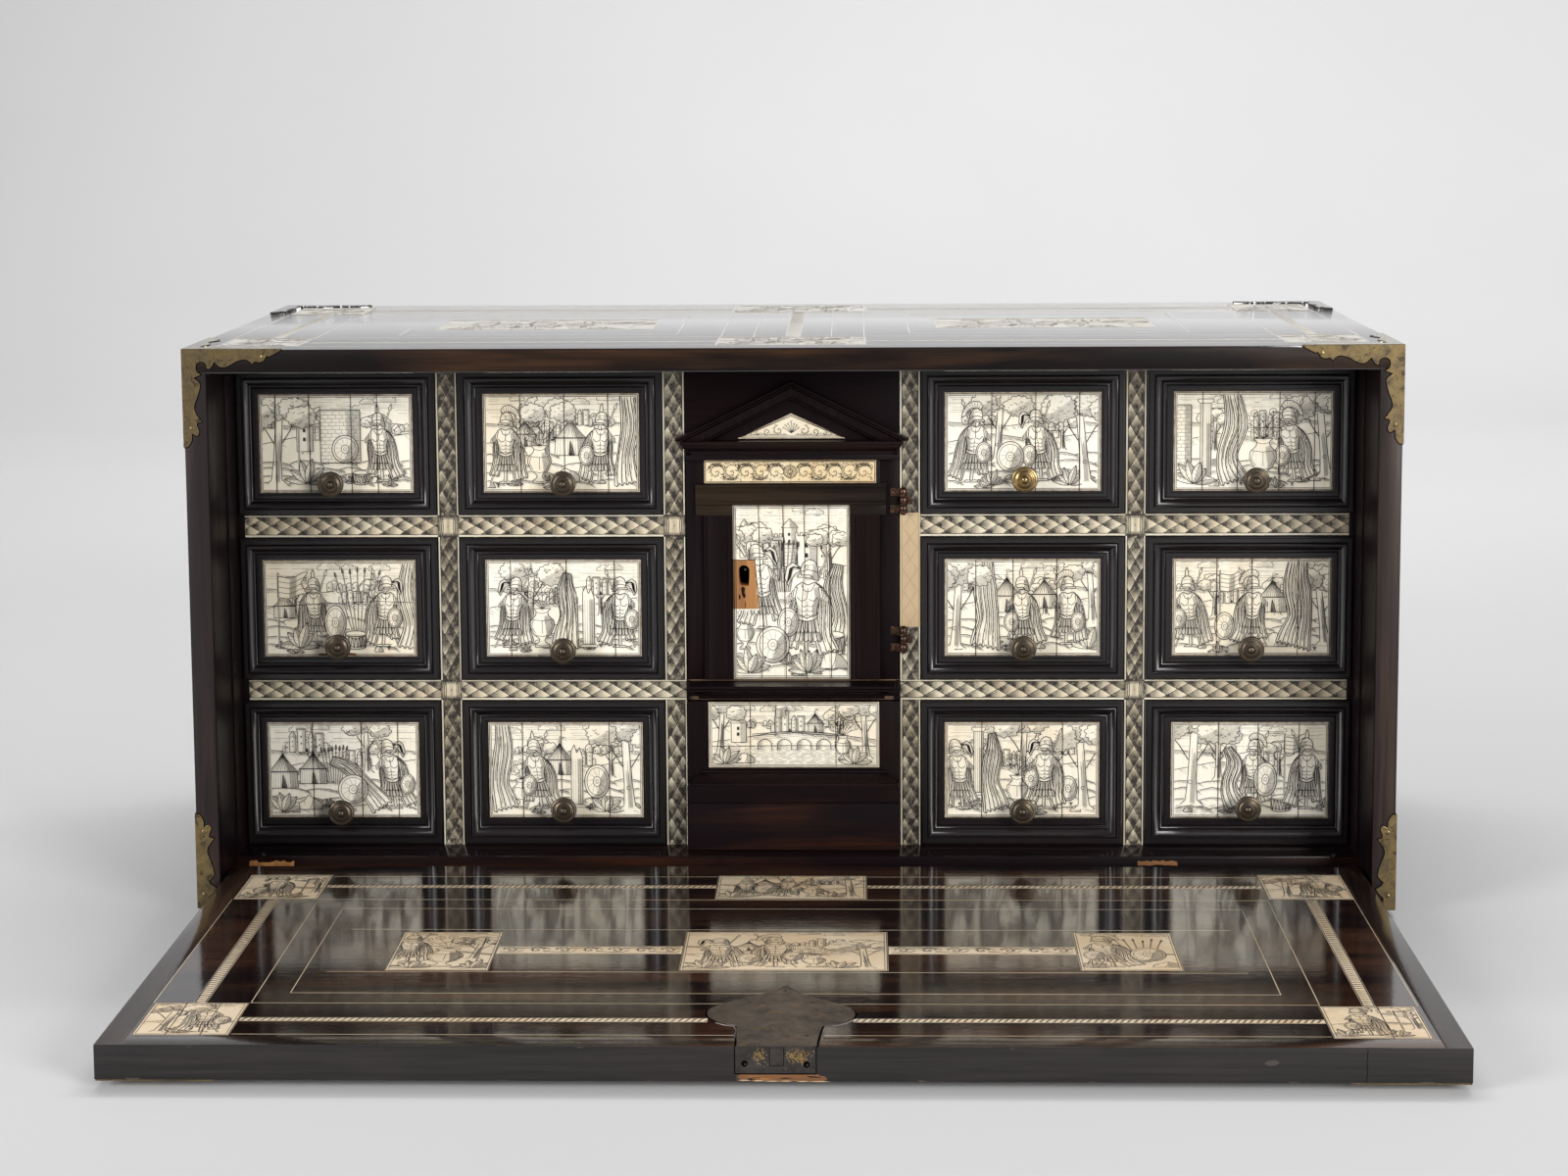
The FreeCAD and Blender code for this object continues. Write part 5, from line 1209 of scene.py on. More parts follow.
def tablet(name, x0, x1, z0, z1, face, thick, body, mats, replaces=None, joints=(), seed=0, plane="front", stain=0.5, hole=None, plate=None, inset=0.25, gain=1.0):
    """An ivory tablet of several slips, as a fine grid with softened edges, a stain attribute near edges and joints and the tone of its engraving."""
    R = random.Random(seed)
    w, h = x1 - x0, z1 - z0
    cuts = sorted(joints)
    us = [0.0, 0.25, 0.9]
    pitch = 1.0 if plate else 3.5
    grey = plate.tone(1.0, gain) if plate else None
    shades = []
    nu = max(6, int(w / pitch))
    us += list(np.linspace(2.2, w - 2.2, nu)) + [w - 0.9, w - 0.25, w]
    for c in cuts:
        us += [c - 0.35, c - 0.12, c + 0.12, c + 0.35]
    us = sorted(set(round(u, 3) for u in us))
    nv = max(6, int(h / pitch))
    vs = [0.0, 0.25, 0.9] + list(np.linspace(2.2, h - 2.2, nv)) + [h - 0.9, h - 0.25, h]
    vs = sorted(set(round(v, 3) for v in vs))
    level = {}
    slips = [0.0] + cuts + [w]
    for i in range(len(slips) - 1):
        level[i] = (R.uniform(-0.05, 0.05), R.uniform(-0.0012, 0.0012) * min(1.0, 22.0 / (slips[i + 1] - slips[i])))
    verts, att = [], []
    for v in vs:
        for u in us:
            d = min(u, w - u, v, h - v) * 1.35
            dj = min([abs(u - c) for c in cuts] + [99])
            i = sum(1 for c in cuts if u > c)
            base, tilt = level[min(i, len(slips) - 2)]
            k = base + tilt * (u - slips[i] if i < len(slips) - 1 else 0)
            depth = 0.0
            if d < 1.2:
                depth += (1.2 - d) ** 2 * 0.16
            if dj < 0.2:
                depth += 0.28
            g = depth + abs(k) * 0.6
            x, z = x0 + u, z0 + v
            verts.append((x, face + g, z) if plane == "front" else (x, z, face - g))
            s = max(0.0, 1 - d / 4.0) ** 2 * stain + (0.8 if dj < 0.2 else max(0, 1 - dj / 1.6) * 0.35 * stain)
            att.append(min(1.0, s))
            if plate:
                gx, gy = u + inset + 1.0, v + inset + 1.0
                i0, j0 = min(int(gx), grey.shape[1] - 2), min(int(gy), grey.shape[0] - 2)
                fx, fy = gx - i0, gy - j0
                shades.append(float(grey[j0, i0] * (1 - fx) * (1 - fy) + grey[j0, i0 + 1] * fx * (1 - fy) + grey[j0 + 1, i0] * (1 - fx) * fy + grey[j0 + 1, i0 + 1] * fx * fy))
    n = len(us)
    faces = []
    for j in range(len(vs) - 1):
        for i in range(n - 1):
            a = j * n + i
            q = (a, a + 1, a + n + 1, a + n)
            if hole is not None:
                cu, cv = x0 + (us[i] + us[i + 1]) / 2, z0 + (vs[j] + vs[j + 1]) / 2
                if hole(cu, cv):
                    continue
            faces.append(q)
    if hole is not None:
        used = sorted(set(i for q in faces for i in q))
        new = {i: k for k, i in enumerate(used)}
        m = len(used)
        verts, att = [verts[i] for i in used], [att[i] for i in used]
        shades = [shades[i] for i in used] if plate else shades
        front = [tuple(new[i] for i in q) for q in faces]
        verts += [(x, face + thick, z) if plane == "front" else (x, y, face - thick) for x, y, z in verts]
        att += [1.0] * m
        pairs = set((q[i], q[(i + 1) % 4]) for q in front for i in range(4))
        faces = front + [tuple(m + i for i in q[::-1]) for q in front] + [(b2, a2, m + a2, m + b2) for a2, b2 in sorted(pairs) if (b2, a2) not in pairs]
        o = piece(name, verts, faces, mats, body, None, 40, replaces)
        o.data.attributes.new("stain", "FLOAT", "POINT").data.foreach_set("value", att)
        if plate:
            o.data.attributes.new("tone", "FLOAT", "POINT").data.foreach_set("value", shades + [0.0] * (len(att) - len(shades)))
        return o
    # sides down to the bed
    loop = [i for i in range(n)] + [j * n + n - 1 for j in range(1, len(vs))] + [(len(vs) - 1) * n + i for i in range(n - 2, -1, -1)] + [j * n for j in range(len(vs) - 2, 0, -1)]
    k = len(verts)
    for i in loop:
        x, y, z = verts[i]
        verts.append((x, face + thick, z) if plane == "front" else (x, y, face - thick))
        att.append(1.0)
    for i in range(len(loop)):
        j = (i + 1) % len(loop)
        faces.append((loop[j], loop[i], k + i, k + j))
    faces.append(tuple(k + i for i in range(len(loop))))
    o = piece(name, verts, faces, mats, body, None, 40, replaces)
    a = o.data.attributes.new("stain", "FLOAT", "POINT")
    a.data.foreach_set("value", att)
    if plate:
        a = o.data.attributes.new("tone", "FLOAT", "POINT")
        a.data.foreach_set("value", shades + [0.0] * (len(att) - len(shades)))
    return o


# ------------------------------------------------------------------ stage and light
def cyclorama():
    """One sheet: floor, long bend, wall. Wide enough to stand behind the object from any side of the front half."""
    prof = [(-9000.0, 0.0), (3400.0, 0.0)]
    for k in range(1, 13):
        a = math.pi / 2 * k / 12
        prof.append((3400.0 + 1500.0 * math.sin(a), 1500.0 * (1 - math.cos(a))))
    prof.append((4900.0, 7000.0))
    verts, faces = [], []
    for x in (-9000.0, 9000.0):
        verts += [M(x, y, z - 5.5) for y, z in prof]
    n = len(prof)
    for i in range(n - 1):
        faces.append((i, i + n, i + n + 1, i + 1))
    me = bpy.data.meshes.new("backdrop")
    me.from_pydata(verts, [], faces)
    me.polygons.foreach_set("use_smooth", [True] * len(me.polygons))
    m, nt, b = new_mat("paper")
    c = mix(nt, span(nt, noise(nt, coords(nt, (1.1, 1.1, 1.1)), 1.0, 2, 0.5), 0.0, 1.0, 0.3, 0.7), (0.535, 0.533, 0.535), (0.555, 0.553, 0.555))
    nt.links.new(c, b.inputs["Base Color"])
    b.inputs["Roughness"].default_value = 0.85
    b.inputs["Specular IOR Level"].default_value = 0.2
    me.materials.append(m)
    o = bpy.data.objects.new("backdrop", me)
    scene.collection.objects.link(o)
    return o


cyclorama()


def lamp(name, where, aim, size, power, colour=(1, 1, 1), spread=None):
    d = bpy.data.lights.new(name, "AREA")
    d.shape = "RECTANGLE"
    d.size, d.size_y = size
    d.energy = power
    d.color = colour
    if spread:
        d.spread = math.radians(spread)
    o = bpy.data.objects.new(name, d)
    o.location = where
    o.rotation_euler = (Vector(aim) - Vector(where)).to_track_quat("-Z", "Y").to_euler()
    scene.collection.objects.link(o)
    return o


lamp("key", (2.25, -3.0, 1.10), (0.0, -0.1, 0.22), (1.5, 1.3), 118, (1.0, 0.992, 0.975))
lamp("left_fill", (-2.9, -2.5, 1.25), (0.0, 0.0, 0.25), (1.4, 1.6), 27, (0.985, 0.99, 1.0), 84)
lamp("overhead", (0.2, 0.9, 3.6), (0.0, 0.0, 0.0), (3.4, 2.0), 60, (1.0, 1.0, 1.0))
lamp("backdrop_light", (0.6, 1.8, 4.6), (0.4, 4.8, 1.8), (6.0, 1.5), 250)
world = bpy.data.worlds.new("studio")
scene.world = world
world.use_nodes = True
world.node_tree.nodes["Background"].inputs["Color"].default_value = (0.93, 0.95, 1.0, 1)
world.node_tree.nodes["Background"].inputs["Strength"].default_value = 0.22
scene.view_settings.view_transform = "Standard"
scene.view_settings.look = "None"
scene.view_settings.exposure = 0.0

# ------------------------------------------------------------------ materials on the CAD nodes that stay
NODE_MATS = {
    "carcass_boards": WOOD, "partitions": WOOD, "recess_liner": EB_X, "side_panels": EB_Z, "carcass_top": EB_TOP,
    "braid_strips": IVORY_STRIP, "portal_case": EB_X, "carcass_plaques": IVORY_OLD, "fixed_hinge_leaves": HINGE,
    "corner_mounts": BRASS, "back_mounts": IRON, "flap_board": EB_FLAP, "flap_inlays": IVORY_FLAP, "flap_lock": IRON,
    "flap_hinge_leaves": IRON, "flap_corner_mounts": BRASS, "lock_bolt": BOLT_IRON, "door_frame": EB_Z, "door_lock_patch": RAW,
    "door_plaques": IVORY, "door_fittings": HINGE, "door_bolt": IRON, "plinth_drawer": EB_PLINTH, "plinth_plaque": IVORY,
}
for _name, _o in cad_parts.items():
    _mat = NODE_MATS.get(_name)
    if _mat is None:
        _mat = EB_X if _name.endswith("_case") else IVORY if _name.endswith("_plaque") else BRONZE
    _o.data.materials.clear()
    _o.data.materials.append(_mat)

# ------------------------------------------------------------------ measures shared with the CAD source
COLS = {"one": (-479.0, -306.5), "two": (-288.5, -111.8), "three": (108.6, 284.0), "four": (301.2, 479.0)}
ROWS = {"bottom": (28.0, 156.4), "middle": (174.0, 299.4), "top": (318.4, 444.4)}
PLAQUE_X = {"one": (-459.5, -326.7), "two": (-266.2, -131.8), "three": (129.4, 263.1), "four": (324.6, 460.4)}
PLAQUE_Z = {"bottom": (52.2, 136.7), "middle": (194.8, 279.5), "top": (338.1, 423.6)}
UPRIGHTS = [(-306.5, -288.5), (-111.8, -93.2), (91.2, 108.6), (284.0, 301.2)]
SHELF_Z = [(156.4, 174.0), (299.4, 318.4)]
KNOB_OFF = {("one", "top"): (-2.5, -0.4), ("two", "top"): (2.4, -0.4), ("three", "top"): (0.8, 2.4), ("four", "top"): (1, 1),
            ("one", "middle"): (0.4, 1.4), ("two", "middle"): (0.6, -2), ("three", "middle"): (0.2, -0.4), ("four", "middle"): (-2, -1.2),
            ("one", "bottom"): (0, -1.8), ("two", "bottom"): (-0.8, 0.5), ("three", "bottom"): (-0.2, -0.3), ("four", "bottom"): (-3, 1.9)}

# ------------------------------------------------------------------ case boards
boards("case_sides", [(-500, -480.6, 0, 438, 0, 451.9), (480.6, 500, 0, 438, 0, 451.9)], [EB_Z], "case", 1.1, "side_panels")
boards("case_top_board", [(-500, 500, 0, 438, 452, 472)], [EB_TOP], "case", 1.3, "carcass_top")


def front_facing():
    """Dark veneer on the front edges of the case: side posts and head rail."""
    boards("case_front_posts", [(-499.2, -481.2, -0.25, 1.0, 1.0, 452.6, 0), (481.2, 499.2, -0.25, 1.0, 1.0, 452.6, 1)], [EB_FRONT_Z, EB_FRONT_ZR], "case", 0.25)
    boards("case_head_rail", [(-498.8, 498.8, -0.3, 1.0, 453.2, 470.8)], [EB_FRONT_X], "case", 0.3)


front_facing()
boards("recess_facing", [(-480.4, 480.4, 62.5, 428, 26.6, 28.0)], [EB_FLOOR], "case", 0.3, "recess_liner")
boards("recess_cheeks", [(-480.4, -479.0, 62.5, 100.2, 28.0, 451.9), (479.0, 480.4, 62.5, 100.2, 28.0, 451.9)], [EB_CHEEK], "case", 0.25)
boards("opening_cheeks", [(-480.8, -480.35, 1.2, 62.4, 1.0, 451.8), (480.35, 480.8, 1.2, 62.4, 1.0, 451.8)], [EB_CHEEK], "case", 0.1)
boards("ledge_front", [(-480.4, 480.4, 60.6, 62.6, 1.2, 27.6)], [EB_PLINTH], "case", 0.7)


def chip(name, x0, x1, z0, z1, y, mat, body, seed=0, lift=0.12, top=None):
    """A ragged loss in the veneer that shows the wood below it."""
    R = random.Random(seed)
    n = 14
    rim = []
    for i in range(n):
        t = i / (n - 1)
        rim.append((x0 + (x1 - x0) * t, z0 + R.uniform(0, 0.22) * (z1 - z0)))
    for i in range(n):
        t = 1 - i / (n - 1)
        rim.append((x0 + (x1 - x0) * t + R.uniform(-1, 1), z1 - R.uniform(0, 0.3) * (z1 - z0)))
    verts = [(x, y - lift, z) for x, z in rim] + [(x, y + 0.3, z) for x, z in rim]
    m = len(rim)
    faces = [tuple(range(m))] + [(i, (i + 1) % m, m + (i + 1) % m, m + i)[::-1] for i in range(m)] + [tuple(range(2 * m - 1, m - 1, -1))]
    if top is not None:
        verts = [(x, top + (z - z0), top_z + lift) for (x, z), top_z in zip(rim, [y] * m)] + [(x, top + (z - z0), y - 0.3) for x, z in rim]
    o = piece(name, verts, faces, mat, body)
    bm = bmesh.new()
    bm.from_mesh(o.data)
    bmesh.ops.recalc_face_normals(bm, faces=bm.faces)
    bm.to_mesh(o.data)
    bm.free()
    return o


chip("ledge_loss_left", -470, -431, 17.0, 24.6, 60.6, RAW, "case", 3)
chip("ledge_loss_left_edge", -478, -469, 15.6, 18.4, 60.6, RAW_X, "case", 8)
chip("ledge_loss_right", 293, 327, 20.5, 25.4, 60.6, RAW_X, "case", 4)

# ------------------------------------------------------------------ braid
BRAID = new_mat("engraved_braid")


def braid_material():
    m, nt, b = BRAID
    at = nt.nodes.new("ShaderNodeAttribute")
    at.attribute_name = "shade"
    patch = noise(nt, coords(nt, (14, 14, 14), (3, 1, 2)), 1.0, 4, 0.55)
    streak = noise(nt, coords(nt, (420, 420, 300), (1, 0, 2)), 1.0, 3, 0.6)
    base = mix(nt, ramp(nt, patch, [(0.38, 0.0), (0.66, 1.0)]), (0.74, 0.66, 0.49), (0.60, 0.495, 0.34))
    s = mul(nt, at.outputs["Fac"], span(nt, streak, 0.80, 1.25, 0.3, 0.7))
    nt.links.new(mix(nt, s, base, (0.021, 0.016, 0.012)), b.inputs["Base Color"])
    b.inputs["Roughness"].default_value = 0.38
    b.inputs["Specular IOR Level"].default_value = 0.4
    bump(nt, b, streak, 0.1, 0.0003)
    return m


BRAID = braid_material()


def braid_shade(u, v, half, period, reach, bend):
    """Shade of a braided strip at u from its middle, v along it; each strand is dark where it comes out from under the last."""
    k = math.floor(v / period)
    t = v / period - k
    w = 5.2 * (1 - abs(2 * t - 1))
    if abs(u) <= w:
        s = max(0.0, (reach - t) / reach)
        return min(1.0, 0.04 + 1.1 * s ** bend * (1 - 0.3 * abs(u) / 5.2))
    side = 1 if u > 0 else -1
    q = (abs(u) - 5.0) / max(half - 5.0, 0.1)
    off = abs(t - 0.5) * period
    if abs(u) > 4.4 and off < 4.4 * q:
        return 1.0 if side == 1 else 0.85
    tt = (t + 0.5) % 1.0
    s = max(0.0, (reach - 0.06 - tt) / (reach - 0.06))
    return min(1.0, (0.16 if side == 1 else 0.04) + (1.05 if side == 1 else 0.85) * s ** bend)


def braid(name, x0, x1, z0, z1, upright, phase, kind="braid", way=1, grime_and_shade=0.0):
    """A strip with raised border fillets, its woven middle shaded per vertex, and thin engraved lines between the strands."""
    w = (x1 - x0) if upright else (z1 - z0)
    L = (z1 - z0) if upright else (x1 - x0)
    edges = (1.9, 1.5) if upright else (2.2, 1.4)
    lo, hi = edges if upright else (edges[0], edges[1])
    half = (w - lo - hi) / 2
    mid = lo + half
    nu, nv = 15, max(4, int(L / 1.25))
    verts, att = [], []
    period = 18.4 if upright else 17.8

    def at(a, b, n):
        return (x0 + a, 98.8 - n, z0 + b) if upright else (x0 + b, 98.8 - n, z0 + a)

    for j in range(nv + 1):
        b = L * j / nv
        for i in range(nu + 1):
            a = w * i / nu
            verts.append(at(a, b, 0.0))
            if kind == "braid":
                u = a - mid
                s = braid_shade(u, way * (b + phase), half, period, *((0.92, 1.0) if upright else (0.80, 1.35)))
                end = min(b, L - b)
                s = min(1.0, s + max(0.0, 1 - end / 3.0) * 0.25)
                # grime_and_shade darkens the whole strip: partly grime, partly painted shade
                s = 1 - ((1 - s) * (1 - grime_and_shade)) ** (2.2 if upright else 1.9)
            else:
                s = 0.05
            att.append(s)
    faces = []
    n = nu + 1
    for j in range(nv):
        for i in range(nu):
            q = (j * n + i, j * n + i + 1, (j + 1) * n + i + 1, (j + 1) * n + i)
            faces.append(q if upright else q[::-1])
    loop = [i for i in range(n)] + [j * n + nu for j in range(1, nv + 1)] + [nv * n + i for i in range(nu - 1, -1, -1)] + [j * n for j in range(nv - 1, 0, -1)]
    k = len(verts)
    for i in loop:
        x, y, z = verts[i]
        verts.append((x, 100.2, z))
        att.append(0.9)
    for i in range(len(loop)):
        j = (i + 1) % len(loop)
        q = (loop[j], loop[i], k + i, k + j)
        faces.append(q if upright else q[::-1])
    back = tuple(k + i for i in range(len(loop)))
    faces.append(back if not upright else back[::-1])
    o = piece(name, verts, faces, BRAID if kind == "braid" else IVORY_TAN, "case")
    o.data.attributes.new("shade", "FLOAT", "POINT").data.foreach_set("value", att)
    if kind != "braid":
        return [], []
    plate = Plate(w, L) if upright else Plate(L, w)
    plate.frame = (0, 0, w, L) if upright else (0, 0, L, w)

    def put(pts, width, soft=False):
        plate.line([(p[0], p[1]) if upright else (p[1], p[0]) for p in pts], width, soft, 2.0, 1.0)

    v = -phase - period
    while v < L + period:
        for sgn in (-1, 1):
            reach = half - 5.0
            a = [(mid, v), (mid + sgn * 5.0, v + period / 2), (mid + sgn * (5.0 + reach), v + period / 2 + reach / 5.0 * period / 2 * 0.8)]
            b = [(mid, v), (mid + sgn * 5.0, v - period / 2), (mid + sgn * (5.0 + reach), v - period / 2 - reach / 5.0 * period / 2 * 0.8)]
            put(a, 0.42)
            put(b, 0.42)
        v += period
    put([(lo - 0.1, 0), (lo - 0.1, L)], 0.5)
    put([(w - hi + 0.1, 0), (w - hi + 0.1, L)], 0.5)
    lines = ribbons(plate.dark, on_front(x0, z0, 98.8))
    # bright fillets at both sides
    fil = []
    spans = ((0.25, lo - 0.35), (w - hi + 0.35, w - 0.25))
    for a0, a1 in spans:
        if upright:
            fil.append((x0 + a0, x0 + a1, 98.62, 99.4, z0 + 0.05, z1 - 0.05))
        else:
            fil.append((x0 + 0.05, x1 - 0.05, 98.62, 99.4, z0 + a0, z0 + a1))
    return lines, fil


def crossing(name, x0, x1, z0, z1):
    """The cuff where four braids meet."""
    w, h = x1 - x0, z1 - z0
    nu = nv = 14
    verts, att = [], []
    for j in range(nv + 1):
        for i in range(nu + 1):
            a, b = w * i / nu, h * j / nv
            e = min(b, h - b)
            s = 0.10 + max(0.0, 1 - e / 4.0) * 0.85
            f = min(a, w - a)
            s = max(s, max(0.0, 1 - f / 4.2) * 0.75)
            s = max(s, 0.30 * math.exp(-((a - w / 2) / 2.2) ** 2))
            s = 1 - (1 - min(1.0, s)) ** 1.7
            bulge = 0.18 * math.sin(math.pi * a / w) * math.sin(math.pi * b / h)
            verts.append((x0 + a, 98.75 - bulge, z0 + b))
            att.append(s)
    n = nu + 1
    faces = [(j * n + i, j * n + i + 1, (j + 1) * n + i + 1, (j + 1) * n + i) for j in range(nv) for i in range(nu)]
    loop = [i for i in range(n)] + [j * n + nu for j in range(1, nv + 1)] + [nv * n + i for i in range(nu - 1, -1, -1)] + [j * n for j in range(nv - 1, 0, -1)]
    k = len(verts)
    for i in loop:
        verts.append((verts[i][0], 100.2, verts[i][2]))
        att.append(0.8)
    for i in range(len(loop)):
        j = (i + 1) % len(loop)
        faces.append((loop[j], loop[i], k + i, k + j))
    faces.append(tuple(k + i for i in range(len(loop))))
    o = piece(name, verts, faces, BRAID, "case", None, 50)
    o.data.attributes.new("shade", "FLOAT", "POINT").data.foreach_set("value", att)
    p = Plate(w, h)
    p.frame = (0, 0, w, h)
    for a, bow in ((2.6, 1.0), (4.1, 0.9), (w - 4.1, -0.9), (w - 2.6, -1.0)):
        p.line([(a - bow * 0.6, 0.6), (a + bow * 0.35, h * 0.25), (a + bow * 0.6, h * 0.5), (a + bow * 0.35, h * 0.75), (a - bow * 0.6, h - 0.6)], 0.42)
    p.line([(0.3, 1.0), (w - 0.3, 1.0)], 0.5)
    p.line([(0.3, h - 1.0), (w - 0.3, h - 1.0)], 0.5)
    for sgn, y in ((1, 2.0), (-1, h - 2.0)):
        for t in range(9):
            a = 3.6 + (w - 7.2) * t / 8
            p.line([(a, y), (a + 0.1, y + sgn * (1.2 + 1.4 * abs(t - 4) / 4))], 0.28, True)
    p.arc(w / 2, h / 2, 0.55, 0, 360, 0.5, n=7)
    return ribbons(p.dark + p.soft, on_front(x0, z0, 98.62))


def all_braids():
    lines, fillets = [], []
    for i, (x0, x1) in enumerate(UPRIGHTS):
        for j, (z0, z1) in enumerate((ROWS["bottom"], ROWS["middle"], ROWS["top"])):
            if i == 2 and j == 1:
                z1 = 220.4
            if i == 2 and j == 2:
                z0 = 319.8
            # the last argument darkens each upright, most of all the first: partly grime, partly painted shade
            l, f = braid("braid_post_%d_%d" % (i + 1, j + 1), x0, x1, z0, z1, True, 18.4 - (z1 - z0) % 18.4 + 3.0, "braid", -1 if j == 1 else 1, (0.20, 0.10, 0.12, 0.05)[i])
            lines.append(l)
            fillets += f
        for j, (z0, z1) in enumerate(SHELF_Z):
            if (i, j) not in ((2, 1), (1, 0), (2, 0)):
                lines.append(crossing("braid_cross_%d_%d" % (i + 1, j + 1), x0, x1, z0, z1))
    # a plain strip put in between the door hinges
    x0, x1 = UPRIGHTS[2]
    braid("braid_post_3_plain", x0, x1, 220.4, 319.8, True, 0, "plain")
    p = Plate(x1 - x0, 99.4, 9, 0.4)
    for k in range(-1, 7):
        for sgn in (-1, 1):
            c = (x1 - x0) / 2
            p.line([(c, 4 + 18.4 * k), (c + sgn * 6.2, 4 + 18.4 * k + 9.2), (c, 4 + 18.4 * (k + 1))], 0.24, True)
    for x in (1.6, x1 - x0 - 1.4):
        p.line([(x, 0.4), (x + 0.1, 50), (x, 99)], 0.3, True)
    engrave("braid_plain_lines", p, on_front(x0, 220.4, 98.8), "case", [INK_TAN, INK_TAN])
    spans = [("one", -473.5, -306.5), ("two", -288.5, -111.8), ("three", 108.6, 284.0), ("four", 301.2, 474.5)]
    for tag, x0, x1 in spans:
        for j, (z0, z1) in enumerate(SHELF_Z):
            if j == 0 and tag in ("two", "three"):
                x0, x1 = (x0, -93.4) if tag == "two" else (91.4, x1)
            else:
                x0, x1 = {q[0]: q[1:] for q in spans}[tag]
            l, f = braid("braid_rail_%s_%d" % (tag, j + 1), x0, x1, z0, z1, False, 17.8 - (x1 - x0) % 17.8 + 2.0)
            lines.append(l)
            fillets += f
    boards("rail_end_blocks", [(-479, -473.7, 98.4, 100.2, z0, z1) for z0, z1 in SHELF_Z] + [(474.7, 479, 98.4, 100.2, z0, z1) for z0, z1 in SHELF_Z]
           + [(-93.0, -91.0, 98.9, 100.2, 156.6, 173.8), (87.5, 91.0, 98.9, 100.2, 156.6, 173.8)], [EB_Z], "case", 0.2)
    v, f = merge(lines)
    o = piece("braid_lines", v, f, INK, "case")
    boards("braid_fillets", fillets, [IVORY_STRIP], "case", 0.12, "braid_strips")


IVORY_TAN = ivory("ivory_replaced_strip", (0.47, 0.355, 0.215), (0.36, 0.25, 0.14), 0.6, 0.4, "Z", 12.0)
INK_TAN = ink("engraved_line_tan", (0.17, 0.115, 0.065), (0.26, 0.18, 0.10))
all_braids()


# ------------------------------------------------------------------ drawer fronts
FRAME_PROFILE = curve_profile([
    (0.0, -9.0), (0.0, 2.6), (0.35, 3.0), (1.15, 3.1), (1.3, 4.2), (1.7, 4.65), (4.9, 4.75), (5.3, 4.3), (5.45, 3.3), (5.8, 3.2),
    (6.0, 4.7, 1), (6.8, 5.3, 1), (8.2, 5.1, 1), (9.8, 4.3, 1), (11.3, 3.1, 1), (11.6, 2.5), (11.75, 1.4, 1), (12.6, 0.9, 1), (13.6, 1.1, 1), (14.3, 1.9, 1),
    (14.5, 2.3), (17.2, 2.4), (17.5, 2.1), (17.7, 1.2), (19.2, 1.15), (19.2, -2.0)], 3)


def frame_rings(ox, oz, ix, iz, face, profile, total):
    """Mitred rings between an outer and an inner rectangle."""
    rings = []
    for u, h in profile:
        t = u / total
        x0, x1 = ox[0] + (ix[0] - ox[0]) * t, ox[1] + (ix[1] - ox[1]) * t
        z0, z1 = oz[0] + (iz[0] - oz[0]) * t, oz[1] + (iz[1] - oz[1]) * t
        rings.append([(x0, face - h, z0), (x1, face - h, z0), (x1, face - h, z1), (x0, face - h, z1)])
    return rings


def moulded_frame(name, ox, oz, ix, iz, face, body, mats, profile=FRAME_PROFILE, total=19.2, sub=6, replaces=None):
    """Four mitred lengths of moulding. Each side is its own strip so its grain runs along it."""
    rings = frame_rings(ox, oz, ix, iz, face, profile, total)
    verts, faces, index = [], [], []
    for side in range(4):
        n0 = len(verts)
        for r in rings:
            a, b = Vector(r[side]), Vector(r[(side + 1) % 4])
            for k in range(sub + 1):
                p = a.lerp(b, k / sub)
                verts.append(tuple(p))
        m = sub + 1
        for i in range(len(rings) - 1):
            for k in range(sub):
                q = n0 + i * m + k
                faces.append((q, q + 1, q + 1 + m, q + m))
                index.append(side % 2)
        # close the underside
        last = n0 + (len(rings) - 1) * m
        for k in range(sub):
            faces.append((last + k, last + k + 1, n0 + k + 1, n0 + k))
            index.append(side % 2)
    o = piece(name, verts, faces, mats, body, index, None, replaces, True)
    return o


def finish_shading(o, angle=38):
    me = o.data
    me.polygons.foreach_set("use_smooth", [True] * len(me.polygons))
    me.set_sharp_from_angle(angle=math.radians(angle))


KNOB_PROFILE = curve_profile([
    (0.01, -0.9), (5.6, -0.9), (5.6, 0.5), (5.0, 1.3), (3.8, 1.7), (3.1, 2.6, 1), (2.8, 5.0, 1), (3.0, 7.6, 1), (4.6, 9.6, 1), (7.8, 11.3, 1), (10.0, 12.6, 1),
    (10.95, 14.0, 1), (11.2, 15.6, 1), (11.0, 17.0, 1), (10.4, 17.7, 1), (9.6, 17.9), (9.2, 17.6), (9.0, 16.9), (8.3, 16.85), (7.4, 17.3), (6.9, 17.9), (6.2, 18.05), (5.8, 17.6),
    (5.5, 17.1), (4.5, 17.2), (4.1, 17.9), (3.6, 18.0), (3.2, 18.6, 1), (2.7, 19.6, 1), (1.9, 20.3, 1), (1.0, 20.6, 1), (0.01, 20.7)], 3)


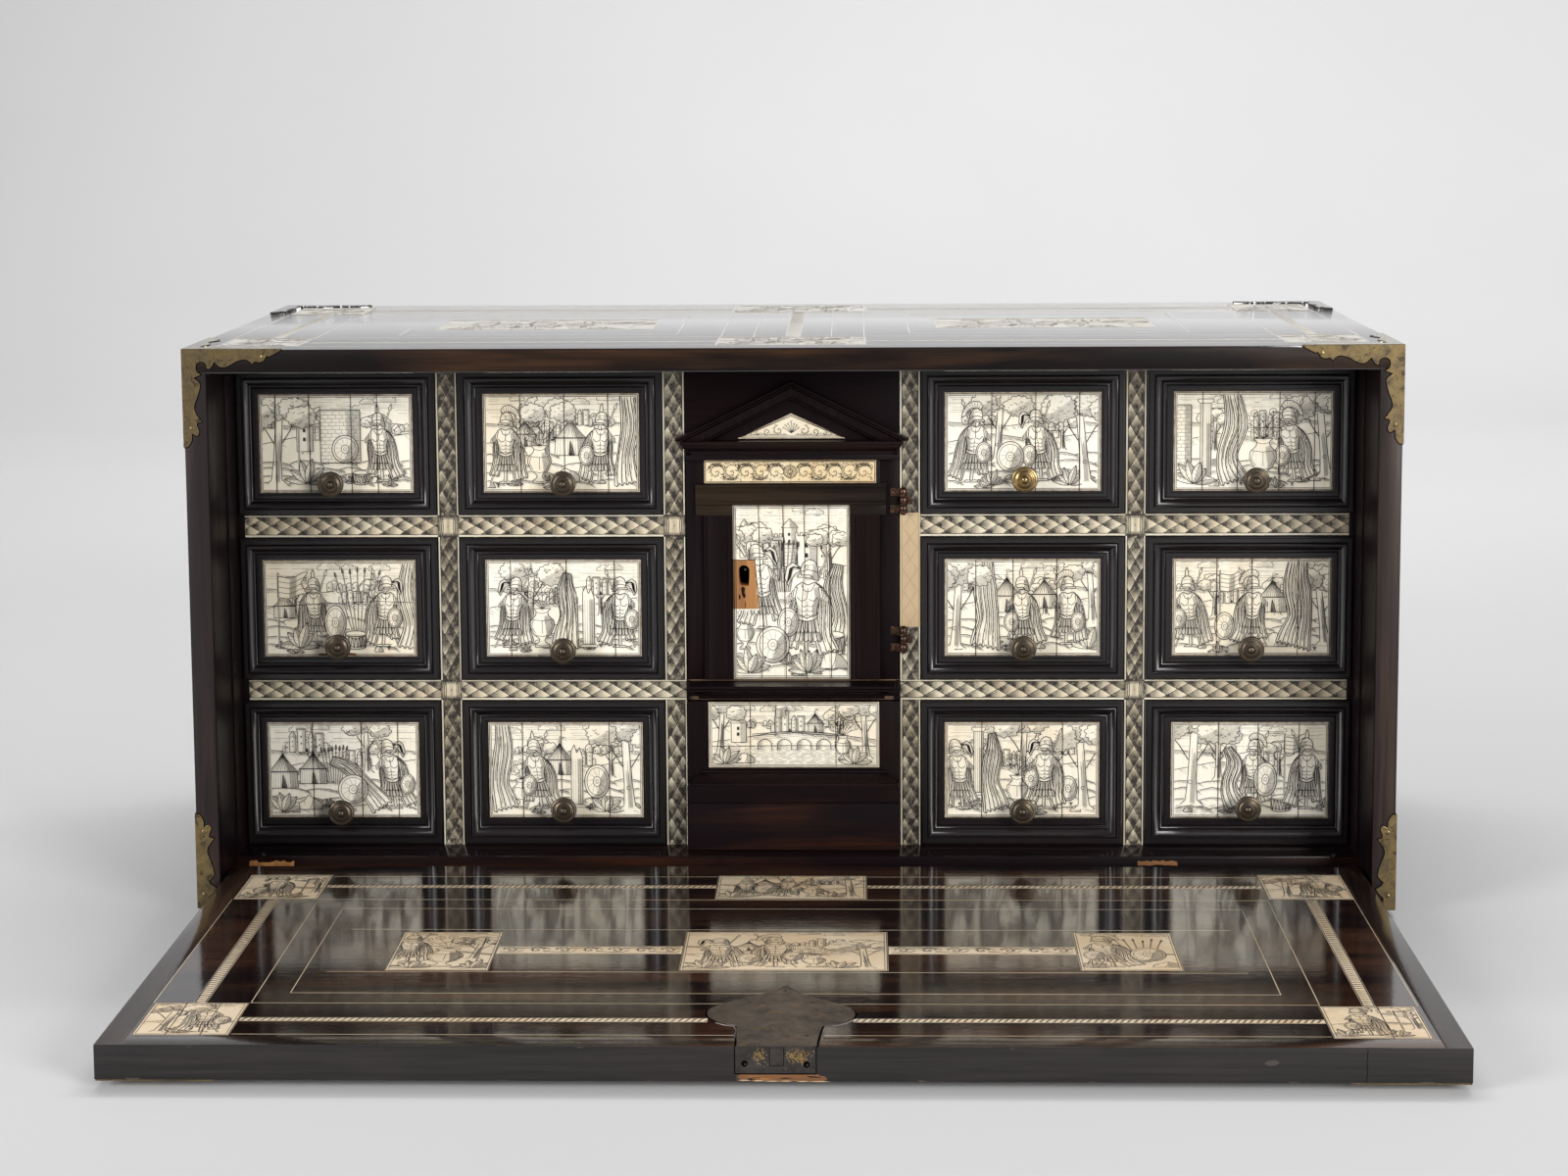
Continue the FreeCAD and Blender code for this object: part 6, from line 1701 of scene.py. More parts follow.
# drawing of each drawer plaque: what stands on it from front to back
def lay_out(p, kind):
    w, h, R = p.w, p.h, p.rnd
    far = 0.0
    if kind == 0:      # gatehouse, shield and armour
        p.shield(w * 0.56, 38, 12, 0.95)
        p.armour(w * 0.80, 10, 58, 1, False, 1)
        p.tree(w * 0.11, 8, 1.75, 0.12, 5)
        p.plant(w * 0.31, 9, 1.9, 6)
        p.drum(w * 0.66, 9, 1.0)
        p.masonry(w * 0.40, w * 0.66, 26, 72)
        p.banner(w * 0.26, 14, 58, 1.5, 1)
        p.tower(w * 0.30, 36, 14, 26, 12)
        p.town(w * 0.93, 50, 0.9)
    elif kind == 1:    # camp
        p.armour(w * 0.14, 8, 60, 1, False, 1)
        p.urn(w * 0.36, 8, 2.2)
        p.tree(w * 0.40, 24, 1.3, 0.1, 5)
        p.rock(w * 0.54, 9, 2.0)
        p.armour(w * 0.74, 8, 60, 1, True, -1)
        p.flow([(w * 0.93, h), (w * 0.95, 60), (w * 0.90, 34), (w * 0.93, 8)], [12, 16, 14, 22], 5)
        p.tent(w * 0.56, 32, 1.15, 6)
        p.tent(w * 0.27, 40, 0.8, 5)
        p.castle(w * 0.60, 58, 0.8)
        far = 1
    elif kind == 2:    # meadow with armour stands
        p.shield(w * 0.42, 30, 13, 0.9)
        p.armour(w * 0.17, 8, 62, -1, True, 1)
        p.armour(w * 0.62, 9, 60, 1, True, 1)
        p.tree(w * 0.90, 7, 1.8, -0.15, 5)
        p.plant(w * 0.80, 6, 1.5, 6)
        p.plant(w * 0.50, 7, 1.6, 6)
        p.plant(w * 0.30, 6, 1.3, 6)
        p.tree(w * 0.34, 26, 1.4, 0.1, 5)
        p.town(w * 0.76, 52, 0.8)
        far = 1
    elif kind == 3:    # garden hall
        p.flow([(w * 0.36, h), (w * 0.39, 56), (w * 0.33, 30), (w * 0.38, 9)], [14, 20, 17, 25], 6)
        p.urn(w * 0.56, 8, 2.5)
        p.plant(w * 0.13, 7, 2.0, 6)
        p.armour(w * 0.76, 8, 62, 1, True, 1)
        p.column(w * 0.20, 9, 70, 9)
        p.tree(w * 0.95, 12, 1.7, -0.15, 5)
        p.masonry(-1, w * 0.11, 18, 74)
        p.castle(w * 0.58, 54, 0.8)
    elif kind == 4:    # banners on the hill
        p.banner(w * 0.10, 7, 64, 2.0, 1)
        p.plant(w * 0.24, 8, 2.0, 6)
        p.shield(w * 0.47, 30, 15, 0.62)
        p.drum(w * 0.60, 9, 1.3)
        p.armour(w * 0.34, 12, 56, 1, False, -1)
        p.armour(w * 0.78, 9, 60, -1, True, 1)
        p.flow([(w * 0.96, h), (w * 0.93, 54), (w * 0.97, 30), (w * 0.94, 8)], [10, 15, 13, 18], 4)
        p.spears(w * 0.62, 20, 7, 56, 0.09)
        p.tent(w * 0.14, 34, 0.8, 5)
        p.town(w * 0.52, 56, 0.8)
        far = 1
    elif kind == 5:    # ruins
        p.armour(w * 0.15, 8, 60, 1, False, 1)
        p.urn(w * 0.36, 8, 2.3)
        p.flow([(w * 0.53, h - 12), (w * 0.50, 56), (w * 0.55, 36), (w * 0.51, 10)], [7, 17, 15, 24], 6)
        p.column(w * 0.66, 8, 60, 10, True)
        p.armour(w * 0.86, 8, 60, -1, True, 1)
        p.tree(w * 0.28, 22, 1.5, 0.1, 5)
        p.castle(w * 0.74, 54, 0.9)
    elif kind == 6:    # tent with curtains
        p.tree(w * 0.07, 7, 1.7, 0.1, 5)
        p.flow([(w * 0.27, h), (w * 0.24, 58), (w * 0.30, 32), (w * 0.26, 9)], [12, 20, 18, 27], 6)
        p.armour(w * 0.51, 8, 60, 1, True, 1)
        p.armour(w * 0.78, 10, 58, -1, True, -1)
        p.plant(w * 0.93, 7, 1.9, 6)
        p.tent(w * 0.40, 38, 1.1, 6)
        p.tent(w * 0.64, 42, 0.9, 5)
        p.tree(w * 0.95, 30, 1.3, -0.1, 5)
        far = 1
    elif kind == 7:    # camp edge
        p.armour(w * 0.12, 8, 60, 1, True, 1)
        p.shield(w * 0.33, 26, 12, 0.7)
        p.armour(w * 0.50, 9, 59, -1, False, 1)
        p.flow([(w * 0.80, h), (w * 0.76, 58), (w * 0.82, 34), (w * 0.77, 9)], [15, 24, 20, 31], 8)
        p.rock(w * 0.65, 8, 2.1)
        p.banner(w * 0.30, 12, 60, 1.6, 1)
        p.tree(w * 0.96, 10, 1.5, -0.2, 5)
        p.tent(w * 0.63, 38, 1.0, 6)
        p.town(w * 0.34, 56, 0.8)
        far = 1
    elif kind == 8:    # tents below a town
        p.rock(w * 0.28, 7, 2.2)
        p.plant(w * 0.10, 6, 1.9, 6)
        p.shield(w * 0.56, 25, 13, 1.0)
        p.flow([(w * 0.42, 50), (w * 0.55, 44), (w * 0.66, 26), (w * 0.74, 9)], [8, 13, 15, 21], 5)
        p.armour(w * 0.84, 8, 60, -1, True, -1)
        p.tent(w * 0.10, 26, 1.1, 6)
        p.tent(w * 0.30, 30, 1.0, 6)
        p.spears(w * 0.44, 30, 8, 34, 0.05)
        p.castle(w * 0.26, 58, 1.1)
        p.tree(w * 0.66, 40, 1.1, -0.05, 5)
        far = 1
    elif kind == 9:    # orchard
        p.flow([(w * 0.08, h), (w * 0.11, 56), (w * 0.06, 30), (w * 0.10, 8)], [11, 17, 15, 22], 5)
        p.armour(w * 0.34, 8, 60, 1, True, 1)
        p.column(w * 0.57, 9, 62, 10, True)
        p.shield(w * 0.70, 32, 15, 0.72)
        p.tree(w * 0.91, 7, 1.9, -0.1, 5)
        p.plant(w * 0.76, 6, 1.7, 6)
        p.urn(w * 0.21, 9, 1.7)
        p.tent(w * 0.46, 38, 1.0, 6)
        p.town(w * 0.74, 56, 0.8)
        far = 1
    elif kind == 10:   # colonnade
        p.armour(w * 0.12, 8, 60, -1, False, 1)
        p.flow([(w * 0.30, h - 10), (w * 0.33, 54), (w * 0.28, 32), (w * 0.33, 8)], [6, 16, 15, 23], 6)
        p.urn(w * 0.47, 8, 2.0)
        p.armour(w * 0.64, 8, 62, 1, True, 1)
        p.tree(w * 0.90, 8, 1.8, -0.1, 5)
        p.shield(w * 0.80, 26, 11, 0.7)
        p.column(w * 0.22, 20, 60, 8)
        p.tree(w * 0.50, 30, 1.4, 0.1, 5)
        p.castle(w * 0.76, 56, 0.8)
        far = 1
    else:              # water meadow
        p.tree(w * 0.13, 12, 1.95, 0.08, 5)
        p.water(2, w * 0.40, 2.5, 12)
        p.flow([(w * 0.36, 62), (w * 0.41, 48), (w * 0.36, 30), (w * 0.42, 11)], [7, 14, 13, 20], 5)
        p.shield(w * 0.60, 34, 15, 0.66)
        p.armour(w * 0.86, 8, 61, -1, False, 1)
        p.drum(w * 0.70, 8, 1.2)
        p.armour(w * 0.52, 12, 56, 1, False, 1)
        p.banner(w * 0.72, 14, 58, 1.5, 1)
        p.tree(w * 0.30, 34, 1.1, 0, 4)
        far = 1
    p.undergrowth(9, 3, 11)
    p.mounds(7, 30 if far else 24, 4)
    p.tree(w * R.uniform(0.2, 0.35), 34, 0.8, 0.05, 4)
    p.tree(w * R.uniform(0.6, 0.8), 36, 0.7, -0.05, 4)
    p.castle(w * R.uniform(0.35, 0.65), 46, 0.8)
    p.hill([(0, 42), (w * 0.3, 50), (w * 0.6, 44), (w, 52)], 0.42, 0.8)
    p.town(w * R.uniform(0.1, 0.3), 56, 0.6)
    p.town(w * R.uniform(0.7, 0.9), 58, 0.6)
    p.hill([(0, 60), (w * 0.4, 56), (w * 0.7, 63), (w, 58)], 0.38, 0.6)
    p.sky(h * 0.74, 9, 4, 2)


def joint_lines(p, cuts, level=None):
    """Open joints between the slips, in dark lines over everything."""
    p.masks, p.frame = [], (0, 0, p.w, p.h)
    for c in cuts:
        p.line([(c, 0.3), (c + p.rnd.uniform(-0.2, 0.2), p.h * 0.5), (c + p.rnd.uniform(-0.3, 0.3), p.h - 0.3)], 0.42, taper=1)
    if level:
        p.line([(0.5, level), (p.w * 0.4, level + 2.5), (p.w * 0.75, level + 4.5), (p.w - 0.5, level + 3.2)], 0.35, taper=1)


CUTS = {0: (0.11, 0.33, 0.60, 0.77), 1: (0.24, 0.52, 0.80), 2: (0.30, 0.58, 0.86), 3: (0.18, 0.40, 0.66, 0.88), 4: (0.45,), 5: (0.16, 0.52, 0.83),
        6: (0.20, 0.44, 0.72), 7: (0.28, 0.50, 0.79), 8: (0.30, 0.62, 0.86), 9: (0.22, 0.47, 0.78), 10: (0.24, 0.50, 0.76), 11: (0.30, 0.55, 0.81)}


def drawer(col, row, number):
    n = "drawer_%s_%s" % (col, row)
    ox = (COLS[col][0] + 0.6, COLS[col][1] - 0.6)
    oz = (ROWS[row][0] + 0.6, ROWS[row][1] - 0.6)
    ix, iz = PLAQUE_X[col], PLAQUE_Z[row]
    o = moulded_frame(n + "_frame", ox, oz, ix, iz, 100.2, n, [EB_MOULD_X, EB_MOULD_Z], replaces=n + "_case")
    finish_shading(o)
    # the box behind it, as in the CAD source
    x0, x1, z0, z1 = ox[0], ox[1], oz[0], oz[1]
    boards(n + "_box", [(x0 + 1, x1 - 1, 100.3, 110.2, z0 + 1, z1 - 1), (x0, x0 + 8, 110.2, 402.0, z0, z1 - 4), (x1 - 8, x1, 110.2, 402.0, z0, z1 - 4),
                        (x0 + 8, x1 - 8, 402.2, 410.2, z0 + 5, z1 - 12), (x0 + 8, x1 - 8, 110.2, 410.2, z0, z0 + 5)], [WOOD_Y], n, 0.5)
    w, h = ix[1] - ix[0], iz[1] - iz[0]
    cuts = [w * c for c in CUTS[number]]
    p = Plate(w, h, 100 + number, 2.6)
    lay_out(p, number)
    p.border(1.15, 0.42)
    p.border(2.45, 0.34)
    tablet(n + "_tablet", ix[0] + 0.25, ix[1] - 0.25, iz[0] + 0.25, iz[1] - 0.25, 98.75, 1.4, n, IVORY_SET[number % 3], n + "_plaque",
           [] if number == 4 else cuts, number, stain=0.95, plate=p)
    joint_lines(p, [] if number == 4 else cuts, h * 0.52 if number == 4 else None)
    engrave(n + "_engraving", p, on_front(ix[0], iz[0], 98.75), n)
    dx, dz = KNOB_OFF[(col, row)]
    kx, kz = (ix[0] + ix[1]) / 2 + dx, iz[0] + 10 + dz
    v, f = lathe(KNOB_PROFILE, kx, kz, 98.7, 44)
    piece(n + "_pull", v, f, BRONZE_GOLD if number == 2 else BRONZE, n, None, 40, n + "_knob")


IVORY_SET = [IVORY, ivory("ivory_b", (0.81, 0.755, 0.63), (0.68, 0.54, 0.34), 0.6, 0.3, "Z", 1.3), ivory("ivory_c", (0.84, 0.80, 0.69), (0.72, 0.60, 0.41), 0.45, 0.3, "Z", 5.6)]
EB_MOULD_X = ebony("ebony_moulding_level", "X", dark=(0.0068, 0.0045, 0.0052), brown=(0.014, 0.009, 0.009), amount=0.5, rough=(0.22, 0.36), spec=0.52, seed=11.0)
EB_MOULD_Z = ebony("ebony_moulding_upright", "Z", dark=(0.0068, 0.0045, 0.0052), brown=(0.014, 0.009, 0.009), amount=0.5, rough=(0.22, 0.36), spec=0.52, seed=12.0)
k = 0
for row in ("top", "middle", "bottom"):
    for col in ("one", "two", "three", "four"):
        drawer(col, row, k)
        k += 1
chip("knob_loss_one_middle", -412, -380, 195.2, 198.4, 98.75, RAW_X, "drawer_one_middle", 6, 0.1)


# ------------------------------------------------------------------ more shape helpers
def plate_poly(name, outer, holes, place, n_top, n_under, mat, body, replaces=None, bevel=0.15):
    """A flat piece cut from sheet: outline and holes in (u, v), from n_under up to n_top."""
    bm = bmesh.new()
    loops = [outer] + list(holes)
    edges = []
    for lp in loops:
        vs = [bm.verts.new(M(*place(u, v, n_top))) for u, v in lp]
        edges += [bm.edges.new((vs[i], vs[(i + 1) % len(vs)])) for i in range(len(vs))]
    bmesh.ops.triangle_fill(bm, use_beauty=True, use_dissolve=False, edges=edges)
    top = list(bm.faces)
    r = bmesh.ops.extrude_face_region(bm, geom=top)
    down = Vector(M(*place(0, 0, n_under))) - Vector(M(*place(0, 0, n_top)))
    for g in r["geom"]:
        if isinstance(g, bmesh.types.BMVert):
            g.co += down
    bmesh.ops.recalc_face_normals(bm, faces=bm.faces)
    me = bpy.data.meshes.new(name)
    bm.to_mesh(me)
    bm.free()
    me.materials.append(mat)
    o = bpy.data.objects.new(name, me)
    scene.collection.objects.link(o)
    if bevel:
        b = o.modifiers.new("edge", "BEVEL")
        b.width = bevel / 1000.0
        b.segments = 2
        b.limit_method = "ANGLE"
        b.angle_limit = math.radians(50)
    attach(o, body)
    if replaces:
        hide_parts(*([replaces] if isinstance(replaces, str) else replaces))
    return o


def circle(cx, cy, r, n=18, ry=None):
    return [(cx + r * math.cos(2 * math.pi * i / n), cy + (ry or r) * math.sin(2 * math.pi * i / n)) for i in range(n)]


def returned(name, profile, x0, x1, front, back, mat, body, replaces=None, slope=1.0, smooth=35):
    """A horizontal moulding with mitred returns. profile: (z, y[, 1 to round]) from top to bottom."""
    pts = curve_profile(profile, 4)
    rings = []
    for z, y in pts:
        d = max(0.0, y - front) * slope
        rings.append([(x0 + d, back, z), (x0 + d, y, z), (x1 - d, y, z), (x1 - d, back, z)])
    verts, faces = [], []
    n = len(pts)
    for r in rings:
        verts += r
    for i in range(n - 1):
        for j in range(3):
            a = i * 4 + j
            faces.append((a, a + 4, a + 5, a + 1))
        a = i * 4 + 3
        faces.append((a, a + 4, i * 4 + 4, i * 4))
    faces.append((0, 1, 2, 3))
    faces.append(tuple((n - 1) * 4 + q for q in (3, 2, 1, 0)))
    o = piece(name, verts, faces, mat, body, None, None, replaces, True)
    finish_shading(o, smooth)
    return o


def strip_profile(name, profile, a0, a1, along, mat, body, replaces=None):
    """A straight moulding with square ends. profile: (across, y); along: 'X' or 'Z'."""
    pts = curve_profile(profile, 4)
    rings = []
    for k in range(7):
        t = a0 + (a1 - a0) * k / 6
        rings.append([(t, y, q) if along == "X" else (q, y, t) for q, y in pts])
    v, f = loft(rings, True, True)
    o = piece(name, v, f, mat, body, None, None, replaces, True)
    finish_shading(o, 35)
    return o


def turned_z(profile, cx, cy, n=28):
    """Turned about an upright line: profile (radius, z)."""
    rings = [[(cx + r * math.cos(2 * math.pi * k / n), cy + r * math.sin(2 * math.pi * k / n), z) for k in range(n)] for r, z in profile]
    return loft(rings, True, True)


def foliage(p, x0, x1, yc, s, n, seed=0):
    """Running acanthus scrolls with curled leaves on both sides of each stem."""
    step = (x1 - x0) / n
    mid = (x0 + x1) / 2
    for i in range(n):
        cx = x0 + step * (i + 0.5)
        up = 1 if i % 2 else -1
        p.scroll(cx, yc + up * 0.12 * s, s, up, 0.0, up)
        p.line([(cx - step * 0.62, yc - up * s * 1.0), (cx - step * 0.42, yc - up * s * 4.6), (cx - step * 0.05, yc - up * s * 6.0), (cx + step * 0.30, yc - up * s * 5.0), (cx + step * 0.5, yc - up * s * 1.6)], 0.5)
        for k in range(6):
            t = (k + 0.3) / 6
            px = cx - step * 0.52 + step * t
            py = yc - up * s * (1.6 + 4.2 * math.sin(math.pi * t) ** 0.7)
            q = 1.5 * s * (1 - 0.4 * abs(t - 0.5))
            p.line([(px, py), (px - 0.5 * q, py - up * 0.8 * q), (px + 0.4 * q, py - up * 1.3 * q), (px + 1.0 * q, py - up * 0.5 * q), (px + 0.5 * q, py + up * 0.1 * q)], 0.36)
            p.line([(px + 0.2, py + up * 0.5), (px + 0.8 * q, py + up * 1.2 * q), (px + 1.5 * q, py + up * 0.9 * q)], 0.32)
        for sg in (-1, 1):
            lx, ly = cx + step * 0.42, yc + up * s * (3.0 + sg * 1.6)
            p.line([(lx - 1.8 * s, ly - sg * 0.4), (lx - 0.6 * s, ly + sg * 0.9 * s), (lx + 0.8 * s, ly + sg * 0.6 * s), (lx + 1.3 * s, ly - sg * 0.4 * s), (lx + 0.6 * s, ly - sg * 0.7 * s)], 0.38)
        p.arc(cx + step * 0.5, yc + up * 5.4 * s, 0.9 * s, 0, 360, 0.36, n=8)
        p.arc(cx - step * 0.35, yc + up * 5.9 * s, 0.7 * s, 30, 330, 0.34, n=7)
        p.hatch([(cx - s * 2.6, yc - up * s * 5.6), (cx + s * 2.2, yc - up * s * 5.2), (cx + s * 1.4, yc - up * s * 3.6), (cx - s * 1.8, yc - up * s * 3.8)], 60, 0.6, 0.3)


# ------------------------------------------------------------------ portal
boards("pediment_field", [(-93.1, 91.1, 98.9, 100.3, 374.7, 444.3)], [EB_FIELD], "case", 0.2)


def pediment():
    prof = curve_profile([
        (0.0, 98.7), (0.0, 85.3), (1.5, 85.1), (1.8, 85.9), (2.2, 86.5), (2.6, 86.2), (3.0, 85.6, 1), (3.8, 85.5, 1), (4.5, 86.3, 1), (4.9, 87.6), (5.3, 88.3),
        (5.6, 87.5), (12.6, 88.5), (12.9, 89.5), (13.4, 89.7), (13.8, 88.9), (15.2, 89.3), (15.6, 90.4), (15.9, 91.6), (16.0, 98.7)], 4)
    k = 0.498
    rings = []
    for side, ends in (("left", -1), ("apex", 0), ("right", 1)):
        ring = []
        for d, y in prof:
            if ends == 0:
                ring.append((-1.0, y, 434.4 - d))
            else:
                dx = 100.0 - max(0.0, d - 1.0) / k
                z = 434.4 - d - k * dx
                ring.append((-1.0 + ends * dx, y, max(z, 383.62)))
        rings.append(ring)
    dense = []
    for a, b in ((0, 1), (1, 2)):
        for t in range(8):
            f = t / 8
            dense.append([tuple(p + (q - p) * f for p, q in zip(u, v)) for u, v in zip(rings[a], rings[b])])
    dense.append(rings[2])
    v, f = loft(dense, True, True)
    o = piece("pediment_rakes", v, f, EB_GREY, "case", None, None, "portal_case", True)
    finish_shading(o, 30)
    half, top = 67.6, 418.2
    tri = [(-1 - half, 383.7), (-1 + half, 383.7), (-1, top)]
    v = [(x, 95.3, z) for x, z in tri] + [(x, 98.7, z) for x, z in tri]
    piece("pediment_panel", v, [(0, 1, 2), (3, 5, 4), (0, 3, 4, 1), (1, 4, 5, 2), (2, 5, 3, 0)], EB_GREY, "case")
    # ivory triangle with a double border and a small palmette between scrolls
    tri = [(-47.4, 384.9), (44.6, 384.9), (-1.4, 406.3)]
    n = 16
    verts, att, faces = [], [], []
    for j in range(n + 1):
        for i in range(n + 1 - j):
            a, b = i / n, j / n
            x = tri[0][0] + (tri[1][0] - tri[0][0]) * a + (tri[2][0] - tri[0][0]) * b
            z = tri[0][1] + (tri[1][1] - tri[0][1]) * a + (tri[2][1] - tri[0][1]) * b
            e = min(a, b, 1 - a - b)
            verts.append((x, 94.25 + (0.12 if e < 0.01 else 0), z))
            att.append(0.6 if e < 0.01 else 0.05)
    row = [sum(n + 1 - q for q in range(j)) for j in range(n + 2)]
    for j in range(n):
        for i in range(n - j):
            a, b, c = row[j] + i, row[j] + i + 1, row[j + 1] + i
            faces.append((a, b, c))
            if i < n - j - 1:
                faces.append((b, row[j + 1] + i + 1, c))
    m = len(verts)
    for x, z in tri:
        verts.append((x, 95.35, z))
        att.append(1.0)
    corner = [row[0], row[0] + n, row[n]]
    rim = [row[0] + i for i in range(n + 1)]
    rim2 = [row[j] + n - j for j in range(n + 1)]
    rim3 = [row[n - j] for j in range(n + 1)]
    for q, (a, b) in zip((rim, rim2, rim3), ((0, 1), (1, 2), (2, 0))):
        faces.append(tuple(q[::-1]) + (m + a, m + b))
    faces.append((m, m + 2, m + 1))
    o = piece("pediment_ivory", verts, faces, IVORY_OLD, "case")
    o.data.attributes.new("stain", "FLOAT", "POINT").data.foreach_set("value", att)
    p = Plate(92, 21.4, 41, 0.2)
    p.bold = (1.4, 1.2)
    for inset, w in ((1.0, 0.34), (2.1, 0.34)):
        kx = inset * 2.35
        p.line([(kx, inset), (92 - kx, inset)], w, taper=1)
        p.line([(kx, inset), (46, 21.4 - inset * 1.1)], w, taper=1)
        p.line([(92 - kx, inset), (46, 21.4 - inset * 1.1)], w, taper=1)
    for k2 in range(7):
        a = math.radians(30 + 20 * k2)
        L = 7.5 if k2 != 3 else 9.0
        tip = (46 + L * math.cos(a), 5.5 + L * math.sin(a))
        p.line([(46, 4.5), (46 + L * 0.5 * math.cos(a) + 0.6 * math.sin(a), 5 + L * 0.5 * math.sin(a)), tip], 0.4)
        p.arc(tip[0], tip[1], 0.9, 0, 320, 0.32, n=7)
    for sgn in (-1, 1):
        p.scroll(46 + sgn * 11, 7.2, 0.72, -sgn, math.pi / 2, 1)
        p.scroll(46 + sgn * 20.5, 5.6, 0.5, sgn, -math.pi / 2, 1)
        p.scroll(46 + sgn * 28.5, 4.2, 0.33, -sgn, math.pi / 2, 1)
        p.line([(46 + sgn * 3, 3.4), (46 + sgn * 14, 3.2), (46 + sgn * 24, 3.6), (46 + sgn * 36, 3.0)], 0.34)
        for q in range(11):
            x = 46 + sgn * (6 + 2.8 * q)
            p.arc(x, 3.6 + 0.6 * (q % 2), 0.8, 0, 250, 0.28, n=6)
    engrave("pediment_engraving", p, on_front(-47.4, 384.9, 94.25), "case")


pediment()
returned("cornice", [(383.6, 98.7), (383.6, 82.4), (383.2, 82.1), (381.2, 82.1), (380.8, 82.9), (380.0, 83.1), (379.6, 83.7, 1), (378.4, 84.0, 1), (376.8, 85.2, 1), (375.4, 87.2, 1), (374.6, 89.2, 1),
                     (374.4, 90.0), (373.0, 90.1), (372.6, 90.9), (371.2, 91.1), (371.1, 98.7)], -95.9, 93.9, 82.1, 98.7, EB_X, "case")
boards("cornice_step", [(-91.8, 89.8, 90.4, 98.7, 366.7, 371.2)], [EB_X], "case", 0.5)
returned("sill", [(173.4, 98.7), (173.4, 74.6), (173.0, 74.3), (171.3, 74.3), (170.9, 75.3), (170.2, 75.5), (169.9, 74.9), (168.8, 74.9), (168.4, 76.0), (168.0, 77.4, 1), (166.6, 80.4, 1), (164.6, 82.4, 1),
                  (162.8, 83.2, 1), (162.4, 83.4), (160.6, 83.6), (160.3, 98.7)], -91.4, 87.0, 74.3, 98.7, EB_X, "case")

boards("portal_end_covers", [(-91.3, -78, 98.2, 98.75, 160.0, 173.5), (74, 86.9, 98.2, 98.75, 160.0, 173.5), (-93.0, -80, 98.2, 98.75, 366.6, 383.5), (78, 91.1, 98.2, 98.75, 366.6, 383.5),
                             (-93.1, -91.2, 97.9, 98.75, 156.6, 160.4), (86.8, 91.1, 97.9, 98.75, 156.6, 160.4)], [EB_X], "case", 0.1)

# ------------------------------------------------------------------ door
boards("door_board", [(-92.3, -77.0, 99.5, 112, 174.3, 365.9, 1), (73.8, 90.3, 99.5, 112, 174.3, 365.9, 1), (-77.0, -52.4, 99.6, 112, 174.3, 365.9, 0), (-29.9, 73.8, 99.6, 112, 174.3, 365.9, 0),
                      (-52.4, -29.9, 99.6, 112, 174.3, 236, 0), (-52.4, -29.9, 99.6, 112, 279, 365.9, 0)], [EB_Z, EB_GREY], "door", 0.3, "door_frame")
STILE = [(0.0, 99.6), (0.0, 96.2), (0.4, 95.7), (3.0, 95.6), (3.4, 96.3), (4.0, 96.6), (20.6, 96.9), (21.0, 96.2), (21.5, 95.9), (24.0, 95.9), (24.6, 96.6), (25.0, 99.6)]
strip_profile("door_stile_left", [(-77.4 + a, y) for a, y in STILE], 174.6, 318.2, "Z", EB_GREY, "door")
strip_profile("door_stile_right", [(74.2 - a * 25.8 / 25.0, y) for a, y in STILE], 174.6, 318.2, "Z", EB_GREY, "door")
strip_profile("door_head", [(345.3, 99.6), (345.3, 95.9), (344.8, 95.5), (342.6, 95.5), (342.2, 96.3), (341.6, 96.6), (330.4, 96.7), (330.0, 96.1), (329.4, 95.8), (327.4, 95.8), (326.8, 96.5), (326.8, 99.6)],
              -84.0, 79.3, "X", EB_RAIL, "door")
boards("door_ears", [(-83.9, -52.5, 95.8, 99.6, 318.0, 326.9), (48.5, 79.2, 95.8, 99.6, 318.0, 326.9)], [EB_RAIL], "door", 0.5)
boards("door_bead", [(-84.4, 79.7, 94.9, 98.9, 344.5, 345.9)], [EB_X], "door", 0.4)


def in_patch(x, z):
    return z > 236.2 and z < 278.9 and x < -30.2 - (z - 236.0) * 0.075




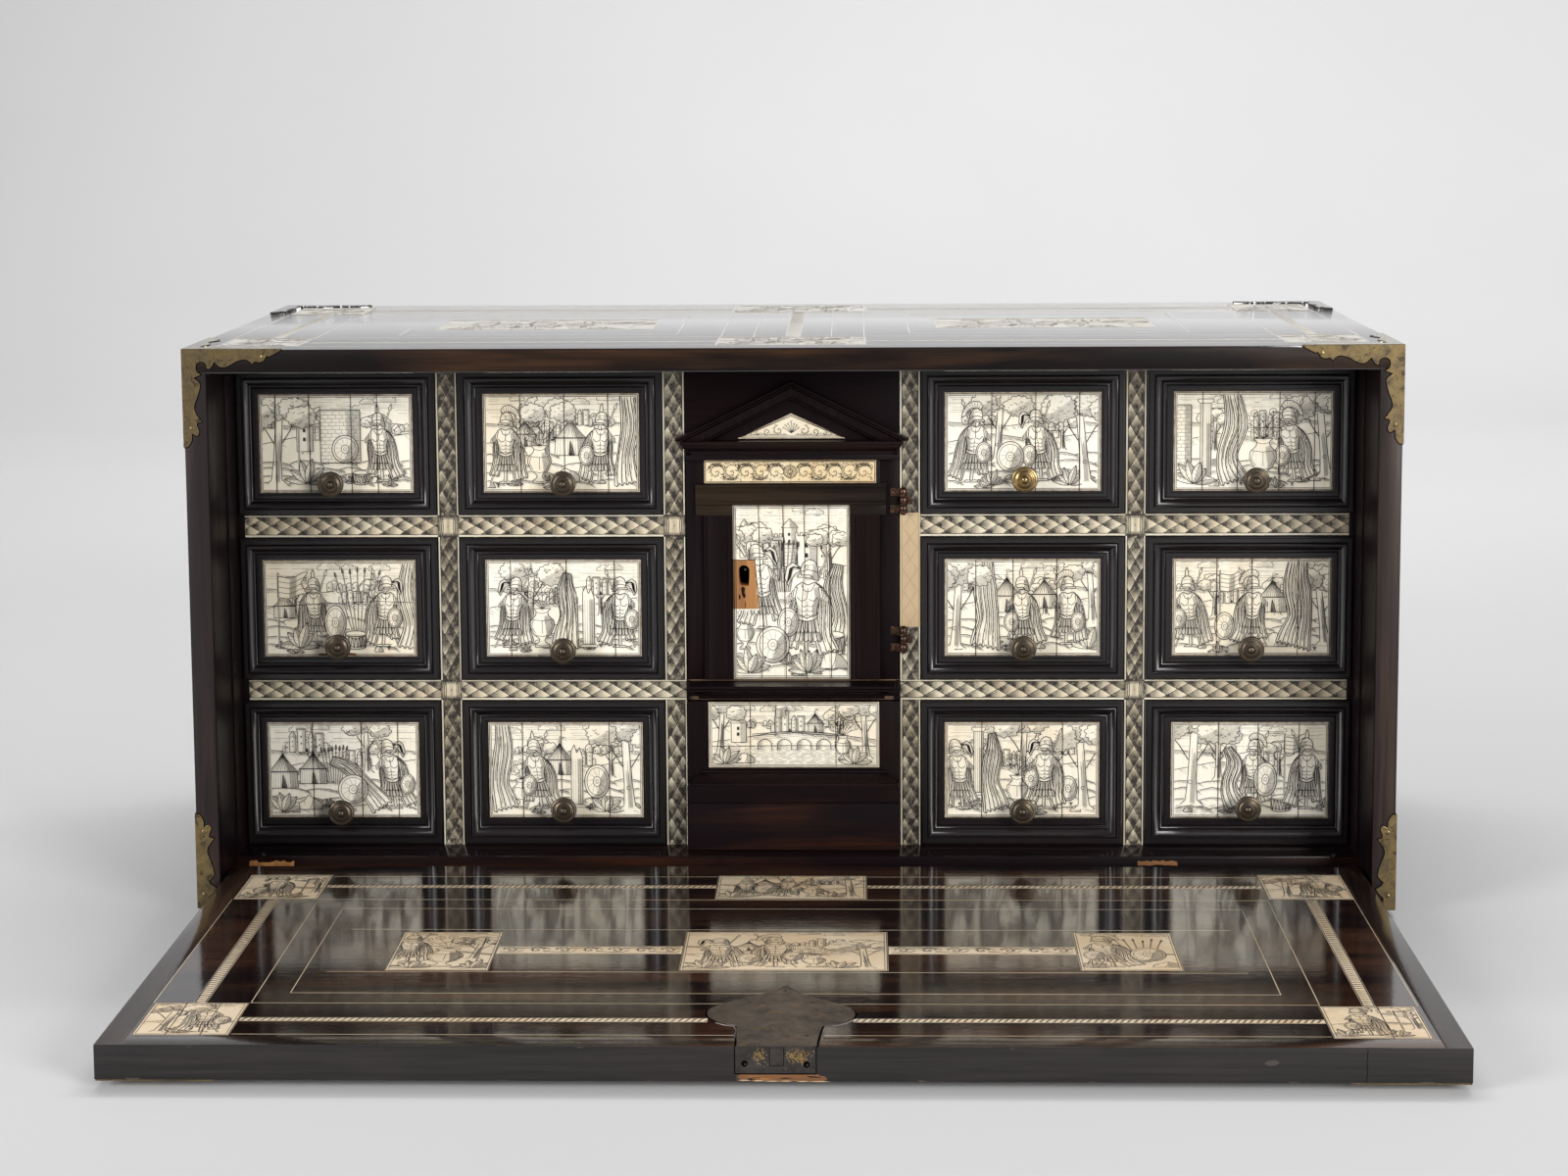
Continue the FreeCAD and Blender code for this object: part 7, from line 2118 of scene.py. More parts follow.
def door_drawing():
    w, h = 100.8, 151.8
    p = Plate(w, h, 77, 2.4)
    patch_zone = [(-1, 60.8), (22.6, 60.8), (19.4, 104.0), (-1, 104.0)]
    p.mask(patch_zone)
    p.rock(86, 9, 2.6)
    p.plant(14, 6, 2.0, 6)
    p.plant(64, 6, 1.9, 7)
    p.shield(34, 30, 16, 0.9)
    p.armour(62, 18, 84, 1, True, 1)
    p.armour(28, 44, 72, -1, False, 1)
    p.drum(84, 24, 1.7)
    p.flow([(90, 100), (86, 80), (92, 56), (86, 34)], [9, 17, 16, 26], 6)
    p.urn(10, 26, 1.7)
    p.undergrowth(9, 3, 16)
    p.mounds(8, 40, 4)
    p.tree(84, 84, 1.05, -0.1, 5)
    p.tree(12, 84, 1.1, 0.1, 5)
    p.spears(44, 76, 7, 44, 0.06)
    p.masonry(26, 42, 96, 121)
    p.tower(34, 112, 17, 12, 0, 5)
    p.tower(64, 96, 17, 29, 0, 5)
    p.masonry(43, 55, 98, 118)
    p.tower(49, 112, 12, 20, 8)
    p.tower(77, 98, 9, 24, 7)
    p.castle(50, 96, 1.35)
    p.tower(10, 106, 8, 26, 8)
    p.hill([(0, 62), (w * 0.4, 70), (w, 60)], 0.42, 0.8)
    p.town(26, 84, 1.0)
    p.town(72, 86, 1.0)
    p.hill([(0, 86), (w * 0.3, 96), (w * 0.7, 92), (w, 100)], 0.42, 0.8)
    p.hill([(0, 112), (12, 118), (22, 114), (36, 128), (52, 118), (68, 132), (80, 122), (w, 128)], 0.4, 0.9)
    p.sky(122, 11, 3, 3)
    p.masks = [(patch_zone,)]
    p.border(1.2, 0.45)
    p.border(2.6, 0.34)
    tablet("door_tablet", -52.3, 48.3, 175.1, 326.7, 98.35, 1.2, "door", IVORY_SET[2], "door_plaques", [23.0, 44.0, 62.0, 83.0], 30, stain=0.5, hole=in_patch, plate=p)
    p.frame = (0, 0, w, h)
    for x, d in ((23, 3.0), (44, 1.0), (62, -3.0), (83, 1.5)):
        p.line([(x + 1.5, 0.5), (x + d, h * 0.4), (x, h * 0.7), (x - 1.0, h - 0.5)], 0.42, taper=1)
    engrave("door_engraving", p, on_front(-52.4, 175.0, 98.35), "door")


door_drawing()


def frieze_drawing():
    w, h = 147.2, 19.6
    p = Plate(w, h, 5, 1.8)
    p.bold = (1.5, 1.3)
    # a palmette in a small round frame in the middle
    p.arc(w / 2, h / 2, 5.6, 0, 360, 0.42, n=22)
    p.arc(w / 2, h / 2, 4.7, 0, 360, 0.3, n=20)
    for i in range(8):
        a = 2 * math.pi * i / 8 + 0.2
        p.line([(w / 2 + 1.1 * math.cos(a), h / 2 + 1.1 * math.sin(a)), (w / 2 + 3.2 * math.cos(a - 0.3), h / 2 + 3.2 * math.sin(a - 0.3)), (w / 2 + 4.1 * math.cos(a), h / 2 + 4.1 * math.sin(a)),
                (w / 2 + 3.2 * math.cos(a + 0.3), h / 2 + 3.2 * math.sin(a + 0.3)), (w / 2 + 1.1 * math.cos(a), h / 2 + 1.1 * math.sin(a))], 0.34)
    p.mask(circle(w / 2, h / 2, 5.8))
    foliage(p, 4, w / 2 - 6, h / 2, 1.18, 5)
    foliage(p, w / 2 + 6, w - 4, h / 2, 1.18, 5)
    p.masks = []
    p.border(1.0, 0.4)
    tablet("frieze_tablet", -76.3, 70.9, 345.9, 365.5, 98.35, 1.2, "door", IVORY_GOLD, None, [74.0], 31, stain=0.7, plate=p, inset=0, gain=0.6)
    engrave("frieze_engraving", p, on_front(-76.3, 345.9, 98.35), "door", [INK_BROWN, INK_BROWN])


frieze_drawing()
patch_outline = [(-52.2, 236.1), (-30.1, 236.3), (-31.0, 250.0), (-32.6, 265.0), (-33.6, 278.8), (-52.2, 278.9)]
key = [(-42.9 + 4.6 * math.cos(math.radians(12 * i)), 269.8 + 4.6 * math.sin(math.radians(12 * i))) for i in range(16)]
key += [(-47.3, 264.0), (-46.6, 257.6), (-44.5, 256.9), (-38.9, 256.4), (-38.4, 263.0)]
plate_poly("door_patch", patch_outline, [key], lambda u, v, n: (u, 98.5 - n, v), 0.0, -13.4, RAW, "door", "door_lock_patch", 0.3)
# the lock case is made near-black: painted shade seen through the key hole
boards("door_lock_case", [(-88, -22, 120, 121, 240, 284), (-88, -22, 112.1, 120, 240, 255), (-35, -22, 112.1, 120, 255, 269), (-88, -48, 112.1, 120, 269, 284),
                          (-37.8, -22, 112.1, 120, 269, 284), (-48, -37.8, 112.1, 120, 273.6, 284)], [DARK_GAP_AND_SHADE], "door", 0.3, "door_fittings")
v, f = lathe([(0.01, 0), (1.0, 0), (1.0, 15), (0.8, 15.6), (0.01, 15.8)], -42.2, 269.6, 119.9, 14)
piece("door_key_pin", v, f, STEEL, "door", None, 40)
for i, (cx, cz, w, h) in enumerate(((-43.9, 251.8, 3.0, 9.6), (-46.9, 246.6, 1.5, 5.2), (-41.9, 240.0, 0.7, 5.6), (-42.9, 248.2, 2.4, 4.2))):
    rim = [(cx + w / 2 * math.cos(a) * (1 + 0.25 * math.sin(3 * a + i)), cz + h / 2 * math.sin(a) * (1 + 0.2 * math.cos(2 * a + i))) for a in [2 * math.pi * k2 / 14 for k2 in range(14)]]
    plate_poly("door_patch_stain_%d" % (i + 1), rim, [], lambda u, v, n: (u, 98.5 - n, v), 0.06, -0.3, BLACKENED_WOOD_AND_HOLE_SHADE, "door", None, 0)


plate_poly("door_patch_gap", [(-30.2, 236.3), (-29.6, 236.4), (-30.4, 250), (-32.0, 265), (-33.1, 279.3), (-52.3, 279.4), (-52.3, 278.8), (-33.6, 278.8), (-32.7, 265), (-31.1, 250)], [], lambda u, v, n: (u, 98.5 - n, v), 0.17, -0.6, DARK_GAP_AND_SHADE, "door", None, 0)


def hinge_knuckle(z0, z1, r):
    h = z1 - z0
    return turned_z([(0.01, z0), (r - 0.5, z0), (r, z0 + 0.5), (r, z0 + h * 0.30), (r + 0.25, z0 + h * 0.36), (r + 0.25, z0 + h * 0.44), (r - 0.15, z0 + h * 0.5), (r + 0.2, z0 + h * 0.56),
                     (r + 0.2, z0 + h * 0.64), (r, z0 + h * 0.7), (r, z1 - 0.5), (r - 0.5, z1), (0.01, z1)], 94.2, 94.4)


def door_hinges():
    fixed, moving = [], []
    for zc in (330.5, 210.0):
        H = 21.5
        a, b = zc - H / 6, zc + H / 6
        fixed.append(hinge_knuckle(a + 0.15, b - 0.15, 3.2))
        for z0, z1 in ((zc - H / 2, a - 0.15), (b + 0.15, zc + H / 2)):
            moving.append(hinge_knuckle(z0, z1, 3.2))
        fixed.append(turned_z([(0.01, zc + H / 2 + 0.1), (1.8, zc + H / 2 + 0.15), (2.1, zc + H / 2 + 0.6), (1.5, zc + H / 2 + 1.2), (0.01, zc + H / 2 + 1.4)], 94.2, 94.4))
        fixed.append(turned_z([(0.01, zc - H / 2 - 1.4), (1.5, zc - H / 2 - 1.2), (2.1, zc - H / 2 - 0.6), (1.8, zc - H / 2 - 0.15), (0.01, zc - H / 2 - 0.1)], 94.2, 94.4))
    for tag, parts, body, node in (("fixed", fixed, "case", "fixed_hinge_leaves"), ("moving", moving, "door", None)):
        v, f = merge(parts)
        piece("door_hinge_barrels_" + tag, v, f, HINGE, body, None, 35, node)
    leaf_f, leaf_m = [], []
    for zc in (330.5, 210.0):
        leaf_f.append((95.4, 101.8, 97.5, 98.75, zc - 3.4, zc + 3.4))
        leaf_f.append((95.2, 96.6, 94.2, 98.6, zc - 3.4, zc + 3.4))
        for z0, z1 in ((zc - 10.75, zc - 3.75), (zc + 3.75, zc + 10.75)):
            leaf_m.append((83.0, 90.2, 98.3, 99.5, z0, z1))
            leaf_m.append((88.4, 93.4, 96.9, 98.2, z0, z1))
    boards("door_hinge_leaves_fixed", leaf_f, [HINGE], "case", 0.25)
    boards("door_hinge_leaves_moving", leaf_m, [HINGE], "door", 0.25)
    # leaves of the three hinges of the fall front, kept as in the CAD source
    parts = []
    for xc in (-320.0, 0.0, 320.0):
        parts.append((xc - 34.5, xc + 34.5, 38.9, 76.0, 0.2, 1.4))
    boards("fall_hinge_leaves_case", parts, [IRON], "case", 0.3)
    knuckles = []
    for xc in (-320.0, 0.0, 320.0):
        n = 20
        for x0, x1 in ((xc - 11.5, xc + 11.5),):
            rings = [[(x, 36.0 + r * math.cos(2 * math.pi * q / n), 3.2 + r * math.sin(2 * math.pi * q / n)) for q in range(n)] for x, r in ((x0, 2.4), (x0 + 0.5, 2.85), (x1 - 0.5, 2.85), (x1, 2.4))]
            knuckles.append(loft(rings, True, True))
    v, f = merge(knuckles)
    piece("fall_hinge_knuckles_case", v, f, IRON, "case", None, 35)


door_hinges()

# ------------------------------------------------------------------ plinth drawer
boards("plinth_back", [(-92.5, 90.5, 96.3, 110.2, 28.7, 155.7)], [EB_GREY], "plinth_drawer", 0.4, "plinth_drawer")
PL = [(97.5, 96.5), (97.3, 95.3), (96.4, 95.1), (96.1, 95.7), (95.5, 95.8), (95.2, 93.9), (93.3, 93.5), (93.0, 92.4, 1), (91.6, 89.6, 1), (89.4, 86.4, 1), (87.2, 84.2, 1), (86.6, 83.6),
      (86.4, 81.7), (84.9, 81.5), (84.6, 80.3), (83.7, 79.9), (83.5, 96.5)]
returned("plinth_moulding", PL, -92.4, 90.4, 79.9, 96.5, EB_X, "plinth_drawer", None, 0.86)
strip_profile("plinth_block", [(84.0, 96.4), (84.0, 80.2), (83.6, 79.7), (71.2, 79.3), (70.8, 79.8), (70.2, 79.8), (69.8, 78.4), (69.2, 78.1), (29.4, 78.1), (28.8, 78.7), (28.7, 96.4)], -92.5, 90.5, "X", EB_PLINTH, "plinth_drawer")
boards("plinth_box", [(-92.5, -84.5, 110.2, 392, 28.7, 151.8), (82.5, 90.5, 110.2, 392, 28.7, 151.8), (-84.5, 82.5, 392.2, 400.2, 33.6, 143.8), (-84.5, 82.5, 110.2, 400.2, 28.7, 33.6)],
       [WOOD_Y], "plinth_drawer", 0.5)


def river():
    w, h = 147.3, 57.4
    p = Plate(w, h, 63, 2.2)
    p.plant(14, 4, 1.6, 6)
    p.plant(126, 4, 1.7, 6)
    p.rock(32, 4, 1.6)
    p.tree(136, 8, 1.2, -0.1, 5)
    p.tree(10, 12, 1.1, 0.1, 5)
    p.bridge(40, 108, 19, 1.0, 4)
    p.urn(116, 6, 1.5)
    p.water(3, w - 3, 3.5, 19)
    p.tower(26, 22, 13, 17, 8)
    p.banner(58, 28, 24, 0.8, 1)
    p.castle(70, 31, 0.95)
    p.tree(112, 22, 0.7, 0.1, 4)
    p.tent(92, 31, 0.6, 5)
    p.hill([(0, 22), (w * 0.2, 26), (w * 0.5, 34), (w * 0.8, 28), (w, 24)], 0.42, 0.8)
    p.town(44, 34, 0.7)
    p.town(106, 34, 0.7)
    p.hill([(0, 34), (w * 0.3, 40), (w * 0.6, 36), (w, 42)], 0.36, 0.7)
    p.sky(38, 9, 5, 3)
    p.masks = []
    p.border(1.0, 0.42)
    p.border(2.4, 0.34)
    tablet("plinth_tablet", -74.4, 72.9, 97.7, 155.1, 95.05, 1.2, "plinth_drawer", IVORY_SET[1], "plinth_plaque", [36.0, 110.0], 32, stain=0.5, plate=p, inset=0)
    p.line([(0.5, 18.6), (w * 0.5, 19.4), (w - 0.5, 18.9)], 0.4, taper=1)
    p.line([(36, 0.5), (36.3, h - 0.5)], 0.36, taper=1)
    p.line([(110, 0.5), (109.6, h - 0.5)], 0.36, taper=1)
    engrave("plinth_engraving", p, on_front(-74.4, 97.7, 95.05), "plinth_drawer")


river()


# ------------------------------------------------------------------ flat inlay: strings, rope bands, scroll bands
def strings(name, runs, face, body, mat, width=0.95, up=0.05):
    """Thin lines of inlay. runs: (x0, y0, x1, y1) centre lines, square to the edges."""
    boxes = []
    h = width / 2
    for x0, y0, x1, y1 in runs:
        if abs(y1 - y0) < 1e-6:
            boxes.append((min(x0, x1), max(x0, x1), y0 - h, y0 + h, face - 0.35, face + up))
        else:
            boxes.append((x0 - h, x0 + h, min(y0, y1), max(y0, y1), face - 0.35, face + up))
    return boards(name, boxes, [mat], body, 0.03)


def rope(name, x0, x1, y0, y1, along, face, body, mat, pitch=4.6, seed=0, ladder=False, bold=None, inks=None):
    """An ivory strip engraved as a twisted rope."""
    boards(name, [(x0, x1, y0, y1, face - 0.5, face + 0.05)], [mat], body, 0.05)
    w, h = x1 - x0, y1 - y0
    p = Plate(w, h, seed)
    p.bold = bold or ((2.3, 1.6) if along == "X" else (3.3, 2.0))
    p.frame = (0.1, 0.1, w - 0.1, h - 0.1)
    L, W = (w, h) if along == "X" else (h, w)
    R = p.rnd

    def put(pts, width, soft=False):
        p.line([(a, b) if along == "X" else (b, a) for a, b in pts], width, soft, taper=0.5)

    t = 1.0
    while t < L - 1:
        j = R.uniform(-0.25, 0.25)
        if ladder:
            put([(t + j, 1.5), (t + 0.8 + j, W * 0.5), (t + j, W - 1.5)], 0.5)
            put([(t + 1.2, 1.6), (t + 1.9, W * 0.5)], 0.26, True)
        else:
            put([(t + j, 1.1), (t + 1.3 + j, W * 0.36), (t + 2.6 + j, W * 0.68), (t + 4.0 + j, W - 1.1)], 0.55)
            put([(t + 1.2, 1.2), (t + 2.3, W * 0.42)], 0.28, True)
            put([(t + 2.3, W * 0.42), (t + 3.3, W * 0.7)], 0.24, True)
        t += pitch * R.uniform(0.93, 1.07)
    put([(0.2, 0.75), (L - 0.2, 0.75)], 0.35)
    put([(0.2, W - 0.75), (L - 0.2, W - 0.75)], 0.35)
    engrave(name + "_lines", p, on_top(x0, y0, face + 0.05), body, inks)


def scroll_band(name, x0, x1, y0, y1, face, body, mat, seed=0):
    boards(name, [(x0, x1, y0, y1, face - 0.5, face + 0.05)], [mat], body, 0.05)
    w, h = x1 - x0, y1 - y0
    p = Plate(w, h, seed, 1.0)
    p.bold = (2.7, 1.8)
    n = max(3, int(w / 18))
    step = w / n
    for i in range(n):
        cx = step * (i + 0.5)
        up = 1 if i % 2 else -1
        p.scroll(cx, h / 2, 0.95, up, 0.0 if up > 0 else math.pi, 1)
        p.line([(cx - step * 0.5, h / 2 + up * 4.0), (cx - step * 0.1, h / 2 + up * 6.0), (cx + step * 0.3, h / 2 + up * 5.0), (cx + step * 0.5, h / 2 + up * 1.0)], 0.4)
        for k2 in range(3):
            p.arc(cx + step * (0.30 + 0.09 * k2), h / 2 - up * 3.6, 1.0, 20, 300, 0.36, n=7)
    p.line([(0.4, 1.0), (w - 0.4, 1.0)], 0.35, taper=1)
    p.line([(0.4, h - 1.0), (w - 0.4, h - 1.0)], 0.35, taper=1)
    engrave(name + "_lines", p, on_top(x0, y0, face + 0.05), body)


def flat_scene(name, x0, x1, y0, y1, face, body, mat, kind, seed, cuts=(), thick=0.6, inks=None, gain=0.18, bold=(1.45, 1.0)):
    """An engraved plaque let into a level face."""
    w, h = x1 - x0, y1 - y0
    p = Plate(w, h, seed, 2.6)
    p.bold = bold
    R = p.rnd
    if kind == "wide":
        p.plant(w * 0.12, 7, 1.9, 6)
        p.shield(w * 0.33, 30, 12, 0.8)
        p.tree(w * 0.89, 8, 1.5, -0.1, 5)
        p.armour(w * 0.20, 8, h * 0.72, 1, False, 1)
        p.armour(w * 0.46, 9, h * 0.74, -1, True, 1)
        p.urn(w * 0.64, 9, 2.0)
        p.plant(w * 0.76, 8, 1.8, 6)
        p.castle(w * 0.70, h * 0.62, 1.0)
        p.tent(w * 0.32, h * 0.5, 0.8, 5)
        p.town(w * 0.55, h * 0.6, 0.8)
        p.hill([(0, h * 0.4), (w * 0.4, h * 0.5), (w * 0.7, h * 0.42), (w, h * 0.52)], 0.42, 0.9)
        p.hill([(0, h * 0.62), (w * 0.5, h * 0.56), (w, h * 0.66)], 0.4, 0.7)
    elif kind == "urn":
        p.urn(w * 0.52, 10, 3.0)
        p.plant(w * 0.24, 8, 1.9, 6)
        p.plant(w * 0.82, 8, 1.8, 6)
        p.armour(w * 0.18, 22, h * 0.66, 1, False, 1)
        p.banner(w * 0.84, 20, 60, 1.4, -1)
        p.tree(w * 0.80, 30, 1.2, 0.1, 4)
        p.hill([(0, h * 0.45), (w * 0.5, h * 0.52), (w, h * 0.42)], 0.42, 0.9)
    elif kind == "shield":
        p.shield(w * 0.70, h * 0.42, 17, 0.8)
        p.armour(w * 0.34, 9, h * 0.78, 1, True, 1)
        p.plant(w * 0.16, 8, 1.6, 6)
        p.rock(w * 0.84, 9, 2.2)
        p.spears(w * 0.64, 20, 6, 58, 0.1)
        p.hill([(0, h * 0.4), (w * 0.5, h * 0.5), (w, h * 0.42)], 0.42, 0.9)
    elif kind == "tree":
        p.tree(w * 0.26, 8, 1.35, 0.1, 5)
        p.armour(w * 0.68, 7, h * 0.82, -1, True, 1)
        p.plant(w * 0.44, 6, 1.3, 6)
        p.castle(w * 0.50, h * 0.6, 0.7)
        p.hill([(0, h * 0.38), (w * 0.5, h * 0.5), (w, h * 0.42)], 0.42, 0.9)
    else:
        p.plant(w * 0.16, 6, 1.4, 6)
        p.armour(w * 0.40, 7, h * 0.8, 1, True, 1)
        p.plant(w * 0.66, 6, 1.4, 6)
        p.banner(w * 0.74, 8, 50, 1.1, 1)
        p.tree(w * 0.90, 20, 1.1, -0.1, 4)
        p.hill([(0, h * 0.42), (w * 0.5, h * 0.52), (w, h * 0.46)], 0.42, 0.9)
    p.undergrowth(5, 4, 9)
    p.ground(8)
    p.sky(h * 0.7, 5, 2, 2)
    p.masks = []
    p.border(1.3, 0.5)
    p.border(3.2, 0.35)
    tablet(name + "_tablet", x0, x1, y0, y1, face + 0.05, thick, body, mat, None, [c * w for c in cuts], seed, "top", 0.35, plate=p, inset=0, gain=gain)
    p.frame = (0, 0, w, h)
    for c in cuts:
        p.line([(c * w, 0.4), (c * w + R.uniform(-0.5, 0.5), h - 0.4)], 0.4, taper=1)
    engrave(name + "_engraving", p, on_top(x0, y0, face + 0.05), body, inks)


# ------------------------------------------------------------------ fall front
ZF = 26.4
boards("fall_board", [(-477, 477, -385.0, 36.0, 1.2, ZF), (-477, -7.0, -411.2, -385.0, 1.2, ZF), (3.6, 477, -411.2, -385.0, 1.2, ZF), (-7.0, 3.6, -411.2, -385.0, 1.2, 12.4),
                      (-7.0, 3.6, -411.2, -385.0, 25.6, ZF)], [EB_FLAP], "fall_front", 0.0, "flap_board")
boards("fall_front_edge", [(-477.0, -29.9, -411.5, -410.4, 1.3, 26.1), (25.0, 477.0, -411.5, -410.4, 1.3, 26.1)], [EB_EDGE], "fall_front", 0.35)
for _k, (_x, _w, _z, _h) in enumerate(((-455, 9, 1.35, 1.5), (-330, 5, 1.35, 0.9), (-196, 7, 1.35, 1.0), (-92, 4, 1.35, 0.9), (96, 6, 1.35, 1.2), (214, 4, 1.35, 0.8), (352, 6, 1.35, 1.1), (441, 10, 1.35, 1.4),
                                      (-412, 3, 24.6, 1.2), (-140, 4, 24.9, 0.9), (160, 3, 24.8, 1.0), (398, 5, 24.4, 1.3))):
    chip("fall_edge_nick_%02d" % (_k + 1), _x, _x + _w, _z, _z + _h, -411.5, NICK, "fall_front", 40 + _k, 0.06, None)
plate_poly("fall_edge_joint", [(404.6, 2.0), (405.3, 8.0), (404.9, 16.0), (405.5, 25.4), (405.0, 25.4), (404.5, 16.0), (404.8, 8.0), (404.2, 2.0)], [], lambda u, v, n: (u, -411.5 - n, v), 0.04, -0.3, DARK_GAP_AND_SHADE, "fall_front", None, 0)
plate_poly("fall_edge_dent", [(334, 15), (337, 17.4), (342, 17.8), (345, 16.0), (343, 14.2), (338, 13.6)], [], lambda u, v, n: (u, -411.5 - n, v), 0.03, -0.3, NICK, "fall_front", None, 0)
boards("fall_side_edges", [(-477.6, -476.6, -411.2, 35.8, 1.3, 26.1), (476.6, 477.6, -411.2, 35.8, 1.3, 26.1)], [EB_EDGE_Y], "fall_front", 0.35)
boards("fall_border", [(-476.9, -457.8, -411.0, 35.6, ZF - 0.5, ZF + 0.03), (458.2, 476.9, -411.0, 35.6, ZF - 0.5, ZF + 0.03)], [EB_FLAP_Y], "fall_front", 0.2)
boards("fall_border_front", [(-457.6, 458.0, -411.0, -393.4, ZF - 0.5, ZF + 0.03)], [EB_FLAP_EDGE], "fall_front", 0.2)

PL_FLAP = {"corner_a": (-457.5, -386, -62.5, 10.5, "plants", ()), "corner_b": (386.5, 458, -59.5, 13.5, "tree", ()),
           "corner_c": (-457, -386.5, -392, -321, "tree", (0.35, 0.7)), "corner_d": (384.5, 455, -393, -323, "plants", (0.6,)),
           "rear": (-63, 62.5, -60.5, 9, "wide", ()), "middle": (-80.5, 78, -245.5, -147.5, "wide", ()),
           "small_a": (-302.5, -222.5, -247, -149, "urn", ()), "small_b": (220.8, 298.8, -244, -148.5, "shield", ())}
for _i, (_n, (_x0, _x1, _y0, _y1, _k, _c)) in enumerate(PL_FLAP.items()):
    flat_scene("fall_" + _n, _x0, _x1, _y0, _y1, ZF, "fall_front", IVORY_FLAP, _k, 200 + _i, _c)
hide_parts("flap_inlays")
for _n, _a in {"fall_rope_rear_left": (-386, -63, -28.2, -20.0, "X"), "fall_rope_rear_right": (62.5, 386.5, -28.0, -19.8, "X"),
               "fall_rope_front_left": (-386.5, -52.5, -361.2, -353.0, "X"), "fall_rope_front_right": (51.5, 384.5, -361.0, -352.8, "X"),
               "fall_rope_side_left": (-428.0, -418.6, -321.0, -62.5, "Y")}.items():
    rope(_n, *_a, ZF, "fall_front", IVORY_FLAP, 4.8, 3)
rope("fall_rope_side_right", 416.8, 426.2, -323.0, -59.5, "Y", ZF, "fall_front", IVORY_FLAP, 4.8, 4, True)
scroll_band("fall_scroll_left", -222.5, -80.5, -204.7, -185.0, ZF, "fall_front", IVORY_FLAP, 7)
scroll_band("fall_scroll_right", 78.0, 220.8, -204.5, -184.8, ZF, "fall_front", IVORY_FLAP, 8)
strings("fall_strings", [(-386, 4.8, -63, 4.8), (62.5, 4.8, 386.5, 4.8), (-386, -61.8, 386.5, -61.8), (-362, -87, 362, -87), (-345, -143, 345, -143), (-345, -248.7, 345, -248.7),
                         (-362, -298.5, 362, -298.5), (-386, -321.3, -30, -321.3), (30, -321.3, 386, -321.3), (-386, -388.8, -28, -388.8), (26, -388.8, 384, -388.8),
                         (-386.2, -321, -386.2, -62.5), (386.4, -323, 386.4, -59.5), (-457.3, -321, -457.3, -62.5), (456.4, -323, 456.4, -59.5), (-362, -298.5, -362, -87), (362, -298.5, 362, -87)],
        ZF, "fall_front", IVORY_LINE, 0.65)


def smooth_loop(pts, steps=4):
    out = []
    n = len(pts)
    for i in range(n):
        p0, p1, p2, p3 = (pts[(i + q) % n] for q in (-1, 0, 1, 2))
        hard1, hard2 = len(p1) > 2, len(p2) > 2
        out.append((p1[0], p1[1]))
        if hard1 and hard2:
            continue
        a = p1 if hard1 else p0
        b = p2 if hard2 else p3
        for k2 in range(1, steps):
            t = k2 / steps
            q = [0.5 * (2 * p1[c] + (p2[c] - a[c]) * t + (2 * a[c] - 5 * p1[c] + 4 * p2[c] - b[c]) * t * t + (3 * p1[c] - a[c] - 3 * p2[c] + b[c]) * t ** 3) for c in (0, 1)]
            out.append(tuple(q))
    return out


ogee = smooth_loop([(-29.4, 0.2, 1), (26, 0.2, 1), (26.6, 12), (27.6, 24), (28.6, 34), (29.8, 41.5, 1), (37, 43.5), (45, 49), (51, 57.5), (52.4, 68), (50.8, 76), (45.5, 84.5), (36.5, 92.5), (26, 100.5), (15.5, 109.5),
                    (7.4, 118.5), (1.6, 129.5, 1), (-5.0, 119.5), (-13.0, 111.5), (-22, 105), (-35, 96), (-44.5, 87), (-51.3, 78.5), (-53.2, 70), (-51.6, 60), (-46, 51.5), (-38.5, 45.5), (-31.2, 41.5, 1), (-30.4, 24), (-29.8, 12)], 4)


def grow(pts, d):
    """The outline moved outwards by d."""
    n = len(pts)
    turn = sum(pts[i][0] * pts[(i + 1) % n][1] - pts[(i + 1) % n][0] * pts[i][1] for i in range(n))
    sg = 1 if turn > 0 else -1
    out = []
    for i in range(n):
        (ax, ay), (bx, by), (cx, cy) = pts[i - 1][:2], pts[i][:2], pts[(i + 1) % n][:2]
        l1, l2 = math.hypot(bx - ax, by - ay) or 1, math.hypot(cx - bx, cy - by) or 1
        nx = (by - ay) / l1 + (cy - by) / l2
        ny = -(bx - ax) / l1 - (cx - bx) / l2
        L = math.hypot(nx, ny) or 1
        k2 = min(1.5, 2 / L)
        out.append((bx + sg * d * k2 * nx / L, by + sg * d * k2 * ny / L))
    return out


plate_poly("fall_lock_plate_gap", [(u, max(v, 0.4)) for u, v in grow(ogee, 1.5)], [], lambda u, v, n: (u, -411.6 + v, 26.4 + n), 0.06, -0.3, DARK_GAP_AND_SHADE, "fall_front", None, 0)
plate_poly("fall_lock_plate_wear", [(29.2, 12), (30.3, 14), (30.9, 26), (31.4, 36), (32.4, 40.2), (40, 42.6), (46, 47.2), (51.5, 54), (52.6, 58), (50.6, 55.6), (44.6, 48.8), (38, 44.2), (31.4, 42.2), (30.0, 35), (29.2, 24)], [],
           lambda u, v, n: (u, -411.6 + v, 26.4 + n), 0.10, -0.3, SPLINTER_DULL, "fall_front", None, 0)
plate_poly("fall_lock_plate_wear_left", [(-31.2, 14), (-32.0, 24), (-31.9, 34), (-33.4, 41), (-40, 43.2), (-46.5, 48.6), (-46.0, 50.0), (-39.6, 44.9), (-32.4, 42.4), (-31.0, 34), (-31.0, 22)], [],
           lambda u, v, n: (u, -411.6 + v, 26.4 + n), 0.10, -0.3, SPLINTER_DULL, "fall_front", None, 0)
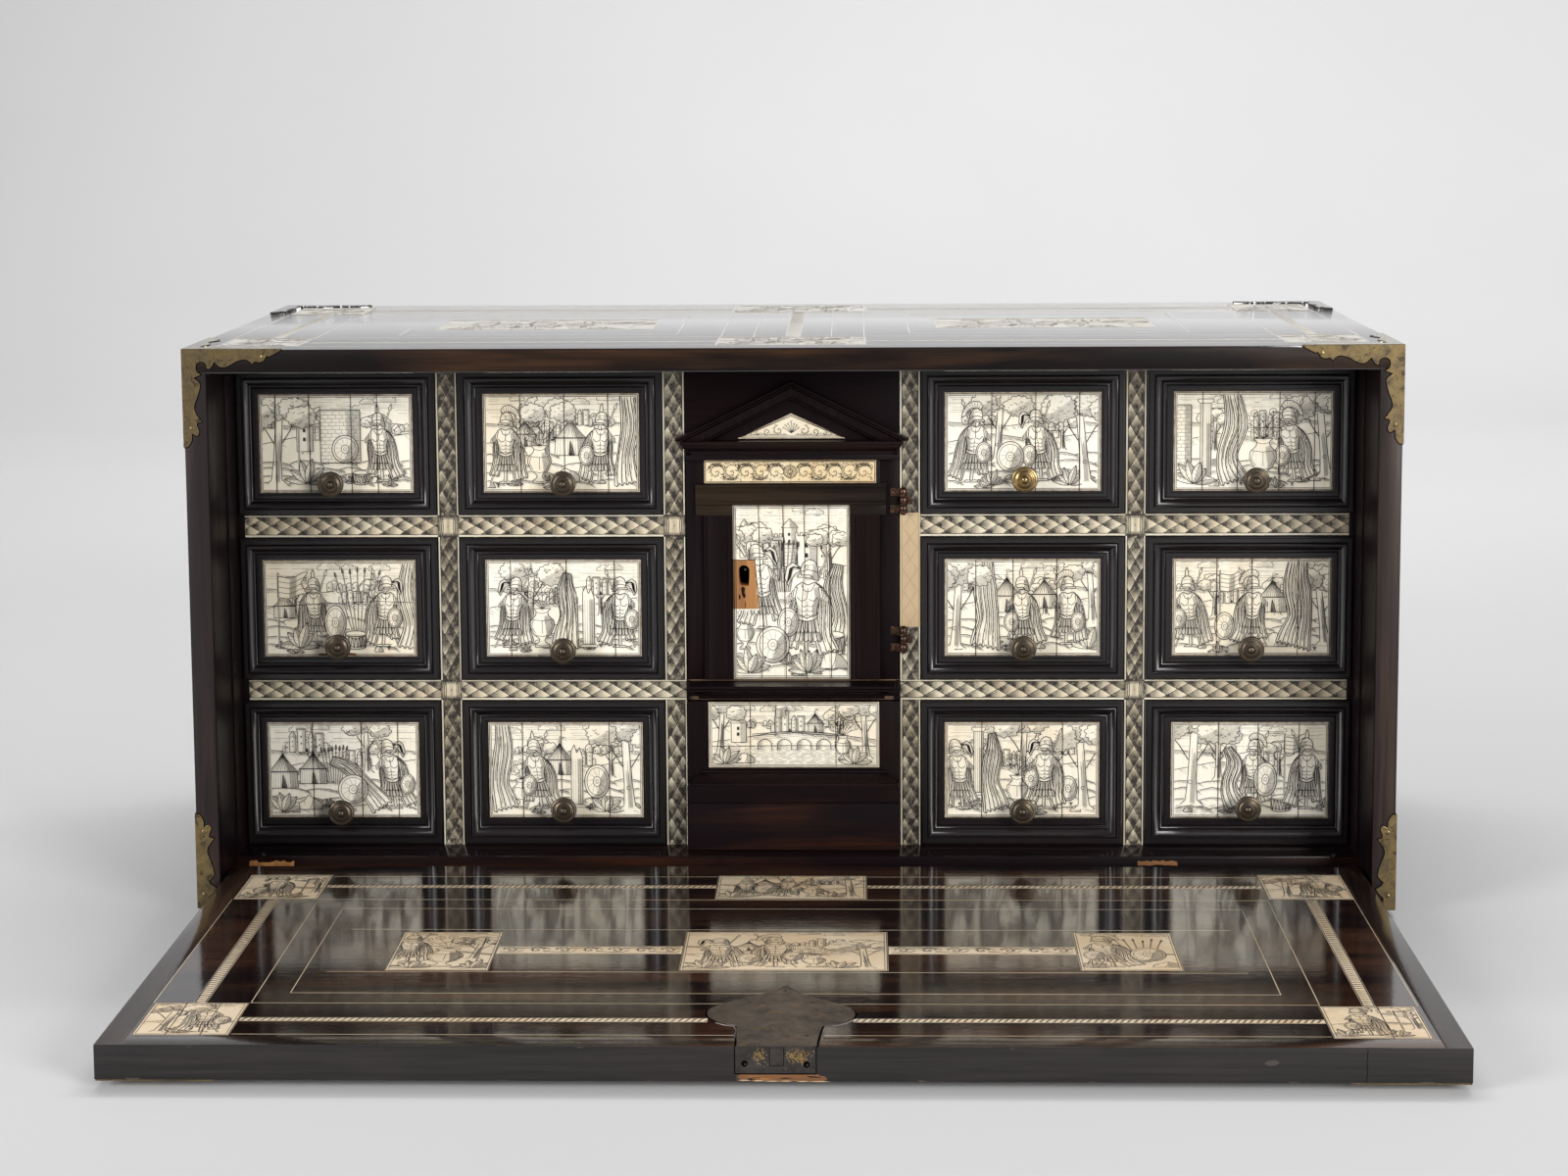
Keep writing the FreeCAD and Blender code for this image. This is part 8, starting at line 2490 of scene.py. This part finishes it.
plate_poly("fall_lock_plate", ogee, [], lambda u, v, n: (u, -411.6 + v, 26.4 + n), 0.8, 0.0, IRON_PLATE, "fall_front", "flap_lock", 0.25)
nails = []
for u, v in ((-44, 72), (43, 72), (1.2, 118), (-22, 20), (19, 20), (-24, 92), (22, 92)):
    rings = [[(u + r * math.cos(2 * math.pi * q / 12), -411.6 + v + r * math.sin(2 * math.pi * q / 12), 27.15 + z) for q in range(12)] for r, z in ((1.7, -0.1), (1.6, 0.15), (1.1, 0.35), (0.4, 0.45))]
    nails.append(loft(rings, True, True))
v, f = merge(nails)
piece("fall_lock_nails", v, f, IRON, "fall_front", None, 60)
slot_hole = [(-6.8, 12.6), (3.4, 12.6), (3.4, 25.0), (-6.8, 25.0)]
plate_poly("fall_lock_leaf", [(-30.4, 7.6), (-29.6, 7.0), (24.8, 7.0), (25.4, 7.6), (25.4, 26.4), (-30.4, 26.4)], [slot_hole, circle(-24, 14, 2.4), circle(19, 13.4, 2.5)],
           lambda u, v, n: (u, -410.6 - n, v), 0.88, -0.4, IRON_GILT, "fall_front", None, 0.25)
# black discs in the two nail holes of the leaf: painted shade of the holes' depth
v, f = merge([lathe([(0.01, 0), (2.35, 0), (2.35, 0.14), (0.01, 0.14)], cx, cz, -411.2, 16) for cx, cz in ((-24, 14), (19, 13.4))])
piece("fall_lock_leaf_wells", v, f, DARK_GAP_AND_SHADE, "fall_front")
v, f = merge([lathe([(0.01, 0), (0.75, 0), (0.6, 0.10), (0.01, 0.12)], cx + 0.5, cz - 0.5, -411.32, 10) for cx, cz in ((-24, 14), (19, 13.4))])
piece("fall_lock_leaf_pins", v, f, IRON_GILT, "fall_front")
boards("fall_lock_leaf_gap", [(-31.2, -30.4, -411.56, -411.0, 6.6, 26.3), (25.4, 26.1, -411.56, -411.0, 6.6, 26.3), (-30.6, 25.6, -411.56, -411.0, 6.3, 7.0)], [DARK_GAP_AND_SHADE], "fall_front", 0.0)


def gilding():
    p = Plate(55.8, 19.4, 12, 0.6)
    p.bold = (1.0, 1.0)
    R = p.rnd
    for cx, cy, sx, sy, n in ((17.0, 12.2, 2.9, 2.6, 95), (39.5, 12.4, 3.0, 2.8, 80), (46.5, 11.6, 4.2, 3.0, 130), (27.0, 16.0, 9.0, 1.2, 14)):
        for k in range(n):
            x, y = cx + R.gauss(0, sx), cy + R.gauss(0, sy)
            if 0.8 < x < 55 and 0.8 < y < 18.4:
                p.line([(x, y), (x + R.uniform(-0.6, 0.6), y + R.uniform(-0.6, 0.6))], R.uniform(0.25, 0.75))
    keep = [q for q in p.dark if not (22.8 < q[0][:, 0].mean() < 34.6 and q[0][:, 1].mean() > 4.8)]
    keep = [q for q in keep if min(np.hypot(q[0][:, 0] - 6.4, q[0][:, 1] - 7.0).min(), np.hypot(q[0][:, 0] - 49.4, q[0][:, 1] - 6.4).min()) > 2.7]
    keep = [q for q in keep if q[0][:, 0].max() < 22.8 or q[0][:, 0].min() > 34.6]
    v, f = ribbons(keep, lambda u, w2, n: (-30.4 + u, -411.5 - n, 7.0 + w2), 0.07, -0.1)
    piece("fall_lock_leaf_gilding", v, f, GILT, "fall_front")


gilding()
keyhole = circle(-1.6, -377.6, 4.0, 20)
plate_poly("fall_key_plate", [(-17, -399.6), (14, -399.6), (14, -353.6), (-17, -353.6)], [keyhole], lambda u, v, n: (u, v, 1.2 - n), 1.0, -0.2, IRON_PLATE, "fall_front", None, 0.25)
def splinters():
    """Bare, torn wood below the lock's edge leaf."""
    R = random.Random(19)
    top = [(33.4, 3.4), (31.6, 5.0), (28.4, 5.4), (26.6, 6.7), (20, 6.3), (12, 6.8), (4, 6.2), (-6, 6.6), (-15, 6.2), (-22, 6.7), (-27.4, 6.0), (-29.2, 4.4), (-26.6, 3.0)]
    low = [(-27.4, 2.0), (-24, 2.5), (-20, 1.7), (-16, 2.2), (-10, 1.6), (-4, 2.3), (3, 1.5), (9, 2.1), (15, 1.4), (21, 2.0), (27, 1.5), (32, 2.2)]
    plate_poly("fall_edge_loss", low + top, [], lambda u, v, n: (u, -411.2 - n, v), 0.335, -0.5, RAW_X, "fall_front", None, 0)
    for i in range(22):
        x = R.uniform(-28, 23)
        z = R.uniform(2.4, 5.6)
        L, t = R.uniform(5, 13), R.uniform(0.25, 0.7)
        tilt = R.uniform(-0.09, 0.05)
        pts = [(x, z), (x + L * 0.3, z - t + tilt * L * 0.3), (x + L * 0.7, z - t * 0.7 + tilt * L * 0.7), (x + L, z + tilt * L), (x + L * 0.6, z + t * 0.5 + tilt * L * 0.6), (x + L * 0.2, z + t * 0.4)]
        plate_poly("fall_edge_splinter_%02d" % i, pts, [], lambda u, v, n: (u, -411.53 - n, v), R.uniform(0.015, 0.045), -0.4, (RAW_X, BARK, BLACKENED_WOOD_AND_HOLE_SHADE)[i % 3], "fall_front", None, 0)
    for i, (x0, x1, z) in enumerate(((-28.6, -19.5, 2.2), (-19, -9.8, 1.9), (-10.5, 1.0, 1.6), (0.2, 9.5, 1.7), (12, 21, 1.5), (20, 35.8, 1.5))):
        m = (x0 + x1) / 2
        pts = [(x0, z), (m - 1, z - 0.45), (x1, z - 0.1), (m + 1.5, z + 0.42), (m - 2, z + 0.30)]
        plate_poly("fall_edge_sliver_%d" % i, pts, [], lambda u, v, n: (u, -411.53 - n, v), 0.06, -0.4, SPLINTER, "fall_front", None, 0)


splinters()
# dark disc behind the key hole: painted shade of the hole's depth
plate_poly("fall_key_plate_well", circle(-1.6, -377.6, 4.6, 20), [], lambda u, v, n: (u, v, 1.2 - n), -0.15, -0.6, BLACKENED_WOOD_AND_HOLE_SHADE, "fall_front", None, 0)
n = 24
rings = [[(x, -350.5 + r * math.cos(2 * math.pi * q / n), 17.0 + r * math.sin(2 * math.pi * q / n)) for q in range(n)] for x, r in ((476.6, 1.6), (477.9, 1.6), (478.1, 2.15), (479.2, 2.15), (479.55, 1.7))]
v, f = loft(rings, True, True)
piece("fall_stub_pin", v, f, BRONZE_GOLD, "fall_front", None, 35)
_leaves, _knuckles = [], []
for _xc in (-320.0, 0.0, 320.0):
    _leaves.append((_xc - 34.5, _xc + 34.5, 4.0, 33.2, 0.25, 1.3))
    for _x0, _x1 in ((_xc - 35, _xc - 12), (_xc + 12, _xc + 35)):
        _knuckles.append(loft([[(x, 36.0 + r * math.cos(2 * math.pi * q / 20), 3.2 + r * math.sin(2 * math.pi * q / 20)) for q in range(20)] for x, r in ((_x0, 2.4), (_x0 + 0.5, 2.85), (_x1 - 0.5, 2.85), (_x1, 2.4))], True, True))
boards("fall_hinge_leaves", _leaves, [IRON], "fall_front", 0.3, "flap_hinge_leaves")
v, f = merge(_knuckles)
piece("fall_hinge_knuckles", v, f, IRON, "fall_front", None, 35)
# outer face of the fall front: plain, with two strings
_b = []
for _d in (24.0, 60.0):
    _x, _y0, _y1 = 477 - _d, -411.6 + _d, 36 - _d
    for _q in ((-_x, _x, _y0 - 0.5, _y0 + 0.5), (-_x, _x, _y1 - 0.5, _y1 + 0.5), (-_x - 0.5, -_x + 0.5, _y0, _y1), (_x - 0.5, _x + 0.5, _y0, _y1)):
        _b.append(_q + (1.14, 1.5))
boards("fall_outer_strings", _b, [IVORY_LINE], "fall_front", 0.03)

# ------------------------------------------------------------------ cabinet top
ZT = 472.0
PL_TOP = {"corner_a": (-479, -408, 25, 98, "plants"), "corner_b": (408, 479, 25, 98, "tree"), "corner_c": (-479, -408, 340, 413, "tree"), "corner_d": (408, 479, 340, 413, "plants"),
          "front": (-63.5, 63.5, 20, 93, "wide"), "rear": (-63.5, 63.5, 345, 418, "wide"), "long_a": (-318, -123, 170, 268, "wide"), "long_b": (123, 318, 170, 268, "wide")}
for _i, (_n, (_x0, _x1, _y0, _y1, _k)) in enumerate(PL_TOP.items()):
    flat_scene("top_" + _n, _x0, _x1, _y0, _y1, ZT, "case", IVORY_TOP, _k, 300 + _i, (0.35, 0.7), inks=[INK_TOP, INK_TOP], gain=0.1, bold=(0.75, 0.5))
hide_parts("carcass_plaques")
for _n, _a in {"top_rope_front_left": (-408, -63.5, 53.0, 61.0, "X"), "top_rope_front_right": (63.5, 408, 53.0, 61.0, "X"), "top_rope_rear_left": (-408, -63.5, 376.0, 384.0, "X"),
               "top_rope_rear_right": (63.5, 408, 376.0, 384.0, "X"), "top_rope_side_left": (-445.5, -436.5, 98, 340, "Y"), "top_rope_side_right": (436.5, 445.5, 98, 340, "Y"),
               "top_rope_middle": (-6.0, 7.0, 93, 345, "Y")}.items():
    rope(_n, *_a, ZT, "case", IVORY_TOP, 4.8, 5, False, (1.1, 0.8), [INK_TOP, INK_TOP])
strings("top_strings", [(-33, 93, -33, 345), (33, 93, 33, 345), (-61, 93, -61, 345), (61, 93, 61, 345), (-408, 25.6, -63.5, 25.6), (63.5, 25.6, 408, 25.6), (-408, 97.5, 408, 97.5),
                        (-408, 340.5, 408, 340.5), (-408, 412.4, 408, 412.4), (-478.5, 98, -478.5, 340), (478.5, 98, 478.5, 340), (-408.4, 98, -408.4, 340), (408.4, 98, 408.4, 340),
                        (-100, 122, -340, 122), (100, 122, 340, 122), (-100, 316, -340, 316), (100, 316, 340, 316), (-340, 122, -340, 316), (340, 122, 340, 316), (-100, 122, -100, 316), (100, 122, 100, 316)],
        ZT, "case", IVORY_TOP, 0.9)

# ------------------------------------------------------------------ corner mounts
FRET = [(0, 0, 1), (81.6, 0.0, 1), (82, 1.3), (72.7, 6.3), (70.5, 5.5), (68, 9.5), (64, 11), (60.5, 10.5), (58, 13, 1), (57.5, 11.5), (55, 9.5), (52, 8.7), (46, 10), (41, 12.7), (36, 15), (31, 14.3),
        (27, 10.3, 1), (25, 14), (22.7, 16.3), (20.9, 16.0, 1), (20.2, 12.7), (18, 10.8), (14.6, 10.6), (12.0, 12.6), (11.4, 16.0), (12.6, 19.2), (15.5, 21.0, 1), (12.5, 22.6), (9.5, 23.5, 1), (14, 27.7), (14.3, 32.3),
        (12, 40.3), (9.3, 47.7), (10.3, 53), (15.3, 60.3, 1), (11, 62), (13, 68.3), (11, 72), (7, 70), (6.7, 75.7), (3.5, 81, 1), (0, 81.6, 1)]
POST = [(0, 0, 1), (14.5, 0.0, 1), (12.0, 4.0), (9.6, 9.5), (13.5, 13.8), (16.2, 18.0, 1), (11.8, 20.6), (9.5, 23.5, 1), (14, 27.7), (14.3, 32.3), (12, 40.3), (9.3, 47.7), (10.3, 53), (15.3, 60.3, 1), (11, 62), (13, 68.3),
        (11, 72), (7, 70), (6.7, 75.7), (3.5, 81, 1), (0, 81.6, 1)]
fret, post = smooth_loop(FRET, 3), smooth_loop(POST, 3)


def dome(centre, axis, r=2.1, h=1.0):
    """A nail head on a face whose outward direction is axis."""
    c, a = Vector(centre), Vector(axis)
    u = a.orthogonal().normalized()
    w = a.cross(u)
    rings = []
    for rr, hh in ((1.0, 0.0), (0.96, 0.3), (0.75, 0.65), (0.4, 0.92), (0.06, 1.0)):
        rings.append([tuple(c + (u * math.cos(t) + w * math.sin(t)) * r * rr + a * h * hh) for t in (2 * math.pi * q / 14 for q in range(14))])
    return loft(rings, True, True)


def mounts():
    heads, rims, level = [], [], []
    for tag, sx in (("left", -1), ("right", 1)):
        plate_poly("mount_front_" + tag, fret, [], lambda u, v, n: (sx * (500.4 - u), -n, 472.5 - v), 0.9, -0.1, BRASS, "case", "corner_mounts" if sx < 0 else None, 0.2)
        plate_poly("mount_side_" + tag, fret, [], lambda u, v, n: (sx * (500 + n), -0.4 + u, 472.5 - v), 0.9, -0.1, BRASS, "case", None, 0.2)
        plate_poly("mount_top_" + tag, [(a * 1.0, b * 1.22) for a, b in fret], [], lambda u, v, n: (sx * (500.4 - u), -0.5 + v, 472 + n), 0.9, -0.1, BRASS_TOP, "case", None, 0.2)
        plate_poly("mount_foot_front_" + tag, post, [], lambda u, v, n: (sx * (500.4 - u), -n, 0.2 + v), 0.9, -0.1, BRASS, "case", None, 0.2)
        plate_poly("mount_foot_side_" + tag, post, [], lambda u, v, n: (sx * (500 + n), -0.4 + u, 0.2 + v), 0.9, -0.1, BRASS, "case", None, 0.2)
        # dark outlines 0.75 mm wider than each mount, set just under it: painted shadow along the mount's edges
        gap, shadow_rim_foot = ([(max(u, 0.2), max(v, 0.2)) for u, v in grow(q, 0.75)] for q in (fret, post))
        plate_poly("mount_front_painted_shadow_" + tag, gap, [], lambda u, v, n: (sx * (500.4 - u), -n, 472.5 - v), 0.42, -0.1, DARK_GAP_AND_SHADE, "case", None, 0)
        plate_poly("mount_side_painted_shadow_" + tag, gap, [], lambda u, v, n: (sx * (500 + n), -0.4 + u, 472.5 - v), 0.08, -0.1, DARK_GAP_AND_SHADE, "case", None, 0)
        plate_poly("mount_top_painted_shadow_" + tag, [(a * 1.0, b * 1.22) for a, b in gap], [], lambda u, v, n: (sx * (500.4 - u), -0.5 + v, 472 + n), 0.10, -0.1, DARK_GAP_AND_SHADE, "case", None, 0)
        plate_poly("mount_foot_front_painted_shadow_" + tag, shadow_rim_foot, [], lambda u, v, n: (sx * (500.4 - u), -n, 0.2 + v), 0.42, -0.1, DARK_GAP_AND_SHADE, "case", None, 0)
        plate_poly("mount_foot_side_painted_shadow_" + tag, shadow_rim_foot, [], lambda u, v, n: (sx * (500 + n), -0.4 + u, 0.2 + v), 0.08, -0.1, DARK_GAP_AND_SHADE, "case", None, 0)
        for u, v in ((67, 6.6), (7.0, 65.5)):
            rims.append(dome((sx * (500.4 - u), -0.85, 472.5 - v), (0, -1, 0), 2.5, 0.08))
        for u, v in ((7.0, 66.2), (6.0, 12.2)):
            rims.append(dome((sx * (500.4 - u), -0.85, v), (0, -1, 0), 2.5, 0.08))
        for u, v in ((67, 6.6), (7.0, 65.5)):
            heads.append(dome((sx * (500.4 - u), -0.75, 472.5 - v), (0, -1, 0), 2.0, 0.5))
            heads.append(dome((sx * 500.4, -0.4 + u, 472.5 - v), (sx, 0, 0), 2.0, 0.55))
        heads.append(dome((sx * (500.4 - 7.0), -0.75, 0.2 + 66), (0, -1, 0), 2.0, 0.5))
        heads.append(dome((sx * (500.4 - 6.0), -0.75, 0.2 + 12), (0, -1, 0), 2.0, 0.5))
        heads.append(dome((sx * 500.4, 7.0, 66.0), (sx, 0, 0), 2.0, 0.55))
        level.append(dome((sx * (500.4 - 60), 8.0, 472.4), (0, 0, 1), 2.0, 0.55))
        level.append(dome((sx * (500.4 - 8), 62.0, 472.4), (0, 0, 1), 2.0, 0.55))
        plate_poly("mount_rear_top_" + tag, [(a, b) for a, b in fret], [], lambda u, v, n: (sx * (500.4 - u), 438.4 - v, 472 + n), 0.9, -0.1, IRON_TOP, "case", "back_mounts" if sx < 0 else None, 0.2)
        plate_poly("mount_rear_side_" + tag, fret, [], lambda u, v, n: (sx * (500 + n), 438.4 - u, 472.5 - v), 0.9, -0.1, IRON, "case", None, 0.2)
        plate_poly("mount_rear_back_" + tag, fret, [], lambda u, v, n: (sx * (500.4 - u), 438 + n, 472.5 - v), 0.9, -0.1, IRON, "case", None, 0.2)
    v, f = merge(heads)
    piece("mount_nails", v, f, BRASS, "case", None, 60)
    v, f = merge(rims)
    piece("mount_nail_rims", v, f, DARK_GAP_AND_SHADE, "case", None, 60)
    v, f = merge(level)
    piece("mount_nails_level", v, f, IRON, "case", None, 60)
    plate_poly("strike_plate", [(-23.8, 40.2), (20.4, 40.2), (20.4, 60.8), (-23.8, 60.8)], [[(-8.6, 43.6), (5.2, 43.6), (5.2, 59.8), (-8.6, 59.8)]], lambda u, v, n: (u, v, 452.2 - n), 0.7, -0.3, IRON, "case", None, 0.15)
    # dark plate in the strike plate's opening: painted shade of the mortise behind it
    plate_poly("strike_well", [(-8.4, 43.8), (5.0, 43.8), (5.0, 59.6), (-8.4, 59.6)], [], lambda u, v, n: (u, v, 451.99 - n), 0.04, -0.2, BLACKENED_WOOD_AND_HOLE_SHADE, "case", None, 0)
    rear = []
    for tag, sx in (("left", -1), ("right", 1)):
        plate_poly("fall_mount_" + tag, fret, [], lambda u, v, n: (sx * (477.0 - u), -411.4 + v, 1.2 - n), 0.9, -0.1, BRASS, "fall_front", "flap_corner_mounts" if sx < 0 else None, 0.2)
        for u, v in ((67, 6.6), (7.0, 65.5)):
            rear.append(dome((sx * (477.0 - u), -411.4 + v, 0.75), (0, 0, -1), 2.0, 0.5))
    v, f = merge(rear)
    piece("fall_mount_nails", v, f, BRASS, "fall_front", None, 60)


mounts()
